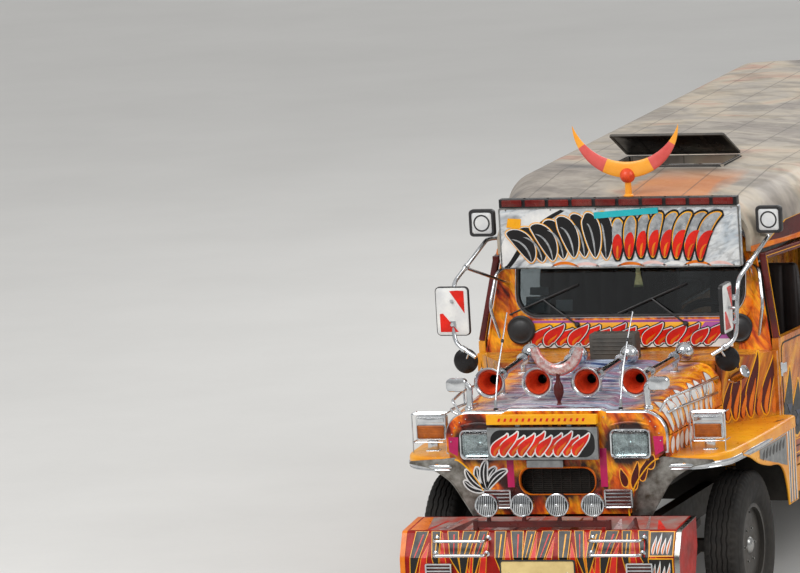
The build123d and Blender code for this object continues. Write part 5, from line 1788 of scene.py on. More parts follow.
    def fittings(self) -> None:
        """Make the ornament with its crescent, the elbows and the whip aerials."""
        post = lathe((0.0, 0.100, 1.176), UPWARDS, ((0.0, 0.030), (0.008, 0.030), (0.014, 0.016),
            (0.022, 0.010), (0.034, 0.009), (0.042, 0.014), (0.075, 0.026), (0.110, 0.024), (0.134, 0.012),
            (0.150, 0.010), (0.176, 0.011)), 28)
        s = np.linspace(-1, 1, 41)
        arc = np.stack([0.118 * np.sin(1.35 * s) / math.sin(1.35), 0.100 - 0.004 * s * s,
                        1.368 + 0.112 * (1 - np.cos(1.35 * s)) / (1 - math.cos(1.35))], -1)
        width = 0.027 * (1 - 0.28 * s * s)
        horn = tube(arc, width, 20, 0.55, facing=UPWARDS)
        edge = tube(arc + np.array([0.0, 0.0085, -0.0035]), width * 1.10, 20, 0.30, facing=UPWARDS)
        make("hood_ornament", [post, horn.painted(1), edge.painted(2)],
            ("oxblood_enamel", "worn_plate", "salmon_enamel"), body=Body.HOOD)
        parts, darks = [], []
        for s in (1, -1):
            stem = rounded(((s * 0.466, 0.086, 1.150), (s * 0.462, 0.086, 1.296),
                (s * 0.520, 0.086, 1.300)), 0.034, 8)
            parts.append(tube(stem, 0.0165, 16))
            parts.append(lathe((s * 0.466, 0.086, 1.152), UPWARDS,
                ((0, 0.026), (0.030, 0.026), (0.036, 0.018)), 22))
            head = Seat((s * 0.528, 0.108, 1.297))
            parts.append(boss(head, (0.104, 0.066, 0.022), ((0.006, 0.0), (0.0, 0.006), (0.0, 0.038),
                (0.004, 0.043), (0.014, 0.045))))
            foot = (s * 0.327, 0.074, 1.165)
            darks.append(lathe(foot, UPWARDS, ((0, 0.012), (0.012, 0.012), (0.016, 0.007)), 16))
            parts.append(lathe(foot, (0, 0.1, 1), ((0.016, 0.008), (0.034, 0.009), (0.056, 0.006)), 16))
            whip = smooth(((s * 0.327, 0.078, 1.200), (s * 0.327, 0.140, 1.345), (s * 0.327, 0.240, 1.480),
                           (s * 0.330, 0.358, 1.618)), 24)
            parts.append(tube(whip, np.linspace(0.0052, 0.0032, 24), 10))
            darks.append(lathe(whip[16], whip[17] - whip[16],
                ((-0.010, 0.005), (-0.006, 0.008), (0.006, 0.008), (0.010, 0.005)), 12).painted(0))
        make("hood_brightwork", [*parts, *[d.painted(1) for d in darks]],
            ("chrome_plate", "moulded_black_plastic"), ["hood_fittings"], body=Body.HOOD)

    def build(self) -> None:
        """Make the whole hood."""
        self.cover()
        self.figures()
        self.rails()
        self.trumpets()
        self.fittings()


@dataclass
class Fenders:
    """Flat-topped fenders with a rolled edge, a bright strip, skirts, inner walls and lamp boxes."""

    top: float = 0.930
    roll: float = 0.018
    drop: float = 0.056
    wall: float = 0.003
    plan: Pairs = ((0.566, 0.056), (0.600, 0.054), (0.662, 0.058), (0.721, 0.079),
        (0.772, 0.114), (0.812, 0.162), (0.838, 0.219), (0.848, 0.280), (0.857, 0.420), (0.867, 0.600),
        (0.8757, 0.840), (0.8798, 1.120), (0.8798, 1.288))

    def edge(self, steps: int = 80) -> tuple[np.ndarray, np.ndarray]:
        """Outer edge in plan, with the direction outwards at each place.

        Args:
            steps: Points along it.

        Returns:
            Points and outward directions.
        """
        line = smooth(self.plan, steps)
        ahead = unit(np.gradient(line, axis=0))
        return line, np.stack([ahead[:, 1], -ahead[:, 0]], -1)

    def inner(self, y: np.ndarray) -> np.ndarray:
        """Where the top meets the engine bay's side and the cowl."""
        return np.where(y < 1.0, 0.566, 0.566 + (y - 1.0) * 0.76)

    def tops(self) -> None:
        """Make the tops: a gently crowned sheet that rolls down over its outer edge.

        Each section runs from the inner line to the edge, round a quarter circle and down the band."""
        line, out = self.edge()
        turn = np.linspace(math.pi / 2, 0, 7)
        rim = line - out * self.roll
        inside = np.stack([np.minimum(self.inner(line[:, 1]), rim[:, 0] - 0.004),
            np.clip(line[:, 1], 0.072, None)], -1)
        share = np.linspace(0, 1, 8)[None, :, None]
        flat = inside[:, None] * (1 - share) + rim[:, None] * share
        crown = 0.002 * np.sin(math.pi * share[..., 0]) * np.clip((line[:, 1:] - 0.05) / 0.2, 0, 1)
        deck = np.concatenate([flat, np.broadcast_to(self.top + crown, flat.shape[:2])[..., None]], -1)
        arc = rim[:, None] + out[:, None] * (self.roll * np.cos(turn))[None, :, None]
        arc = np.concatenate([arc, np.broadcast_to(self.top - self.roll + self.roll * np.sin(turn),
                                                   arc.shape[:2])[..., None]], -1)
        down = np.concatenate([line, np.full((len(line), 1), self.top - self.drop)], 1)[:, None]
        grid = np.concatenate([deck, arc[:, 1:], down], axis=1)
        grid[..., 0] = np.minimum(grid[..., 0], 0.8768)
        sheet = thick(grid, -self.wall)
        columns = 2 * grid.shape[1]
        walls = (len(grid) - 1) * columns
        sheet.finish = ((np.arange(len(sheet.faces)) % columns < columns // 2 - 1)
                        & (np.arange(len(sheet.faces)) < walls)).astype(int)
        make("fender_tops", both([sheet]), ("fender_yellow_enamel", "chassis_black_enamel"),
            ["fenders"])
        deck_paint = Seat((0.0, 0.0, 0.9322), up=REARWARDS)
        flashes = [patch(deck_paint, ((0.640, 0.930), (0.850, 1.060), (0.845, 1.100), (0.650, 0.975)),
            0.0010).painted(0), swash(deck_paint, ((0.60, 0.40), (0.66, 0.62), (0.74, 0.86)), 0.050, 0.4,
            0.0010).painted(1), swash(deck_paint, ((0.60, 0.98), (0.72, 1.06), (0.82, 1.27)), 0.085, 0.4,
            0.0010).painted(0), swash(deck_paint, ((0.61, 0.80), (0.70, 0.93), (0.80, 0.98), (0.86, 1.16)),
            0.034, 0.5, 0.0016).painted(2)]
        make("fender_flashes", both(flashes), ("oxblood_enamel", "orange_enamel", "black_enamel"))
        low = np.stack([line[:74, 0] + out[:74, 0] * 0.002, line[:74, 1] + out[:74, 1] * 0.002,
                        np.full(74, self.top - self.drop + 0.010)], -1)
        low[:, 0] = np.minimum(low[:, 0], 0.8735)
        strip = tube(low, 0.013, 10, 0.45, facing=UPWARDS)
        hem = tube(low - np.array([0, 0, 0.015]), 0.0045, 8)
        make("fender_strips", both([strip, hem]), "chrome_plate")

    def skirts(self) -> None:
        """Make the skirts, the inner walls, and the painted panel and stripes on each skirt."""
        arch = smooth(((0.378, 0.885), (0.500, 0.853), (0.638, 0.800), (0.800, 0.762), (0.964, 0.738),
            (1.050, 0.690), (1.100, 0.600), (1.125, 0.500)), 44)
        upper = np.stack([np.interp(np.linspace(0, 1, 44), [0, 0.72, 1], [0.378, 1.12, 1.288]),
                          np.full(44, self.top - 0.030)], -1)
        foot = np.stack([np.maximum(arch[:, 0], 0), arch[:, 1]], -1)
        share = np.linspace(0, 1, 8)[None, :, None]
        flat = upper[:, None] * (1 - share) + foot[:, None] * share
        outer_x = np.interp(flat[..., 0], [0.378, 0.62, 0.9, 1.12, 1.3],
            [0.862, 0.869, 0.874, 0.877, 0.877])
        skirt = thick(np.stack([outer_x, flat[..., 0], flat[..., 1]], -1), 0.003)
        tail = box((0.8740, 1.125, 0.500), (0.8775, 1.288, 0.905), 0.001)
        hem_path = np.stack([np.interp(arch[:, 0], [0.378, 0.9, 1.12], [0.860, 0.871, 0.8735]), arch[:, 0],
            arch[:, 1]], -1)
        hem = tube(hem_path, 0.006, 8)
        wall = box((0.560, 0.075, 0.785), (0.564, 1.005, 0.929), 0.001)
        back = box((0.597, 1.128, 0.520), (0.874, 1.132, 0.912), 0.001)
        corner = box((0.5665, 1.078, 0.520), (0.600, 1.1275, 0.700), 0.001)
        columns = 2 * flat.shape[1]
        skirt.finish = (np.arange(len(skirt.faces)) % columns >= columns // 2).astype(int)
        make("fender_skirts", both([skirt, tail, hem]), ("fender_yellow_enamel", "chassis_black_enamel"))
        make("fender_liners", both([wall, back, corner]), "chassis_black_enamel")
        flank = Seat((0.8602, 0.0, 0.0), right=(0.0160, 1.0, 0.0))
        panel = [patch(flank, ((0.640, 0.818), (1.110, 0.705), (1.112, 0.862), (0.640, 0.862)),
            0.0006).painted(0), *tongues(flank, row(0.70, 1.05, 7, 0.800), 0.052, 0.5, 0.030, ((0.0, 1),),
            0.0012)]
        make("fender_skirt_panel", both(panel), ("galvanised_sheet", "black_enamel"))
        side = Seat((0.8785, 0.0, 0.0), right=REARWARDS)
        tints = ("vent_grey_enamel", "navy_enamel", "yellow_enamel", "white_enamel")
        marks = [patch(side, ((1.132, 0.51), (1.262, 0.51), (1.262, 0.892), (1.132, 0.892)),
            0.0006).painted(3)]
        for y in (1.150, 1.196, 1.242):
            marks.append(patch(side, ((y - 0.012, 0.505), (y + 0.004, 0.505), (y + 0.016, 0.895),
                (y, 0.895)), 0.0012).painted(1))
        for y in (1.176, 1.222):
            marks.append(patch(side, ((y - 0.010, 0.505), (y + 0.004, 0.505), (y + 0.014, 0.895),
                (y, 0.895)), 0.0012).painted(2))
        make("fender_skirt_stripes", both(marks), tints)

    def lamp_boxes(self) -> None:
        """Make the turn lamps: a bright box with an amber lens, on a foot, inside a wire rack."""
        seat = Seat((0.7265, 0.285, 1.052))
        shell = boss(seat, (0.157, 0.124, 0.008), ((0.003, 0.0), (0.0, 0.003), (0.0, 0.046),
            (0.003, 0.050)))
        lens_seat = Seat((0.7265, 0.235, 1.034))
        well = hoop(oblong(0.138, 0.066, 0.006), oblong(0.146, 0.074, 0.008),
            ((0, -0.002), (0, 0.006), (0.5, 0.008), (1, 0.006), (1, -0.002)), lens_seat)
        lens = boss(lens_seat, (0.139, 0.067, 0.006), ((0.0, -0.001), (0.0, 0.004), (0.003, 0.006),
            (0.02, 0.0075)))
        ribs = [box((0.660, 0.2262, z), (0.793, 0.2285, z + 0.0022), 0.0008)
            for z in spread(1.008, 1.058, 7)]
        upper = boss(Seat((0.7265, 0.235, 1.093)), (0.140, 0.026, 0.004),
            ((0.0, 0.0), (0.0, 0.003), (0.002, 0.004)))
        foot = [box((0.700, 0.250, 0.928), (0.752, 0.276, 0.992), 0.003),
                box((0.690, 0.242, 0.928), (0.762, 0.284, 0.938), 0.003)]
        wires = []
        for z in (0.985, 1.128):
            loop = rounded(((0.640, 0.300, z), (0.640, 0.205, z), (0.818, 0.205, z), (0.818, 0.300, z)),
                0.02, 5)
            wires.append(tube(loop, 0.0035, 8))
        for x in (0.640, 0.818):
            wires.append(tube(np.array([(x, 0.215, 0.926), (x, 0.215, 1.03), (x, 0.215, 1.129)]), 0.0035,
                8))
        for y in (0.235, 0.265):
            wires.append(tube(np.array([(0.640, y, 1.128), (0.73, y, 1.131), (0.818, y, 1.128)]), 0.003, 8))
        make("turn_lamp_boxes", both([shell, well, upper, *foot]), "chrome_plate",
            ["signal_lamps"])
        make("turn_lamp_lenses", both([lens, *ribs]), "amber_reflector")
        make("turn_lamp_racks", both(wires), "chrome_plate")

    def build(self) -> None:
        """Make both fenders."""
        self.tops()
        self.skirts()
        self.lamp_boxes()


@dataclass
class Windscreen:
    """Leaning windscreen frame with its seal and wipers, the scuttle panel below it and the vent."""

    pane: Seat = Seat((0.0, 1.400, 1.437), up=SCREEN_UP)
    scuttle: Seat = Seat((0.0, 1.3865, 1.345), up=(0.0, 0.10, 0.995))
    frame_size: Triple = (1.310, 0.497, 0.150)
    pane_size: Triple = (1.210, 0.370, 0.120)

    def ring(self, inner: Triple, outer: Triple, steps: Pairs) -> Shell:
        """Ring between two round-cornered openings, the inner one 3.5 mm higher.

        Args:
            inner: Width, height and corner of the hole.
            outer: Width, height and corner around it.
            steps: Pairs of share and lift.

        Returns:
            The shell.
        """
        middle = self.pane_size[1] / 2
        rise = (0.0, middle)
        lift = (0.0, middle - 0.0035 * (outer == self.frame_size))
        return hoop(oblong(*inner, 14) + rise, oblong(*outer, 14) + lift, steps, self.pane)

    def surround(self) -> None:
        """Make the frame, the rubber seal on it and its bright bead."""
        body = self.ring(self.pane_size, self.frame_size, ((0.0, -0.033), (0.0, -0.006), (0.06, -0.001),
            (0.14, 0.0), (0.86, 0.0), (0.96, -0.004), (1.0, -0.012), (1.0, -0.035)))
        make("windscreen_surround", [body], "nose_flame_enamel", ["windshield_frame"])
        seal = self.ring((1.186, 0.346, 0.108), (1.222, 0.382, 0.126),
            ((0.0, -0.014), (0.1, -0.006), (0.35, 0.003), (0.8, 0.004), (1.0, 0.0008), (1.0, -0.002),
            (0.6, -0.016)))
        bead = self.ring((1.224, 0.384, 0.127), (1.236, 0.396, 0.133),
            ((0.0, 0.0), (0.2, 0.004), (0.8, 0.004), (1.0, 0.0)))
        make("windscreen_seal", [seal, bead.painted(1)], ("rubber_seal", "chrome_plate"))

    def wipers(self) -> None:
        """Make two wipers: a pivot, a bent arm and a long blade that lies on the glass."""
        shells = []
        for x, reach in ((0.30, -0.30), (-0.28, -0.30)):
            foot, tip = np.array([x, -0.045]), np.array([x + reach * 0.62, 0.085])
            path = self.pane.lay(np.array([foot, foot * 0.7 + tip * 0.3, tip]),
                np.array([0.012, 0.020, 0.004]))
            shells.append(tube(rounded(path, 0.03, 5), 0.0045, 8, 0.6))
            shells.append(lathe(path[0], SCREEN_OUT, ((-0.012, 0.013), (0.004, 0.013), (0.010, 0.008)), 18))
            lean = unit(np.array([1.0, 0.42]))
            ends = np.array([tip - lean * 0.20, tip, tip + lean * 0.20])
            shells.append(tube(self.pane.lay(ends, np.array([0.0, 0.004, 0.0])), 0.0042, 8, 0.7,
                facing=(0, 0.2, 1)))
            shells.append(tube(self.pane.lay(ends - (0, 0.005), -0.006), 0.0030, 6, 2.0,
                facing=(0, 0.2, 1)))
        make("wipers", shells, "moulded_black_plastic")

    def inside(self) -> None:
        """Hang the inner mirror with its tassel and stand blank cards behind the glass."""
        mirror = Seat((0.02, 1.448, 1.742))
        shells = [boss(mirror, (0.26, 0.062, 0.02), ((0.004, -0.016), (0.0, -0.010), (0.0, 0.0),
            (0.003, 0.003))),
            tube(np.array([(0.02, 1.462, 1.742), (0.02, 1.478, 1.765), (0.02, 1.482, 1.800)]), 0.006, 8)]
        strands = spread(-0.014, 0.014, 7)
        shells += [tube(np.array([(x + 0.04, 1.448, 1.712), (x * 0.4 + 0.04, 1.449, 1.655),
            (x * 1.6 + 0.04, 1.45, 1.575)]), 0.0042, 6).painted(1) for x in strands]
        shells.append(lathe((0.04, 1.449, 1.652), UPWARDS, ((-0.012, 0.009), (0.0, 0.014), (0.012, 0.009)),
            14).painted(1))
        inner = Seat((0.0, 1.4265, 1.437), up=SCREEN_UP)
        for x, z, w, h in ((-0.50, 0.055, 0.13, 0.085), (-0.495, 0.125, 0.10, 0.040),
                (-0.36, 0.050, 0.09, 0.06)):
            seat = Seat(tuple(inner.lay(np.array([x, z]))), up=inner.up)
            shells.append(boss(seat, (w, h, 0.004), ((0.0, 0.0), (0.0, 0.0012), (0.0006, 0.0016)),
                3).painted(2))
        make("mirror_and_cards", shells, ("moulded_black_plastic", "tassel_cotton_dye", "white_enamel"))

    def scuttle_panel(self) -> None:
        """Paint the panel below the glass and fix a black disc at each of its ends."""
        seat = self.scuttle
        sheet = boss(seat, (1.10, 0.142, 0.006), ((0.0, -0.002), (0.0, 0.0015), (0.001, 0.002)), 3)
        place = Seat(tuple(seat.lay(np.zeros(2), 0.002)), up=seat.up)
        parts = [sheet, patch(place, ((-0.547, -0.070), (0.547, -0.070), (0.547, -0.030), (-0.547, -0.030)),
            0.0006).painted(1),
            patch(place, ((-0.547, 0.058), (0.547, 0.058), (0.547, 0.070), (-0.547, 0.070)),
            0.0006).painted(2)]
        count = 15
        feet = row(-0.500, 0.420, count, -0.058)
        tall = 0.098 + 0.014 * np.sin(np.arange(count) * 2.3)
        parts += tongues(place, feet, tall, 0.75, 0.060, ((0.0085, 3), (0.0040, 1), (0.0, 4)), 0.0012)
        parts += tongues(place, feet, tall * 0.55, 0.75, 0.014, ((0.0, 5),), 0.0052)
        corner = ((0.30, -0.068), (0.545, -0.068), (0.545, 0.056), (0.40, 0.056))
        parts.append(patch(place, corner, 0.0003).painted(2))
        make("scuttle_paint", parts, ("yellow_enamel", "white_enamel", "violet_enamel", "black_enamel",
            "scarlet_enamel", "orange_enamel"))
        disc = lathe((0.582, 1.386, 1.369), (0, -1, 0.1), ((-0.012, 0.070), (0.004, 0.075), (0.012, 0.074),
            (0.017, 0.066), (0.014, 0.056), (0.019, 0.042), (0.024, 0.020)), 40)
        vent = [boss(Seat((0.0, 1.106, 1.262), up=REARWARDS), (0.246, 0.094, 0.008),
                     ((0.0, 0.0), (0.0, 0.124), (0.0015, 0.130), (0.008, 0.134), (0.024, 0.135)))]
        ribs = [box((x, 1.066, 1.3950), (x + 0.006, 1.146, 1.3985), 0.001) for x in spread(-0.09, 0.084, 6)]
        ribs += [box((-0.105, 1.0565, z), (0.105, 1.0600, z + 0.006), 0.001)
            for z in spread(1.290, 1.370, 5)]
        make("scuttle_discs", both([disc]), "moulded_black_plastic")
        make("cowl_vent_lid", vent + ribs, "vent_grey_enamel")

    def build(self) -> None:
        """Make the whole windscreen."""
        self.surround()
        self.wipers()
        self.inside()
        self.scuttle_panel()


@dataclass
class Visor:
    """Painted board over the windscreen with a strip of dark red lenses on its top."""

    board: Seat = Seat((0.0, 1.286, 1.8585))
    size: tuple[float, float] = (1.280, 0.317)

    def sheet(self) -> None:
        """Make the board with a folded edge, its rim strip, brackets and rivets."""
        width, height = self.size
        seat = Seat((0.0, 1.325, 1.8585))
        panel = boss(seat, (width, height, 0.012), ((0.004, 0.0), (0.0, 0.004), (0.0, 0.036),
            (0.003, 0.039)), 4)
        rim = hoop(oblong(width - 0.016, height - 0.016, 0.008), oblong(width, height, 0.012),
                   ((0.0, 0.038), (0.1, 0.0425), (0.9, 0.0425), (1.0, 0.037)), seat)
        feet = [box((x - 0.015, 1.325, z - 0.02), (x + 0.015, 1.398, z), 0.003) for x in (-0.4, 0.4)
            for z in (1.80, 2.006)]
        rivet = lathe((0, 1.2865, 0), FORWARDS, ((0, 0.005), (0.003, 0.0035)), 10)
        rivets = rivet.copies([(x, 0, z) for x in spread(-0.60, 0.60, 6) for z in (1.712, 2.004)])
        make("visor_board", [panel, *[foot.painted(1) for foot in feet], rim.painted(1), rivets.painted(1)],
            ("board_chalk_enamel", "stainless_sheet"), ["visor_sign"])

    def strokes(self) -> None:
        """Paint the board: a white sweep, a black wing to one side and a red and silver one to the other."""
        place = self.board
        tints = ("white_enamel", "black_enamel", "yellow_enamel", "scarlet_enamel", "silvered_reflector",
                 "teal_enamel", "orange_enamel", "rose_enamel")
        sweep = ((-0.63, -0.150), (-0.60, -0.02), (-0.50, 0.13), (-0.30, 0.150))
        parts = [swash(place, [(a + 0.016, b - 0.010) for a, b in sweep], 0.105, 0.42, 0.0004).painted(1),
                 swash(place, sweep, 0.090, 0.42, 0.0010).painted(0)]
        count = 8
        share = np.linspace(0, 1, count)
        left = [(-0.075 - 0.40 * t, -0.112 + 0.012 * math.sin(5 * t)) for t in share]
        tall, lean = 0.235 - 0.085 * share, -0.10 - 0.75 * share
        parts += tongues(place, left, tall, lean, 0.088, ((0.0075, 2), (0.0035, 0), (0.0, 1)), 0.0014,
            WING_WAY, 0.5)
        parts += tongues(place, left, tall * 0.8, lean, 0.010, ((0.0, 4),), 0.0052, WING_WAY, 0.5)
        right = [(-0.015 + 0.44 * t, -0.112 + 0.010 * math.sin(4 * t)) for t in share]
        tall, lean = 0.205 + 0.030 * share, 0.10 + 0.42 * share
        parts += tongues(place, right, tall, lean, 0.058, ((0.0130, 1), (0.0045, 2), (0.0, 4)), 0.0014,
            WING_WAY, 0.5)
        parts += tongues(place, right, tall * 0.62, lean, 0.050, ((0.0, 3),), 0.0052, WING_WAY, 0.4)
        parts += tongues(place, right, tall * 0.34, lean, 0.012, ((0.0, 6),), 0.0066, WING_WAY, 0.4)
        tilt = ((-0.125, 0.098), (0.215, 0.122), (0.212, 0.152), (-0.130, 0.130))
        parts.append(patch(place, tilt, 0.0078).painted(5))
        parts.append(patch(place, ((-0.600, 0.058), (-0.525, 0.052), (-0.520, 0.100), (-0.590, 0.104)),
            0.0040).painted(2))
        parts += [swash(place, ((x - 0.07, -0.150), (x, -0.118 + 0.01 * (k % 2)), (x + 0.08, -0.152)),
            0.016, 0.5, 0.0004).painted((0, 6, 7)[k % 3]) for k, x in enumerate(spread(-0.42, 0.52, 9))]
        make("visor_strokes", parts, tints)

    def lens_strip(self) -> None:
        """Set dark red lenses side by side on the board's top, in a black channel."""
        channel = box((-0.632, 1.276, 2.017), (0.632, 1.330, 2.062), 0.003)
        places = spread(-0.5625, 0.5625, 10)
        lens = boss(Seat((0.0, 1.277, 2.0405)), (0.106, 0.034, 0.006),
            ((0.0, 0.0), (0.0, 0.003), (0.003, 0.006), (0.012, 0.007)), 4)
        ribs = box((-0.052, 1.2685, 2.0255), (-0.0505, 1.2705, 2.0555),
            0.0006).copies([(k * 0.0095, 0, 0) for k in range(12)])
        lenses = [part.copies([(x, 0, 0) for x in places]).painted(1) for part in (lens, ribs)]
        bolts = lathe((0, 1.303, 2.061), UPWARDS, ((0, 0.007), (0.004, 0.006)), 6).copies(
            [(x, 0, 0) for x in spread(-0.50, 0.50, 9)])
        make("visor_lens_strip", [channel, *lenses, bolts], ("black_enamel", "garnet_lens"))

    def build(self) -> None:
        """Make the whole visor."""
        self.sheet()
        self.strokes()
        self.lens_strip()


@dataclass
class Mirrors:
    """Long tubular arms with their clamps, two mirrors on each and a square lamp at each roof corner."""

    arm: Sequence[Triple] = ((0.690, 1.470, 1.838), (0.752, 1.430, 1.838),
        (0.751, 0.818, 1.701), (0.745, 0.753, 1.405), (0.624, 0.723, 1.335))
    inner: Sequence[Triple] = ((0.652, 1.452, 1.690), (0.700, 1.392, 1.672),
        (0.728, 1.330, 1.500), (0.676, 1.380, 1.258))

    def arms(self) -> None:
        """Bend the arms and struts, with a clamp where one meets another."""
        main = tube(rounded(self.arm, 0.055, 9), 0.011, 16)
        strut = tube(np.linspace((0.751, 1.041, 1.745), (0.648, 1.450, 1.600), 5), 0.008, 12)
        short = tube(rounded(self.inner, 0.040, 9), 0.009, 14)
        clamps = []
        for at, ahead in (((0.751, 1.041, 1.751), (0, 1, 0.22)), ((0.747, 0.776, 1.62), (0.02, 0.2, 1)),
                ((0.746, 0.765, 1.50), (0.02, 0.2, 1)), ((0.690, 0.740, 1.374), (0.87, 0.2, 0.5))):
            clamps.append(lathe(at, ahead, ((-0.014, 0.010), (-0.014, 0.016), (0.014, 0.016),
                (0.014, 0.010)), 20))
            clamps.append(lathe(at, FORWARDS, ((-0.02, 0.005), (0.024, 0.005), (0.024, 0.009),
                (0.029, 0.008)), 12))
        foot = lathe((0.676, 1.380, 1.262), UPWARDS, ((0, 0.026), (0.006, 0.026), (0.010, 0.014)), 20)
        make("mirror_tubes", both([main, strut, short, *clamps, foot]), "chrome_plate",
            ["mirror_arms"])

    def corner_panels(self) -> None:
        """Close each corner of the cab with a painted sheet from the windscreen frame to the door's post."""
        level = np.array([1.262, 1.34, 1.42, 1.50, 1.60, 1.68, 1.745])
        front = 1.400 + (level - 1.437) * 0.2126 + 0.016
        near = np.stack([np.array([0.575, 0.585, 0.610, 0.632, 0.634, 0.628, 0.600]), front, level], -1)
        rise = (level - 1.30) / 0.43
        far = np.stack([0.785 - 0.073 * rise - 0.030, 1.356 + 0.084 * rise - 0.012, level], -1)
        share = np.linspace(0, 1, 9)[None, :, None]
        sheet = near[:, None] * (1 - share) + far[:, None] * share
        bulge = 0.012 * np.sin(math.pi * share[..., 0]) ** 2
        sheet[..., 1] -= bulge
        skin = thick(sheet[::-1], -0.003)
        edge = tube(far + np.array([-0.002, -0.002, 0.0]), 0.005, 8)
        make("cab_corner_panels", both([skin, edge]), "nose_flame_enamel")

    def glasses(self) -> None:
        """Make the long and the round mirrors; their backs are painted, their glass faces rearwards."""
        shells = []
        for s, back in ((1.0, Seat((0.682, 0.788, 1.565), right=REARWARDS)),
                (-1.0, Seat((-0.748, 0.782, 1.565)))):
            body = boss(back, (0.176, 0.250, 0.022), ((0.003, 0.0), (0.0, 0.004), (0.0, 0.012),
                (0.004, 0.018), (0.016, 0.0215)))
            rim = hoop(oblong(0.164, 0.238, 0.018), oblong(0.178, 0.252, 0.023),
                       ((0.0, -0.001), (0.0, 0.012), (0.5, 0.020), (1.0, 0.014), (1.0, -0.001)), back)
            glass = boss(back, (0.158, 0.232, 0.016), ((0.0, 0.001), (0.0, -0.0012), (0.002, -0.0018)))
            place = Seat(tuple(back.lay(np.zeros(2), 0.0215)), back.right)
            group = [body.painted(1), rim, glass.painted(3)]
            group += [patch(place, corners, 0.0012).painted(4) for corners in (
                ((-0.010, 0.105), (0.066, -0.010), (0.066, 0.105), (0.030, 0.108)),
                ((-0.066, -0.105), (0.030, -0.105), (-0.050, -0.010), (-0.066, -0.012)))]
            round_at = np.array([s * 0.691, 0.772, 1.310])
            dish = lathe(round_at, FORWARDS, ((0.0, 0.058), (0.001, 0.064), (0.006, 0.065), (0.012, 0.060),
                                                (0.018, 0.042), (0.021, 0.018)), 40)
            face = lathe(round_at, REARWARDS, ((-0.004, 0.060), (0.0, 0.060), (0.003, 0.045),
                (0.0045, 0.02)), 36)
            stalk = tube(np.array([(s * 0.664, 0.742, 1.358), (s * 0.676, 0.752, 1.335),
                (s * 0.688, 0.762, 1.315)]), 0.007, 10)
            shells += [*group, dish.painted(6), face.painted(3), stalk.painted(5)]
        shells.append(tube(np.linspace((0.704, 0.788, 1.565), (0.748, 0.788, 1.565), 3), 0.008,
            12).painted(5))
        make("mirror_heads", shells, ("moulded_black_plastic", "white_enamel", "vent_grey_enamel",
            "silvered_reflector", "scarlet_enamel", "chrome_plate", "black_enamel"),
            ["mirrors"])

    def corner_lamps(self) -> None:
        """Make the square lamps: a black shell, a bezel and a pale cover."""
        seat = Seat((0.765, 1.450, 1.925))
        shell = boss(seat, (0.136, 0.140, 0.020), ((0.030, 0.0), (0.012, 0.010), (0.002, 0.026),
            (0.0, 0.032), (0.0, 0.054), (0.004, 0.060)))
        face = Seat((0.765, 1.392, 1.925))
        bezel = hoop(oblong(0.104, 0.108, 0.012), oblong(0.136, 0.140, 0.020),
            ((0, 0.0), (0.1, 0.006), (0.8, 0.007), (1, 0.002), (1, -0.002)), face)
        cover = boss(face, (0.106, 0.110, 0.013), ((0.0, -0.001), (0.0, 0.002), (0.003, 0.004),
            (0.02, 0.005)))
        ring = lathe((0.765, 1.3875, 1.925), FORWARDS, ((0.0, 0.044), (0.0015, 0.044), (0.0015, 0.036),
            (0.0, 0.036)), 36)
        stalk = box((0.700, 1.408, 1.893), (0.745, 1.424, 1.909), 0.002)
        shells = [shell, bezel, stalk, cover.painted(1), ring.painted(0)]
        make("roof_corner_lamps", both(shells), ("moulded_black_plastic", "white_enamel"),
            ["spot_lamps"])

    def build(self) -> None:
        """Make mirrors and lamps."""
        self.arms()
        self.corner_panels()
        self.glasses()
        self.corner_lamps()


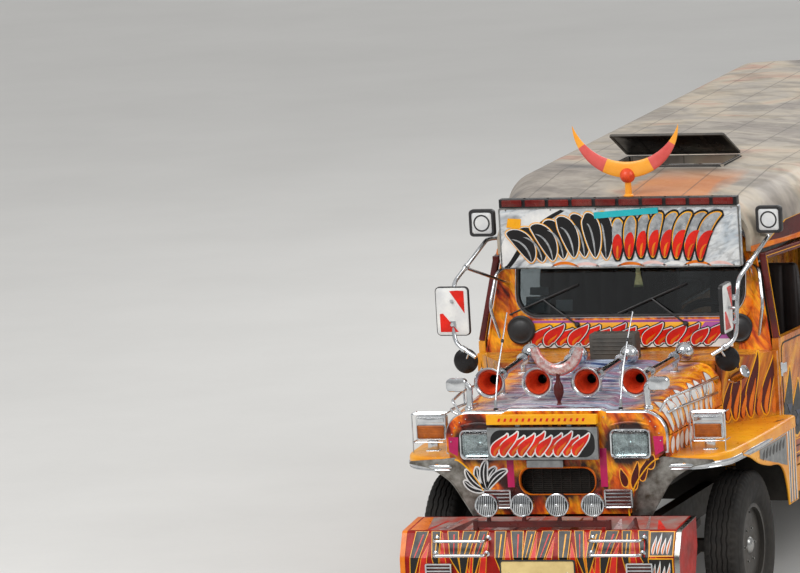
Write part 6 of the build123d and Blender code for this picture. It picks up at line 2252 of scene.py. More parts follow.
@dataclass
class RoofTop:
    """What stands on the roof: the crest, the hatch's lip and flap, and the rain channels."""

    hatch_y: tuple[float, float] = (2.190, 2.516)
    hatch_half: float = 0.295
    rim_top: float = 2.102
    hinge: tuple[float, float] = (2.520, 2.110)
    flap: Triple = (0.622, 0.335, 0.018)
    open_degrees: float = 25.0

    def crest(self) -> None:
        """Make the crescent as a flattened horn, banded in two colours, with a ball on a post."""
        s = np.linspace(-1, 1, 61)
        half_span, tip, foot, belly = 0.283, 2.410, 2.135, 2.218
        edges = []
        for level in (foot, belly):
            radius = ((tip - level) ** 2 + half_span ** 2) / (2 * (tip - level))
            sweep = math.asin(min(half_span / radius, 1.0)) * s
            edges.append(np.stack([radius * np.sin(sweep), level + radius * (1 - np.cos(sweep))], -1))
        middle, half = (edges[0] + edges[1]) / 2, np.linalg.norm(edges[0] - edges[1], axis=1) / 2
        path = np.stack([middle[:, 0], np.full(61, 1.490), middle[:, 1]], -1)
        thin = np.clip(half / 0.0325, 0.12, 1)[:, None]
        broad = unit(np.cross(unit(np.gradient(path, axis=0)), REARWARDS))
        turn = np.linspace(0, 2 * math.pi, 24, endpoint=False)
        rings = (path[:, None] + (half[:, None] * np.cos(turn))[..., None] * broad[:, None]
            + (0.0105 * thin * np.sign(np.sin(turn)) * np.abs(np.sin(turn)) ** 0.7)[..., None]
            * np.array([0, 1.0, 0]))
        horn = capped(rings)
        bands = np.interp(np.abs(s), (0.0, 0.30, 0.31, 0.72, 0.73, 1.0),
            (1, 1, 0, 0, 1, 1)).round().astype(int)
        horn.finish = bands[np.clip(np.arange(len(horn.faces)) // 24 - 1, 0, 60)]
        post = lathe((0, 1.490, 2.036), UPWARDS, ((0, 0.026), (0.010, 0.026), (0.018, 0.018),
            (0.080, 0.016), (0.110, 0.020)), 24)
        ball = lathe((0, 1.490, 2.148), UPWARDS, [(0.040 * math.sin(v), 0.040 * math.cos(v))
                                                    for v in np.linspace(-1.5, 1.5, 19)], 32)
        make("roof_crest", [horn, post.painted(1), ball.painted(2)],
            ("salmon_enamel", "saffron_enamel", "vermilion_enamel"), ["roof_ornament"])

    def hatch(self) -> None:
        """Make the hatch's rubber lip, and the flap with a folded edge, a dark liner and ribs."""
        low, high = self.hatch_y
        seat = Seat((0.0, (low + high) / 2, self.rim_top), up=REARWARDS)
        w, h = 2 * self.hatch_half, high - low
        lip = hoop(oblong(w + 0.002, h + 0.002, 0.012), oblong(w + 0.036, h + 0.036, 0.02),
            ((0.0, -0.030), (0.0, -0.001), (0.4, 0.003), (1.0, -0.001), (1.1, -0.012), (1.0, -0.012)), seat)
        make("hatch_lip", [lip], "rubber_seal")
        a = math.radians(self.open_degrees)
        up = (0.0, -math.cos(a), math.sin(a))
        wide, long, corner = self.flap
        hinge = np.array([0.0, *self.hinge]) + np.array(up) * long / 2
        flap_seat = Seat(tuple(hinge), right=RIGHTWARDS, up=up)
        skin = boss(flap_seat, self.flap, ((0.006, 0.003), (0.0, 0.005), (0.0, 0.010), (0.004, 0.013),
            (0.014, 0.014)))
        rim = hoop(oblong(wide - 0.03, long - 0.03, 0.010), oblong(wide, long, corner),
                   ((0.0, 0.005), (0.0, 0.0), (1.0, 0.0), (1.0, 0.005)), flap_seat)
        liner = boss(flap_seat, (wide - 0.032, long - 0.032, 0.010),
            ((0.0, 0.005), (0.0, 0.0025), (0.002, 0.002)))
        ribs = [patch(flap_seat, ((x - 0.010, -0.15), (x + 0.010, -0.15), (x + 0.010, 0.15),
            (x - 0.010, 0.15)), 0.0005) for x in (-0.18, 0.0, 0.18)]
        make("hatch_flap", [skin, rim, liner.painted(1), *[rib.painted(1) for rib in ribs]],
            ("vent_grey_enamel", "black_enamel"), ["roof_hatch"], body=Body.HATCH)

    def channels(self) -> None:
        """Run rain channels with rows of rivets along the roof and paint a wedge on its front corners."""
        shells = []
        line = smooth(((0.676, 1.352), (0.752, 1.700), (0.862, 2.200), (0.866, 2.6), (0.866, 4.2),
            (0.866, 6.2), (0.856, 6.486)), 60)
        path = np.stack([line[:, 0], line[:, 1], np.full(60, 1.776)], -1)
        shells.append(tube(path, 0.012, 10, 0.6, facing=UPWARDS))
        shells.append(tube(path + np.array([0.0, 0.0, 0.014]), 0.005, 8))
        rivet = lathe((0, 0, 0), LEFTWARDS, ((0, 0.005), (0.003, 0.0035)), 8)
        rows = rivet.copies([(0.8715, y, 1.800) for y in spread(2.35, 6.25, 40)])
        make("rain_channels", both([*shells, rows]), "orange_enamel")
        eave = Seat((0.675, 1.350, 0.0), right=(0.2318, 1.0, 0.0))
        wedge = ((0.170, 1.789), (0.860, 1.795), (0.860, 1.906), (0.380, 1.876))
        make("roof_side_wedges",
            both([patch(eave, wedge, 0.0006, 0.007).painted(1), patch(eave, wedge, 0.0012)]),
            ("oxblood_enamel", "yellow_enamel"))

    def build(self) -> None:
        """Make everything on the roof."""
        self.crest()
        self.hatch()
        self.channels()


@dataclass
class Wheels:
    """Tyres with ribbed road tread, rolled rim flanges, hub caps, nuts and valves."""

    track: float = 0.740
    axles: tuple[float, float] = (0.640, 4.550)
    radius: float = 0.380
    lugs: int = 64
    grooves: tuple[float, ...] = (-0.040, -0.0135, 0.0135, 0.040)
    groove_depth: float = 0.008
    notch_depth: float = 0.006
    bead: float = 0.2035

    def tyre(self, centre: np.ndarray) -> Shell:
        """Make one tyre: a section carried round the axle, cut by grooves and shoulder notches.

        The section is r(x). On the tread r drops by 8 mm along four grooves whose centre lines sway with
        the angle, and on each shoulder by 6 mm over half of every lug.

        Args:
            centre: The wheel's middle.

        Returns:
            The shell.
        """
        half = np.array([(0.066, 0.204), (0.073, 0.206), (0.077, 0.214), (0.079, 0.220), (0.0795, 0.222),
            (0.083, 0.226), (0.088, 0.240), (0.0925, 0.262), (0.0945, 0.284), (0.0950, 0.290),
            (0.0942, 0.306), (0.0915, 0.325), (0.0900, 0.333), (0.0888, 0.3345), (0.0860, 0.345),
            (0.0825, 0.358), (0.0795, 0.3655), (0.0735, 0.3735), (0.0650, 0.3790)])
        across = np.linspace(0.060, 0.0, 34)
        tread = np.stack([across, self.radius - 0.0012 * (across / 0.06) ** 2], -1)
        side = np.concatenate([half, tread])
        outline = np.concatenate([side, side[-2::-1] * np.array([-1.0, 1.0])])
        x, r = outline[None, :, 0], outline[None, :, 1]
        turn = np.linspace(0, 2 * math.pi, 320, endpoint=False)[:, None]
        lug = np.clip(np.sin(self.lugs * turn + np.where(x > 0, 0.0, 1.6)) * 4 + 0.5, 0, 1)
        cut = np.zeros_like(x * turn)
        for at in self.grooves:
            sway = at + 0.0022 * np.clip(3 * np.sin(self.lugs * turn / 2), -1, 1)
            cut = np.maximum(cut, np.clip(1.6 - np.abs(x - sway) / 0.0022, 0, 1))
        shoulder = np.clip((r - 0.352) / 0.010, 0, 1) * np.clip((np.abs(x) - 0.052) / 0.006, 0, 1)
        depth = self.groove_depth * cut * (r > 0.37) + self.notch_depth * lug * shoulder
        reach = r - depth
        rings = np.stack([x + 0 * turn, reach * np.cos(turn), reach * np.sin(turn)], -1) + centre
        inner = np.stack(np.broadcast_arrays(np.array([-0.060, 0.060])[None], self.bead * np.cos(turn),
                                             self.bead * np.sin(turn)), -1) + centre
        return net(np.concatenate([rings, inner], axis=1), wrap_rows=True)

    def fittings(self, centre: np.ndarray, s: float) -> list[Shell]:
        """Make what is fixed to one rim.

        Args:
            centre: The wheel's middle.
            s: One for the vehicle's left, minus one for its right.

        Returns:
            Flanges with finish nought, cap and nuts with finish one, valve with finish two.
        """
        out = np.array([s, 0.0, 0.0])
        ring = [(0.052, 0.196), (0.066, 0.198), (0.074, 0.205), (0.0755, 0.2125), (0.0735, 0.2165),
            (0.070, 0.2150), (0.070, 0.2085), (0.062, 0.2040), (0.052, 0.2030)]
        parts = [lathe(centre, out * side, ring + [ring[0]], 72) for side in (1, -1)]
        dish = [(0.0272, 0.060), (0.0285, 0.066), (0.0365, 0.082), (0.0380, 0.098), (0.0300, 0.112),
            (0.0276, 0.118), (0.0272, 0.100)]
        parts.append(lathe(centre, out, dish, 64))
        cap = [(0.0260, 0.060), (0.0300, 0.062), (0.0340, 0.058), (0.0360, 0.047), (0.0520, 0.044),
            (0.0640, 0.036), (0.0700, 0.022), (0.0715, 0.006)]
        parts.append(lathe(centre, out, cap, 48).painted(1))
        nut = lathe(centre, out, ((0.030, 0.0125), (0.0500, 0.0125), (0.0520, 0.0105), (0.0525, 0.0065),
            (0.0600, 0.0060)), 6)
        turn = np.arange(6) * math.pi / 3
        spots_at = np.stack([0 * turn, 0.089 * np.cos(turn), 0.089 * np.sin(turn)], -1)
        parts.append(nut.copies(spots_at).painted(1))
        stem = np.array([(s * 0.030, 0.0, 0.176), (s * 0.046, 0.0, 0.172),
            (s * 0.066, 0.0, 0.166)]) + centre
        parts.append(tube(stem, np.array([0.006, 0.005, 0.0042]), 10).painted(2))
        return parts

    def build(self) -> None:
        """Make the four wheels."""
        bodies = {("left", 0): Body.FRONT_LEFT, ("right", 0): Body.FRONT_RIGHT, ("left", 1): Body.REAR_LEFT,
                  ("right", 1): Body.REAR_RIGHT}
        for (side, axle), body in bodies.items():
            s = 1.0 if side == "left" else -1.0
            centre = np.array([s * self.track, self.axles[axle], self.radius])
            name = body.value.replace("_wheel", "")
            make(f"{name}_tread", [self.tyre(centre)], "tyre_rubber", [f"{name}_tyre"],
                body=body)
            make(f"{name}_hub_fittings", self.fittings(centre, s), ("wheel_grey_enamel", "stainless_sheet",
                "moulded_black_plastic"), body=body)


def cushion(low: Sequence[float], high: Sequence[float], along: int, top: int, pleats: int,
            crown: float = 0.010, seam: float = 0.007) -> Shell:
    """Stuffed pad: rounded sections carried along one axis and drawn in to a rounded end.

    Each section is a superellipse of power five. Its outer side bulges by a crown that fades towards its
    edges, and every seam presses it in by a narrow bell curve. Its other sides draw in between seams.

    Args:
        low: Lowest corner of its space.
        high: Highest corner of its space.
        along: Axis that the sections are carried along.
        top: Axis that its crowned side faces, negative for the low side.
        pleats: Number of stuffed channels.
        crown: Height of the crown.
        seam: Depth of the sewn seams.

    Returns:
        The shell.
    """
    low, high = np.asarray(low, float), np.asarray(high, float)
    middle, half = (low + high) / 2, (high - low) / 2
    face, sign = abs(top), -1.0 if math.copysign(1, top) < 0 else 1.0
    aside = 3 - along - face
    count = 14 * pleats + 13
    s = np.linspace(-1, 1, count)[:, None]
    turn = np.linspace(0, 2 * math.pi, 48, endpoint=False)[None, :]
    a = np.sign(np.cos(turn)) * np.abs(np.cos(turn)) ** 0.36
    b = np.sign(np.sin(turn)) * np.abs(np.sin(turn)) ** 0.36
    round_end = np.clip((1 - np.abs(s) ** (8 * half[along] / half[face])), 0, 1) ** 0.45
    near = np.abs((s + 1) / 2 * pleats - np.round((s + 1) / 2 * pleats)) * 2 * half[along] / pleats
    press = np.exp(-(near / 0.010) ** 2) * (np.abs(s) < 1 - 0.4 / pleats)
    puff = 1 - np.exp(-(near / 0.05) ** 2)
    upper = np.clip(b, 0, 1) ** 1.5
    rise = (half[face] - crown) * b + crown * upper * (1 - a ** 4) * (0.4 + 0.6
        * puff) - seam * press * upper
    wide = (half[aside] - 0.004) * a * (1 - 0.012 * (1 - puff))
    points = np.empty((count, 48, 3))
    points[..., along] = middle[along] + half[along] * s
    points[..., aside] = middle[aside] + wide * (0.25 + 0.75 * round_end)
    points[..., face] = middle[face] + sign * rise * (0.30 + 0.70 * round_end)
    return capped(points)


@dataclass
class Cabin:
    """Stuffed seats and benches, dials on the dashboard and the steering wheel's grip."""

    bench_y: tuple[float, float] = (2.450, 6.350)
    seats: tuple[tuple[float, float, str], ...] = ((0.220, 0.700, "driver"), (-0.700, 0.060, "cab"))

    def pad(self, name: str, shells: Sequence[Shell], replaces: Sequence[str] = ()) -> None:
        piece = make(name, shells, "black_vinyl", replaces, 60.0)

    def front(self) -> None:
        """Make the cab seats: a boxed base, a pleated cushion and a pleated back with a welt."""
        bases = []
        for k, (low, high, name) in enumerate(self.seats):
            pleats = 6 if high - low < 0.6 else 9
            self.pad(f"{name}_seat_cushion",
                [cushion((low - 0.008, 1.735, 1.030), (high + 0.008, 2.076, 1.148), 0, 2, pleats)],
                ["front_seats"] if k == 0 else ())
            self.pad(f"{name}_seat_back",
                [cushion((low + 0.002, 2.085, 1.080), (high - 0.002, 2.178, 1.596), 0, -1, pleats)])
            bases.append(box((low + 0.01, 1.765, 0.752), (high - 0.01, 2.125, 1.029), 0.006))
            bases.append(box((low + 0.05, 2.100, 0.80), (low + 0.08, 2.150, 1.09), 0.004))
            bases.append(box((high - 0.08, 2.100, 0.80), (high - 0.05, 2.150, 1.09), 0.004))
            welt = rounded(((low, 1.738, 1.040), (low, 2.070, 1.040), (high, 2.070, 1.040),
                (high, 1.738, 1.040)), 0.03, 5)
            bases.append(tube(welt, 0.004, 8))
        make("cab_seat_bases", bases, "black_enamel")

    def benches(self) -> None:
        """Make the long benches: kick panels, four cushions and a stuffed back rail on each side."""
        low, high = self.bench_y
        joints = np.linspace(low + 0.01, high - 0.01, 5)
        for side, s in SIDES:
            pads, rails = [], []
            for first, last in zip(joints[:-1], joints[1:]):
                x = sorted((s * 0.484, s * 0.796))
                pads.append(cushion((x[0], first + 0.003, 1.088), (x[1], last - 0.003, 1.178), 1, 2, 7))
                x = sorted((s * 0.803, s * 0.848))
                shell = cushion((x[0], first + 0.003, 1.175), (x[1], last - 0.003, 1.308), 1, 0, 7, 0.006,
                    0.005)
                rails.append(shell)
            self.pad(f"{side}_bench_cushions", pads, ["benches"] if side == "left" else ())
            self.pad(f"{side}_bench_back_rail", rails)
        panels = [box((0.500, low, 0.752), (0.514, high, 1.086), 0.003),
            box((0.500, low, 1.074), (0.849, high, 1.0865), 0.002)]
        panels += [box((0.514, y - 0.012, 0.80), (0.560, y + 0.012, 1.07), 0.003)
            for y in spread(low + 0.05, high - 0.05, 5)]
        edge = tube(np.array([(0.503, low, 1.088), (0.500, (low + high) / 2, 1.088), (0.503, high, 1.088)]),
            0.0075, 10)
        make("bench_frames", both([*panels, edge.painted(1)]), ("side_flame_enamel", "stainless_sheet"))

    def instruments(self) -> None:
        """Set dials, switches and blank panels on the dashboard, which faces rearwards."""
        parts = []
        parts.append(boss(Seat((0.400, 1.470, 1.205), right=RIGHTWARDS), (0.360, 0.120, 0.030),
                          ((0.004, 0.0), (0.0, 0.006), (0.0, 0.016), (0.006, 0.020))).painted(0))
        for x, size in ((0.500, 0.036), (0.400, 0.046), (0.300, 0.036)):
            at = (x, 1.490, 1.206)
            parts.append(lathe(at, REARWARDS, ((-0.004, size), (0.006, size), (0.009, size - 0.002),
                (0.009, size - 0.006), (0.003, size - 0.007)), 36).painted(1))
            parts.append(lathe(at, REARWARDS, ((0.0, size - 0.007), (0.002, size - 0.007)), 36).painted(2))
            parts.append(lathe(at, REARWARDS, ((0.002, 0.005), (0.005, 0.004)), 12).painted(3))
            for k in range(9):
                a = math.radians(-40 + k * 32.5)
                c, d = math.cos(a), math.sin(a)
                tick = np.array([(x - c * (size - 0.014), 1.4922, 1.206 + d * (size - 0.014)),
                                 (x - c * (size - 0.009), 1.4922, 1.206 + d * (size - 0.009))])
                parts.append(tube(tick, 0.0009, 5).painted(0))
            parts.append(tube(np.array([(x, 1.4945, 1.206), (x + 0.5 * size, 1.4945, 1.206 + 0.35 * size)]),
                0.0012, 6).painted(3))
        for x in spread(-0.10, 0.14, 4):
            parts.append(lathe((x, 1.470, 1.165), REARWARDS, ((0, 0.014), (0.004, 0.014), (0.006, 0.009),
                (0.020, 0.010), (0.024, 0.008)), 20).painted(1))
        parts.append(boss(Seat((0.02, 1.470, 1.225), right=RIGHTWARDS), (0.190, 0.056, 0.006),
            ((0, 0.0), (0, 0.004), (0.003, 0.007))).painted(0))
        parts.append(boss(Seat((-0.40, 1.470, 1.200), right=RIGHTWARDS), (0.340, 0.120, 0.012),
            ((0, 0.0), (0, 0.004), (0.002, 0.006))).painted(0))
        parts.append(lathe((-0.40, 1.476, 1.243), REARWARDS, ((0, 0.012), (0.006, 0.012), (0.009, 0.009)),
            18).painted(1))
        make("dashboard_dials", parts, ("moulded_black_plastic", "chrome_plate", "white_enamel",
            "scarlet_enamel"))

    def steering(self) -> None:
        """Add the horn button and the grip's finger ridges to the steering wheel."""
        hub = np.array([0.400, 1.640, 1.330])
        column = unit(hub - np.array([0.400, 1.250, 1.010]))
        aside = np.array([1.0, 0.0, 0.0])
        upward = np.cross(column, aside)
        turn = np.linspace(0, 2 * math.pi, 240, endpoint=False)[:, None, None]
        ring = np.linspace(0, 2 * math.pi, 18, endpoint=False)[None, :, None]
        spoke = np.cos(turn) * aside + np.sin(turn) * upward
        size = 0.0142 - 0.0008 * np.abs(np.sin(turn * 36))
        points = hub - column * 0.012 + spoke * (0.200 + size * np.cos(ring)) + column * size * np.sin(ring)
        horn = lathe(hub, column, ((0.020, 0.034), (0.027, 0.034), (0.032, 0.028), (0.035, 0.012)), 32)
        make("steering_grip", [net(points, wrap_rows=True), horn.painted(1)],
            ("moulded_black_plastic", "chrome_plate"), body=Body.STEERING)

    def build(self) -> None:
        """Make the whole cabin."""
        self.front()
        self.benches()
        self.instruments()
        self.steering()


def beam(start: Sequence[float], end: Sequence[float], width: float, depth: float) -> Shell:
    """Straight sleeve with a rounded rectangular section, its width along x.

    Args:
        start: Middle of its first end.
        end: Middle of its last end.
        width: Size along x.
        depth: Size square to x and to its run.

    Returns:
        The shell.
    """
    start, end = np.asarray(start, float), np.asarray(end, float)
    run = unit(end - start)
    aside = unit(np.array([1.0, 0.0, 0.0]) - run[0] * run)
    over = np.cross(run, aside)
    outline = oblong(width, depth, 0.005, 4)
    ring = outline[:, :1] * aside + outline[:, 1:] * over
    return capped(np.stack([start + 0.9 * ring, start + ring, end + ring, end + 0.9 * ring]))


@dataclass
class Sides:
    """Sheet sides of the passenger box with their mouldings, the window frames and the doors' fittings."""

    ends: tuple[float, float] = (2.155, 6.445)
    sill: float = 1.320
    hem: float = 0.500
    skin: float = 0.8755
    back: float = 0.850
    axle: tuple[float, float] = (4.550, 0.380)
    arch: float = 0.470
    windows: tuple[float, float] = (2.250, 6.390)
    count: int = 6
    pillar: float = 0.045
    window_top: float = 1.745
    header: float = 1.770

    def foot(self, y: np.ndarray) -> np.ndarray:
        """Lower edge of the side: the hem, lifted over the wheel by a circle."""
        away = np.clip(self.arch ** 2 - (y - self.axle[0]) ** 2, 0, None)
        return np.maximum(self.hem, self.axle[1] + np.sqrt(away))

    def panels(self) -> None:
        """Make the sides: one sheet each with a turned-in edge, and the sills under the doors."""
        reach = math.sqrt(self.arch ** 2 - (self.hem - self.axle[1]) ** 2)
        over = self.axle[0] + reach * np.sin(np.linspace(-math.pi / 2, math.pi / 2, 49))
        y = np.unique(np.concatenate([np.linspace(*self.ends, 60), over]))
        low = self.foot(y)[:, None]
        z = low + (self.sill - low) * np.linspace(0, 1, 12)[None, :]
        grid = np.stack([np.full(z.shape, self.skin), np.broadcast_to(y[:, None], z.shape), z], -1)
        inner = grid.copy()
        inner[..., 0] = self.back
        plan = np.array([(0.770, 1.330), (0.798, 1.330), (0.853, 2.160), (0.830, 2.160)])
        sill = capped(np.stack([np.concatenate([plan, np.full((4, 1), z)], 1) for z in (0.500, 0.630)]))
        block = box((0.825, 2.155, 0.500), (0.860, 2.185, 0.630), 0.002)
        make("side_panels", both([slab(grid, inner), sill, block]), "side_flame_enamel",
            ["body_sides"])

    def bay(self) -> float:
        """Distance from one window to the next."""
        return (self.windows[1] - self.windows[0] + self.pillar) / self.count

    def frames(self) -> None:
        """Make the window frames: header, posts and pillars, each with softened edges."""
        x, face = self.back, self.skin + 0.001
        first, last = self.windows
        parts = [box((x, self.ends[0], self.window_top), (face, self.ends[1], self.header), 0.003),
                 box((x, self.ends[0], self.sill), (face, first, self.window_top), 0.003),
                 box((x, last, self.sill), (face, self.ends[1], self.window_top), 0.003)]
        for k in range(1, self.count):
            y = first + k * self.bay()
            parts.append(box((x, y - self.pillar, self.sill), (face, y, self.window_top), 0.003))
        make("window_posts", both(parts), "oxblood_enamel", ["window_frames"])
        width, height = self.bay() - self.pillar, self.window_top - self.sill
        beads, lines = [], []
        for k in range(self.count):
            middle = first + k * self.bay() + width / 2
            seat = Seat((self.skin, middle, (self.sill + self.window_top) / 2), right=REARWARDS)
            beads.append(hoop(oblong(width - 0.044, height - 0.044, 0.030, 8),
                oblong(width - 0.002, height - 0.002, 0.004, 8),
                ((0.0, -0.020), (0.0, -0.003), (0.10, 0.001), (0.92, 0.001), (1.0, -0.001), (1.0, -0.020)),
                seat))
            lines.append(hoop(oblong(width + 0.006, height + 0.006, 0.010, 8),
                oblong(width + 0.014, height + 0.014, 0.014, 8), ((0.0, 0.0), (0.0, 0.0016), (1.0, 0.0016),
                (1.0, 0.0)), seat).painted(1))
        make("window_beads", both([*beads, *lines]), ("stainless_sheet", "yellow_enamel"))

    def mouldings(self) -> None:
        """Run bright beads along the sill, the hem and the wheel opening, with cover strips and rivets."""
        first, last = self.ends
        away = np.linspace(first, last, 30)
        flat = {"sides": 12, "flat": 2.9}
        x = self.skin
        shells = [tube(np.stack([np.full(30, x), away, np.full(30, 1.300)], -1), 0.0042, facing=LEFTWARDS,
            **flat), tube(np.stack([np.full(30, x), away, np.full(30, 1.262)], -1), 0.0030,
            facing=LEFTWARDS, sides=10, flat=1.6)]
        reach = math.asin((self.hem - self.axle[1]) / self.arch)
        turn = np.linspace(reach, math.pi - reach, 60)
        centre = self.arch + 0.011
        lip = np.stack([np.full(60, x), self.axle[0] + centre * np.cos(turn),
            self.axle[1] + centre * np.sin(turn)], -1)
        shells.append(tube(lip, 0.0042, facing=LEFTWARDS, **flat))
        for low, high in ((first, self.axle[0] - 0.47), (self.axle[0] + 0.47, last)):
            run = np.linspace(low, high, 12)
            shells.append(tube(np.stack([np.full(12, x), run, np.full(12, self.hem + 0.014)], -1), 0.0042,
                               facing=LEFTWARDS, **flat))
        rivet = lathe((x, 0, 0), LEFTWARDS, ((0, 0.006), (0.0022, 0.005), (0.0038, 0.0025)), 8)
        rivets = []
        for k in range(self.count + 1):
            y = self.windows[0] - self.pillar / 2 + k * self.bay()
            y = min(max(y, first + 0.02), last - 0.02)
            low = float(self.foot(np.array([y]))[0]) + 0.03
            shells.append(box((x - 0.001, y - 0.014, low), (x + 0.0022, y + 0.014, 1.288),
                0.0008).painted(1))
            rivets.append(rivet.moved((0.0006, 0, 0)).copies([(0, y, z)
                for z in np.arange(low + 0.03, 1.27, 0.075)]))
        rows = rivet.copies([(0, y, 1.281) for y in np.linspace(first + 0.05, last - 0.05, 46)])
        make("side_mouldings", both([*shells, *rivets, rows]), ("stainless_sheet", "side_flame_enamel"))

    def flame_band(self) -> None:
        """Paint a low zigzag band of flame tongues along each side, above the hem and clear of the wheel."""
        shells = []
        for low, high, count in ((2.30, 3.98, 22), (5.12, 6.36, 16)):
            seat = Seat((self.skin, 0.0, 0.0), right=REARWARDS)
            tall = 0.20 + 0.05 * np.sin(np.arange(count) * 1.9)
            shells += tongues(seat, row(low, high, count, 0.530), tall, 0.45, 0.085, EDGED, 0.0004)
            shells += tongues(seat, row(low, high, count, 0.530), tall * 0.55, 0.45, 0.022, CORE, 0.0030)
        make("side_flame_band", both(shells), ("yellow_enamel", "oxblood_enamel", "orange_enamel"))

    def doors(self) -> None:
        """Dress each door: sleeves, a rubber seam, a latch, two hinges, a pull, stripes and flames."""
        for side, s in SIDES:
            body = Body.LEFT_DOOR if side == "left" else Body.RIGHT_DOOR
            foot, head = np.array([0.785, 1.356, 1.300]), np.array([0.712, 1.440, 1.730])
            tail, heel = np.array([0.838, 2.125, 1.730]), np.array([0.840, 2.125, 1.300])
            parts = [beam(foot + (0, 0, 0.021), head, 0.031, 0.037), beam(head, tail, 0.031, 0.033),
                     beam(heel + (0, 0, 0.021), tail, 0.031, 0.037),
                     box(head - (0.0165, 0.0195, 0.0185), head + (0.0165, 0.0195, 0.0180), 0.003),
                     box(tail - (0.0165, 0.0195, 0.0185), tail + (0.0165, 0.0195, 0.0180), 0.003)]
            out = np.array([0.0165, 0.0, 0.0])
            line = np.array([foot + (0, 0, 0.03), head, tail, heel + (0, 0, 0.03)]) + out
            parts.append(tube(line, 0.0022, 6).painted(1))
            front, rear = np.array([0.800, 1.335]), np.array([0.860, 2.145])
            along = unit(np.array([*(rear - front), 0.0]))
            face = Seat((front[0], front[1], 0.640), right=tuple(along))
            wide = float(np.linalg.norm(rear - front))
            rim = hoop(oblong(wide - 0.070, 0.600, 0.04, 8) + (wide / 2, 0.345),
                oblong(wide - 0.052, 0.618, 0.05, 8) + (wide / 2, 0.345),
                ((0, -0.002), (0.1, 0.0022), (0.9, 0.0022), (1, -0.002)), face)
            parts.append(rim.painted(2))
            latch = Seat(tuple(face.lay(np.array([wide - 0.110, 0.585]), -0.001)), right=tuple(along))
            parts.append(boss(latch, (0.060, 0.105, 0.012),
                ((0, 0), (0, 0.005), (0.004, 0.008), (0.010, 0.009))).painted(3))
            pull = latch.lay(np.array([(0.004, 0.030), (0.004, 0.030), (-0.050, 0.022), (-0.085, 0.010)]),
                             np.array([0.004, 0.017, 0.0185, 0.0165]))
            parts.append(tube(rounded(pull, 0.010, 4), 0.0065, 10, 0.8).painted(3))
            for level in (0.72, 1.16):
                knuckle = face.lay(np.array([(0.012, level - 0.640)]), 0.002)[0]
                parts.append(lathe(knuckle, UPWARDS, ((-0.036, 0.007), (-0.034, 0.009), (-0.001, 0.009),
                    (0.0, 0.0075), (0.001, 0.009), (0.034, 0.009), (0.036, 0.007)), 16).painted(4))
                leaf = Seat(tuple(face.lay(np.array([0.058, level - 0.640]), -0.001)), right=tuple(along))
                parts.append(boss(leaf, (0.080, 0.050, 0.008),
                    ((0, 0), (0, 0.003), (0.0015, 0.0042))).painted(4))
            for k, level in enumerate((0.700, 0.735, 0.770)):
                low = face.lay(np.array([(0.09, level - 0.640), (wide - 0.06, level - 0.640)]), 0.0005)
                parts.append(tube(np.linspace(low[0], low[1], 3), 0.0028, 8).painted(2 if k % 2 else 1))
            flames = []
            feet = row(0.085, wide - 0.110, 6, 0.150)
            high = (0.36, 0.28, 0.40, 0.30, 0.38, 0.26)
            for rise, grow, finish in ((1.0, 0.010, 1), (1.0, 0.0, 0), (0.60, -0.042, 2)):
                flames += tongues(face, feet, [rise * v for v in high], 0.16, 0.135, ((grow, finish),),
                                  0.0006 + 0.0012 * (finish == 0) + 0.0026 * (finish == 2), FLAME_WAY, 0.3)
            flames = flames if s > 0 else [part.mirrored() for part in flames]
            make(f"{side}_door_flames", flames, ("black_enamel", "yellow_enamel", "navy_enamel"),
                body=body)
            shells = parts if s > 0 else [part.mirrored() for part in parts]
            make(f"{side}_door_fittings", shells, ("oxblood_enamel", "yellow_enamel", "rubber_seal",
                "moulded_black_plastic", "chrome_plate"), body=body)

    def cowl(self) -> None:
        """Paint upright tongues on the cowl's slanted side and fix a short bright horn above them."""
        front, rear = np.array([0.585, 1.000]), np.array([0.798, 1.325])
        along = unit(np.array([*(rear - front), 0.0]))
        seat = Seat((0.585, 1.000, 0.0), right=tuple(along))
        feet = row(0.03, 0.34, 7, 0.945)
        tall = [0.24, 0.30, 0.22, 0.33, 0.26, 0.31, 0.23]
        marks = tongues(seat, feet, tall, ([0.20, 0.12, 0.24] * 3)[:7], 0.062, EDGED, 0.0004)
        marks += tongues(seat, feet, [v * 0.6 for v in tall], 0.2, 0.026, CORE, 0.0030)
        make("cowl_side_tongues", both(marks), ("yellow_enamel", "oxblood_enamel", "orange_enamel"))
        bell = ((-0.012, 0.020), (0.0, 0.024), (0.004, 0.030), (0.070, 0.031), (0.078, 0.034),
            (0.084, 0.0335), (0.086, 0.028), (0.078, 0.026))
        horn = lathe((0.634, 1.052, 1.168), (1.0, -0.40, 0.50), bell, 32)
        bracket = box((0.596, 1.040, 1.140), (0.650, 1.062, 1.160), 0.002)
        make("cowl_horns", both([horn, bracket]), "chrome_plate")

    def build(self) -> None:
        """Make both sides."""
        self.panels()
        self.frames()
        self.mouldings()
        self.flame_band()
        self.doors()
        self.cowl()


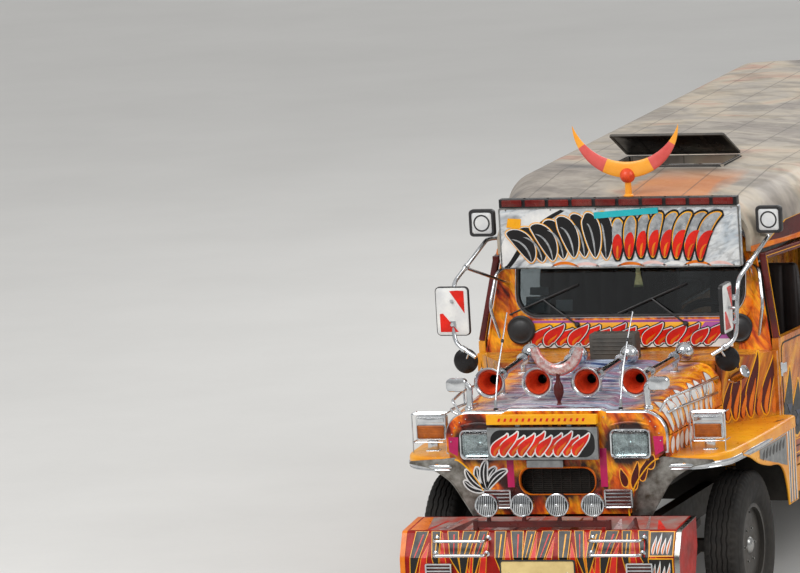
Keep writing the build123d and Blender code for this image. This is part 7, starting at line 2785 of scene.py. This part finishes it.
@dataclass
class Rear:
    """Tail lamps, the doorway's trim and grab rails, window beads and the step's tread and edge."""

    face: float = 6.475
    doorway: Triple = (0.340, 0.750, 1.960)

    def place(self, x: float, z: float, lift: float = 0.0) -> Seat:
        """A spot on the rear wall, which faces rearwards."""
        return Seat((x, self.face + lift, z), right=RIGHTWARDS)

    def lamps(self) -> None:
        """Make a pair of barred tail lamps and a pair of small round lamps on each side."""
        shells = []
        for x in (0.720, -0.720):
            shells += Nose().louvred(self.place(x, 0.955), 0.200, 0.110, 4, 0.029)
            for z in (1.080, 1.180):
                at = (x, self.face, z)
                shells.append(lathe(at, REARWARDS, ((0, 0.036), (0.010, 0.036), (0.014, 0.032),
                    (0.012, 0.029)), 32))
                shells.append(lathe(at, REARWARDS, ((0.002, 0.029), (0.013, 0.028), (0.019, 0.020),
                    (0.022, 0.008)), 32).painted(1 if z < 1.1 else 2))
        make("tail_lamps", shells, ("chrome_plate", "garnet_lens", "amber_reflector"))

    def trim(self) -> None:
        """Frame the doorway and both windows, and run beads and rivets over the wall."""
        half, low, high = self.doorway
        seat = self.place(0.0, (low + high) / 2)
        wide, tall = 2 * half, high - low
        shells = [hoop(oblong(wide, tall, 0.004, 6), oblong(wide + 0.060, tall + 0.060, 0.012, 6),
            ((0.0, -0.030), (0.0, 0.002), (0.2, 0.006), (0.85, 0.006), (1.0, 0.001), (1.0, -0.004)), seat)]
        for x in (0.595, -0.595):
            window = self.place(x, 1.5325)
            shells.append(hoop(oblong(0.350, 0.385, 0.030, 8), oblong(0.410, 0.445, 0.014, 8),
                ((0.0, -0.025), (0.0, 0.002), (0.2, 0.006), (0.85, 0.006), (1.0, 0.001), (1.0, -0.003)),
                window))
        for z in (1.285, 0.860, 0.520):
            for s in (1, -1):
                line = np.array([(s * 0.385, self.face + 0.001, z), (s * 0.600, self.face + 0.001, z),
                    (s * 0.822, self.face + 0.001, z)])
                shells.append(tube(line, 0.011, 10, 0.4, facing=UPWARDS))
        rail = rounded(((0.392, self.face, 0.930), (0.392, self.face + 0.048, 0.930),
            (0.392, self.face + 0.048, 1.240), (0.392, self.face, 1.240)), 0.022, 6)
        shells += both([tube(rail, 0.0095, 12)])
        rivet = lathe((0, self.face, 0), REARWARDS, ((0, 0.006), (0.0022, 0.005), (0.004, 0.0025)), 8)
        shells.append(rivet.copies([(s * x, 0, z) for s in (1, -1) for z in (0.545, 1.250)
            for x in np.linspace(0.43, 0.79, 6)]))
        shells.append(rivet.copies([(x, 0, 2.000) for x in np.linspace(-0.46, 0.46, 12)]))
        make("rear_trim", shells, "stainless_sheet")

    def paint(self) -> None:
        """Paint flame tongues under each rear window."""
        shells = []
        place = Seat((0.0, self.face, 0.0), right=RIGHTWARDS)
        for first in (-0.80, 0.44):
            count = 9
            feet = row(first + 0.02, first + 0.32, count, 0.600)
            tall = 0.22 + 0.04 * np.sin(np.arange(count) * 2.2)
            shells += tongues(place, feet, tall, 0.25, 0.060, EDGED, 0.0006)
            shells += tongues(place, feet, tall * 0.55, 0.25, 0.018, CORE, 0.0034)
        make("rear_tongues", shells, ("yellow_enamel", "scarlet_enamel", "orange_enamel"))

    def step(self) -> None:
        """Lay a raised tread on the step and a rolled edge round it."""
        ribs = box((-0.66, 6.505, 0.4985), (0.66, 6.513, 0.5025), 0.001)
        treads = ribs.copies([(0, k * 0.020, -0.060) for k in range(8)])
        edge = tube(np.array([(-0.69, 6.672, 0.432), (0.0, 6.672, 0.432), (0.69, 6.672, 0.432)]), 0.0075,
            12)
        make("step_treads", [treads, edge.painted(1)], ("tread_plate", "chrome_plate"))

    def build(self) -> None:
        """Make the rear."""
        self.lamps()
        self.trim()
        self.paint()
        self.step()


ASSEMBLIES = (Nose(), Bumper(), Hood(), Fenders(), Windscreen(), Visor(), Mirrors(), RoofTop(), Wheels(),
    Cabin(), Sides(), Rear())


def write_sizes() -> None:
    """Bring the view layer up to date."""
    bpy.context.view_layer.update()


def main() -> None:
    """Build the studio and every sub-assembly in order."""
    logging.basicConfig(level=logging.INFO, format="%(name)s: %(message)s")
    dress_nodes()
    Studio().set_up()
    for assembly in ASSEMBLIES:
        LOG.info("building %s", type(assembly).__name__)
        assembly.build()
    write_sizes()


if __name__ == "__main__":
    main()
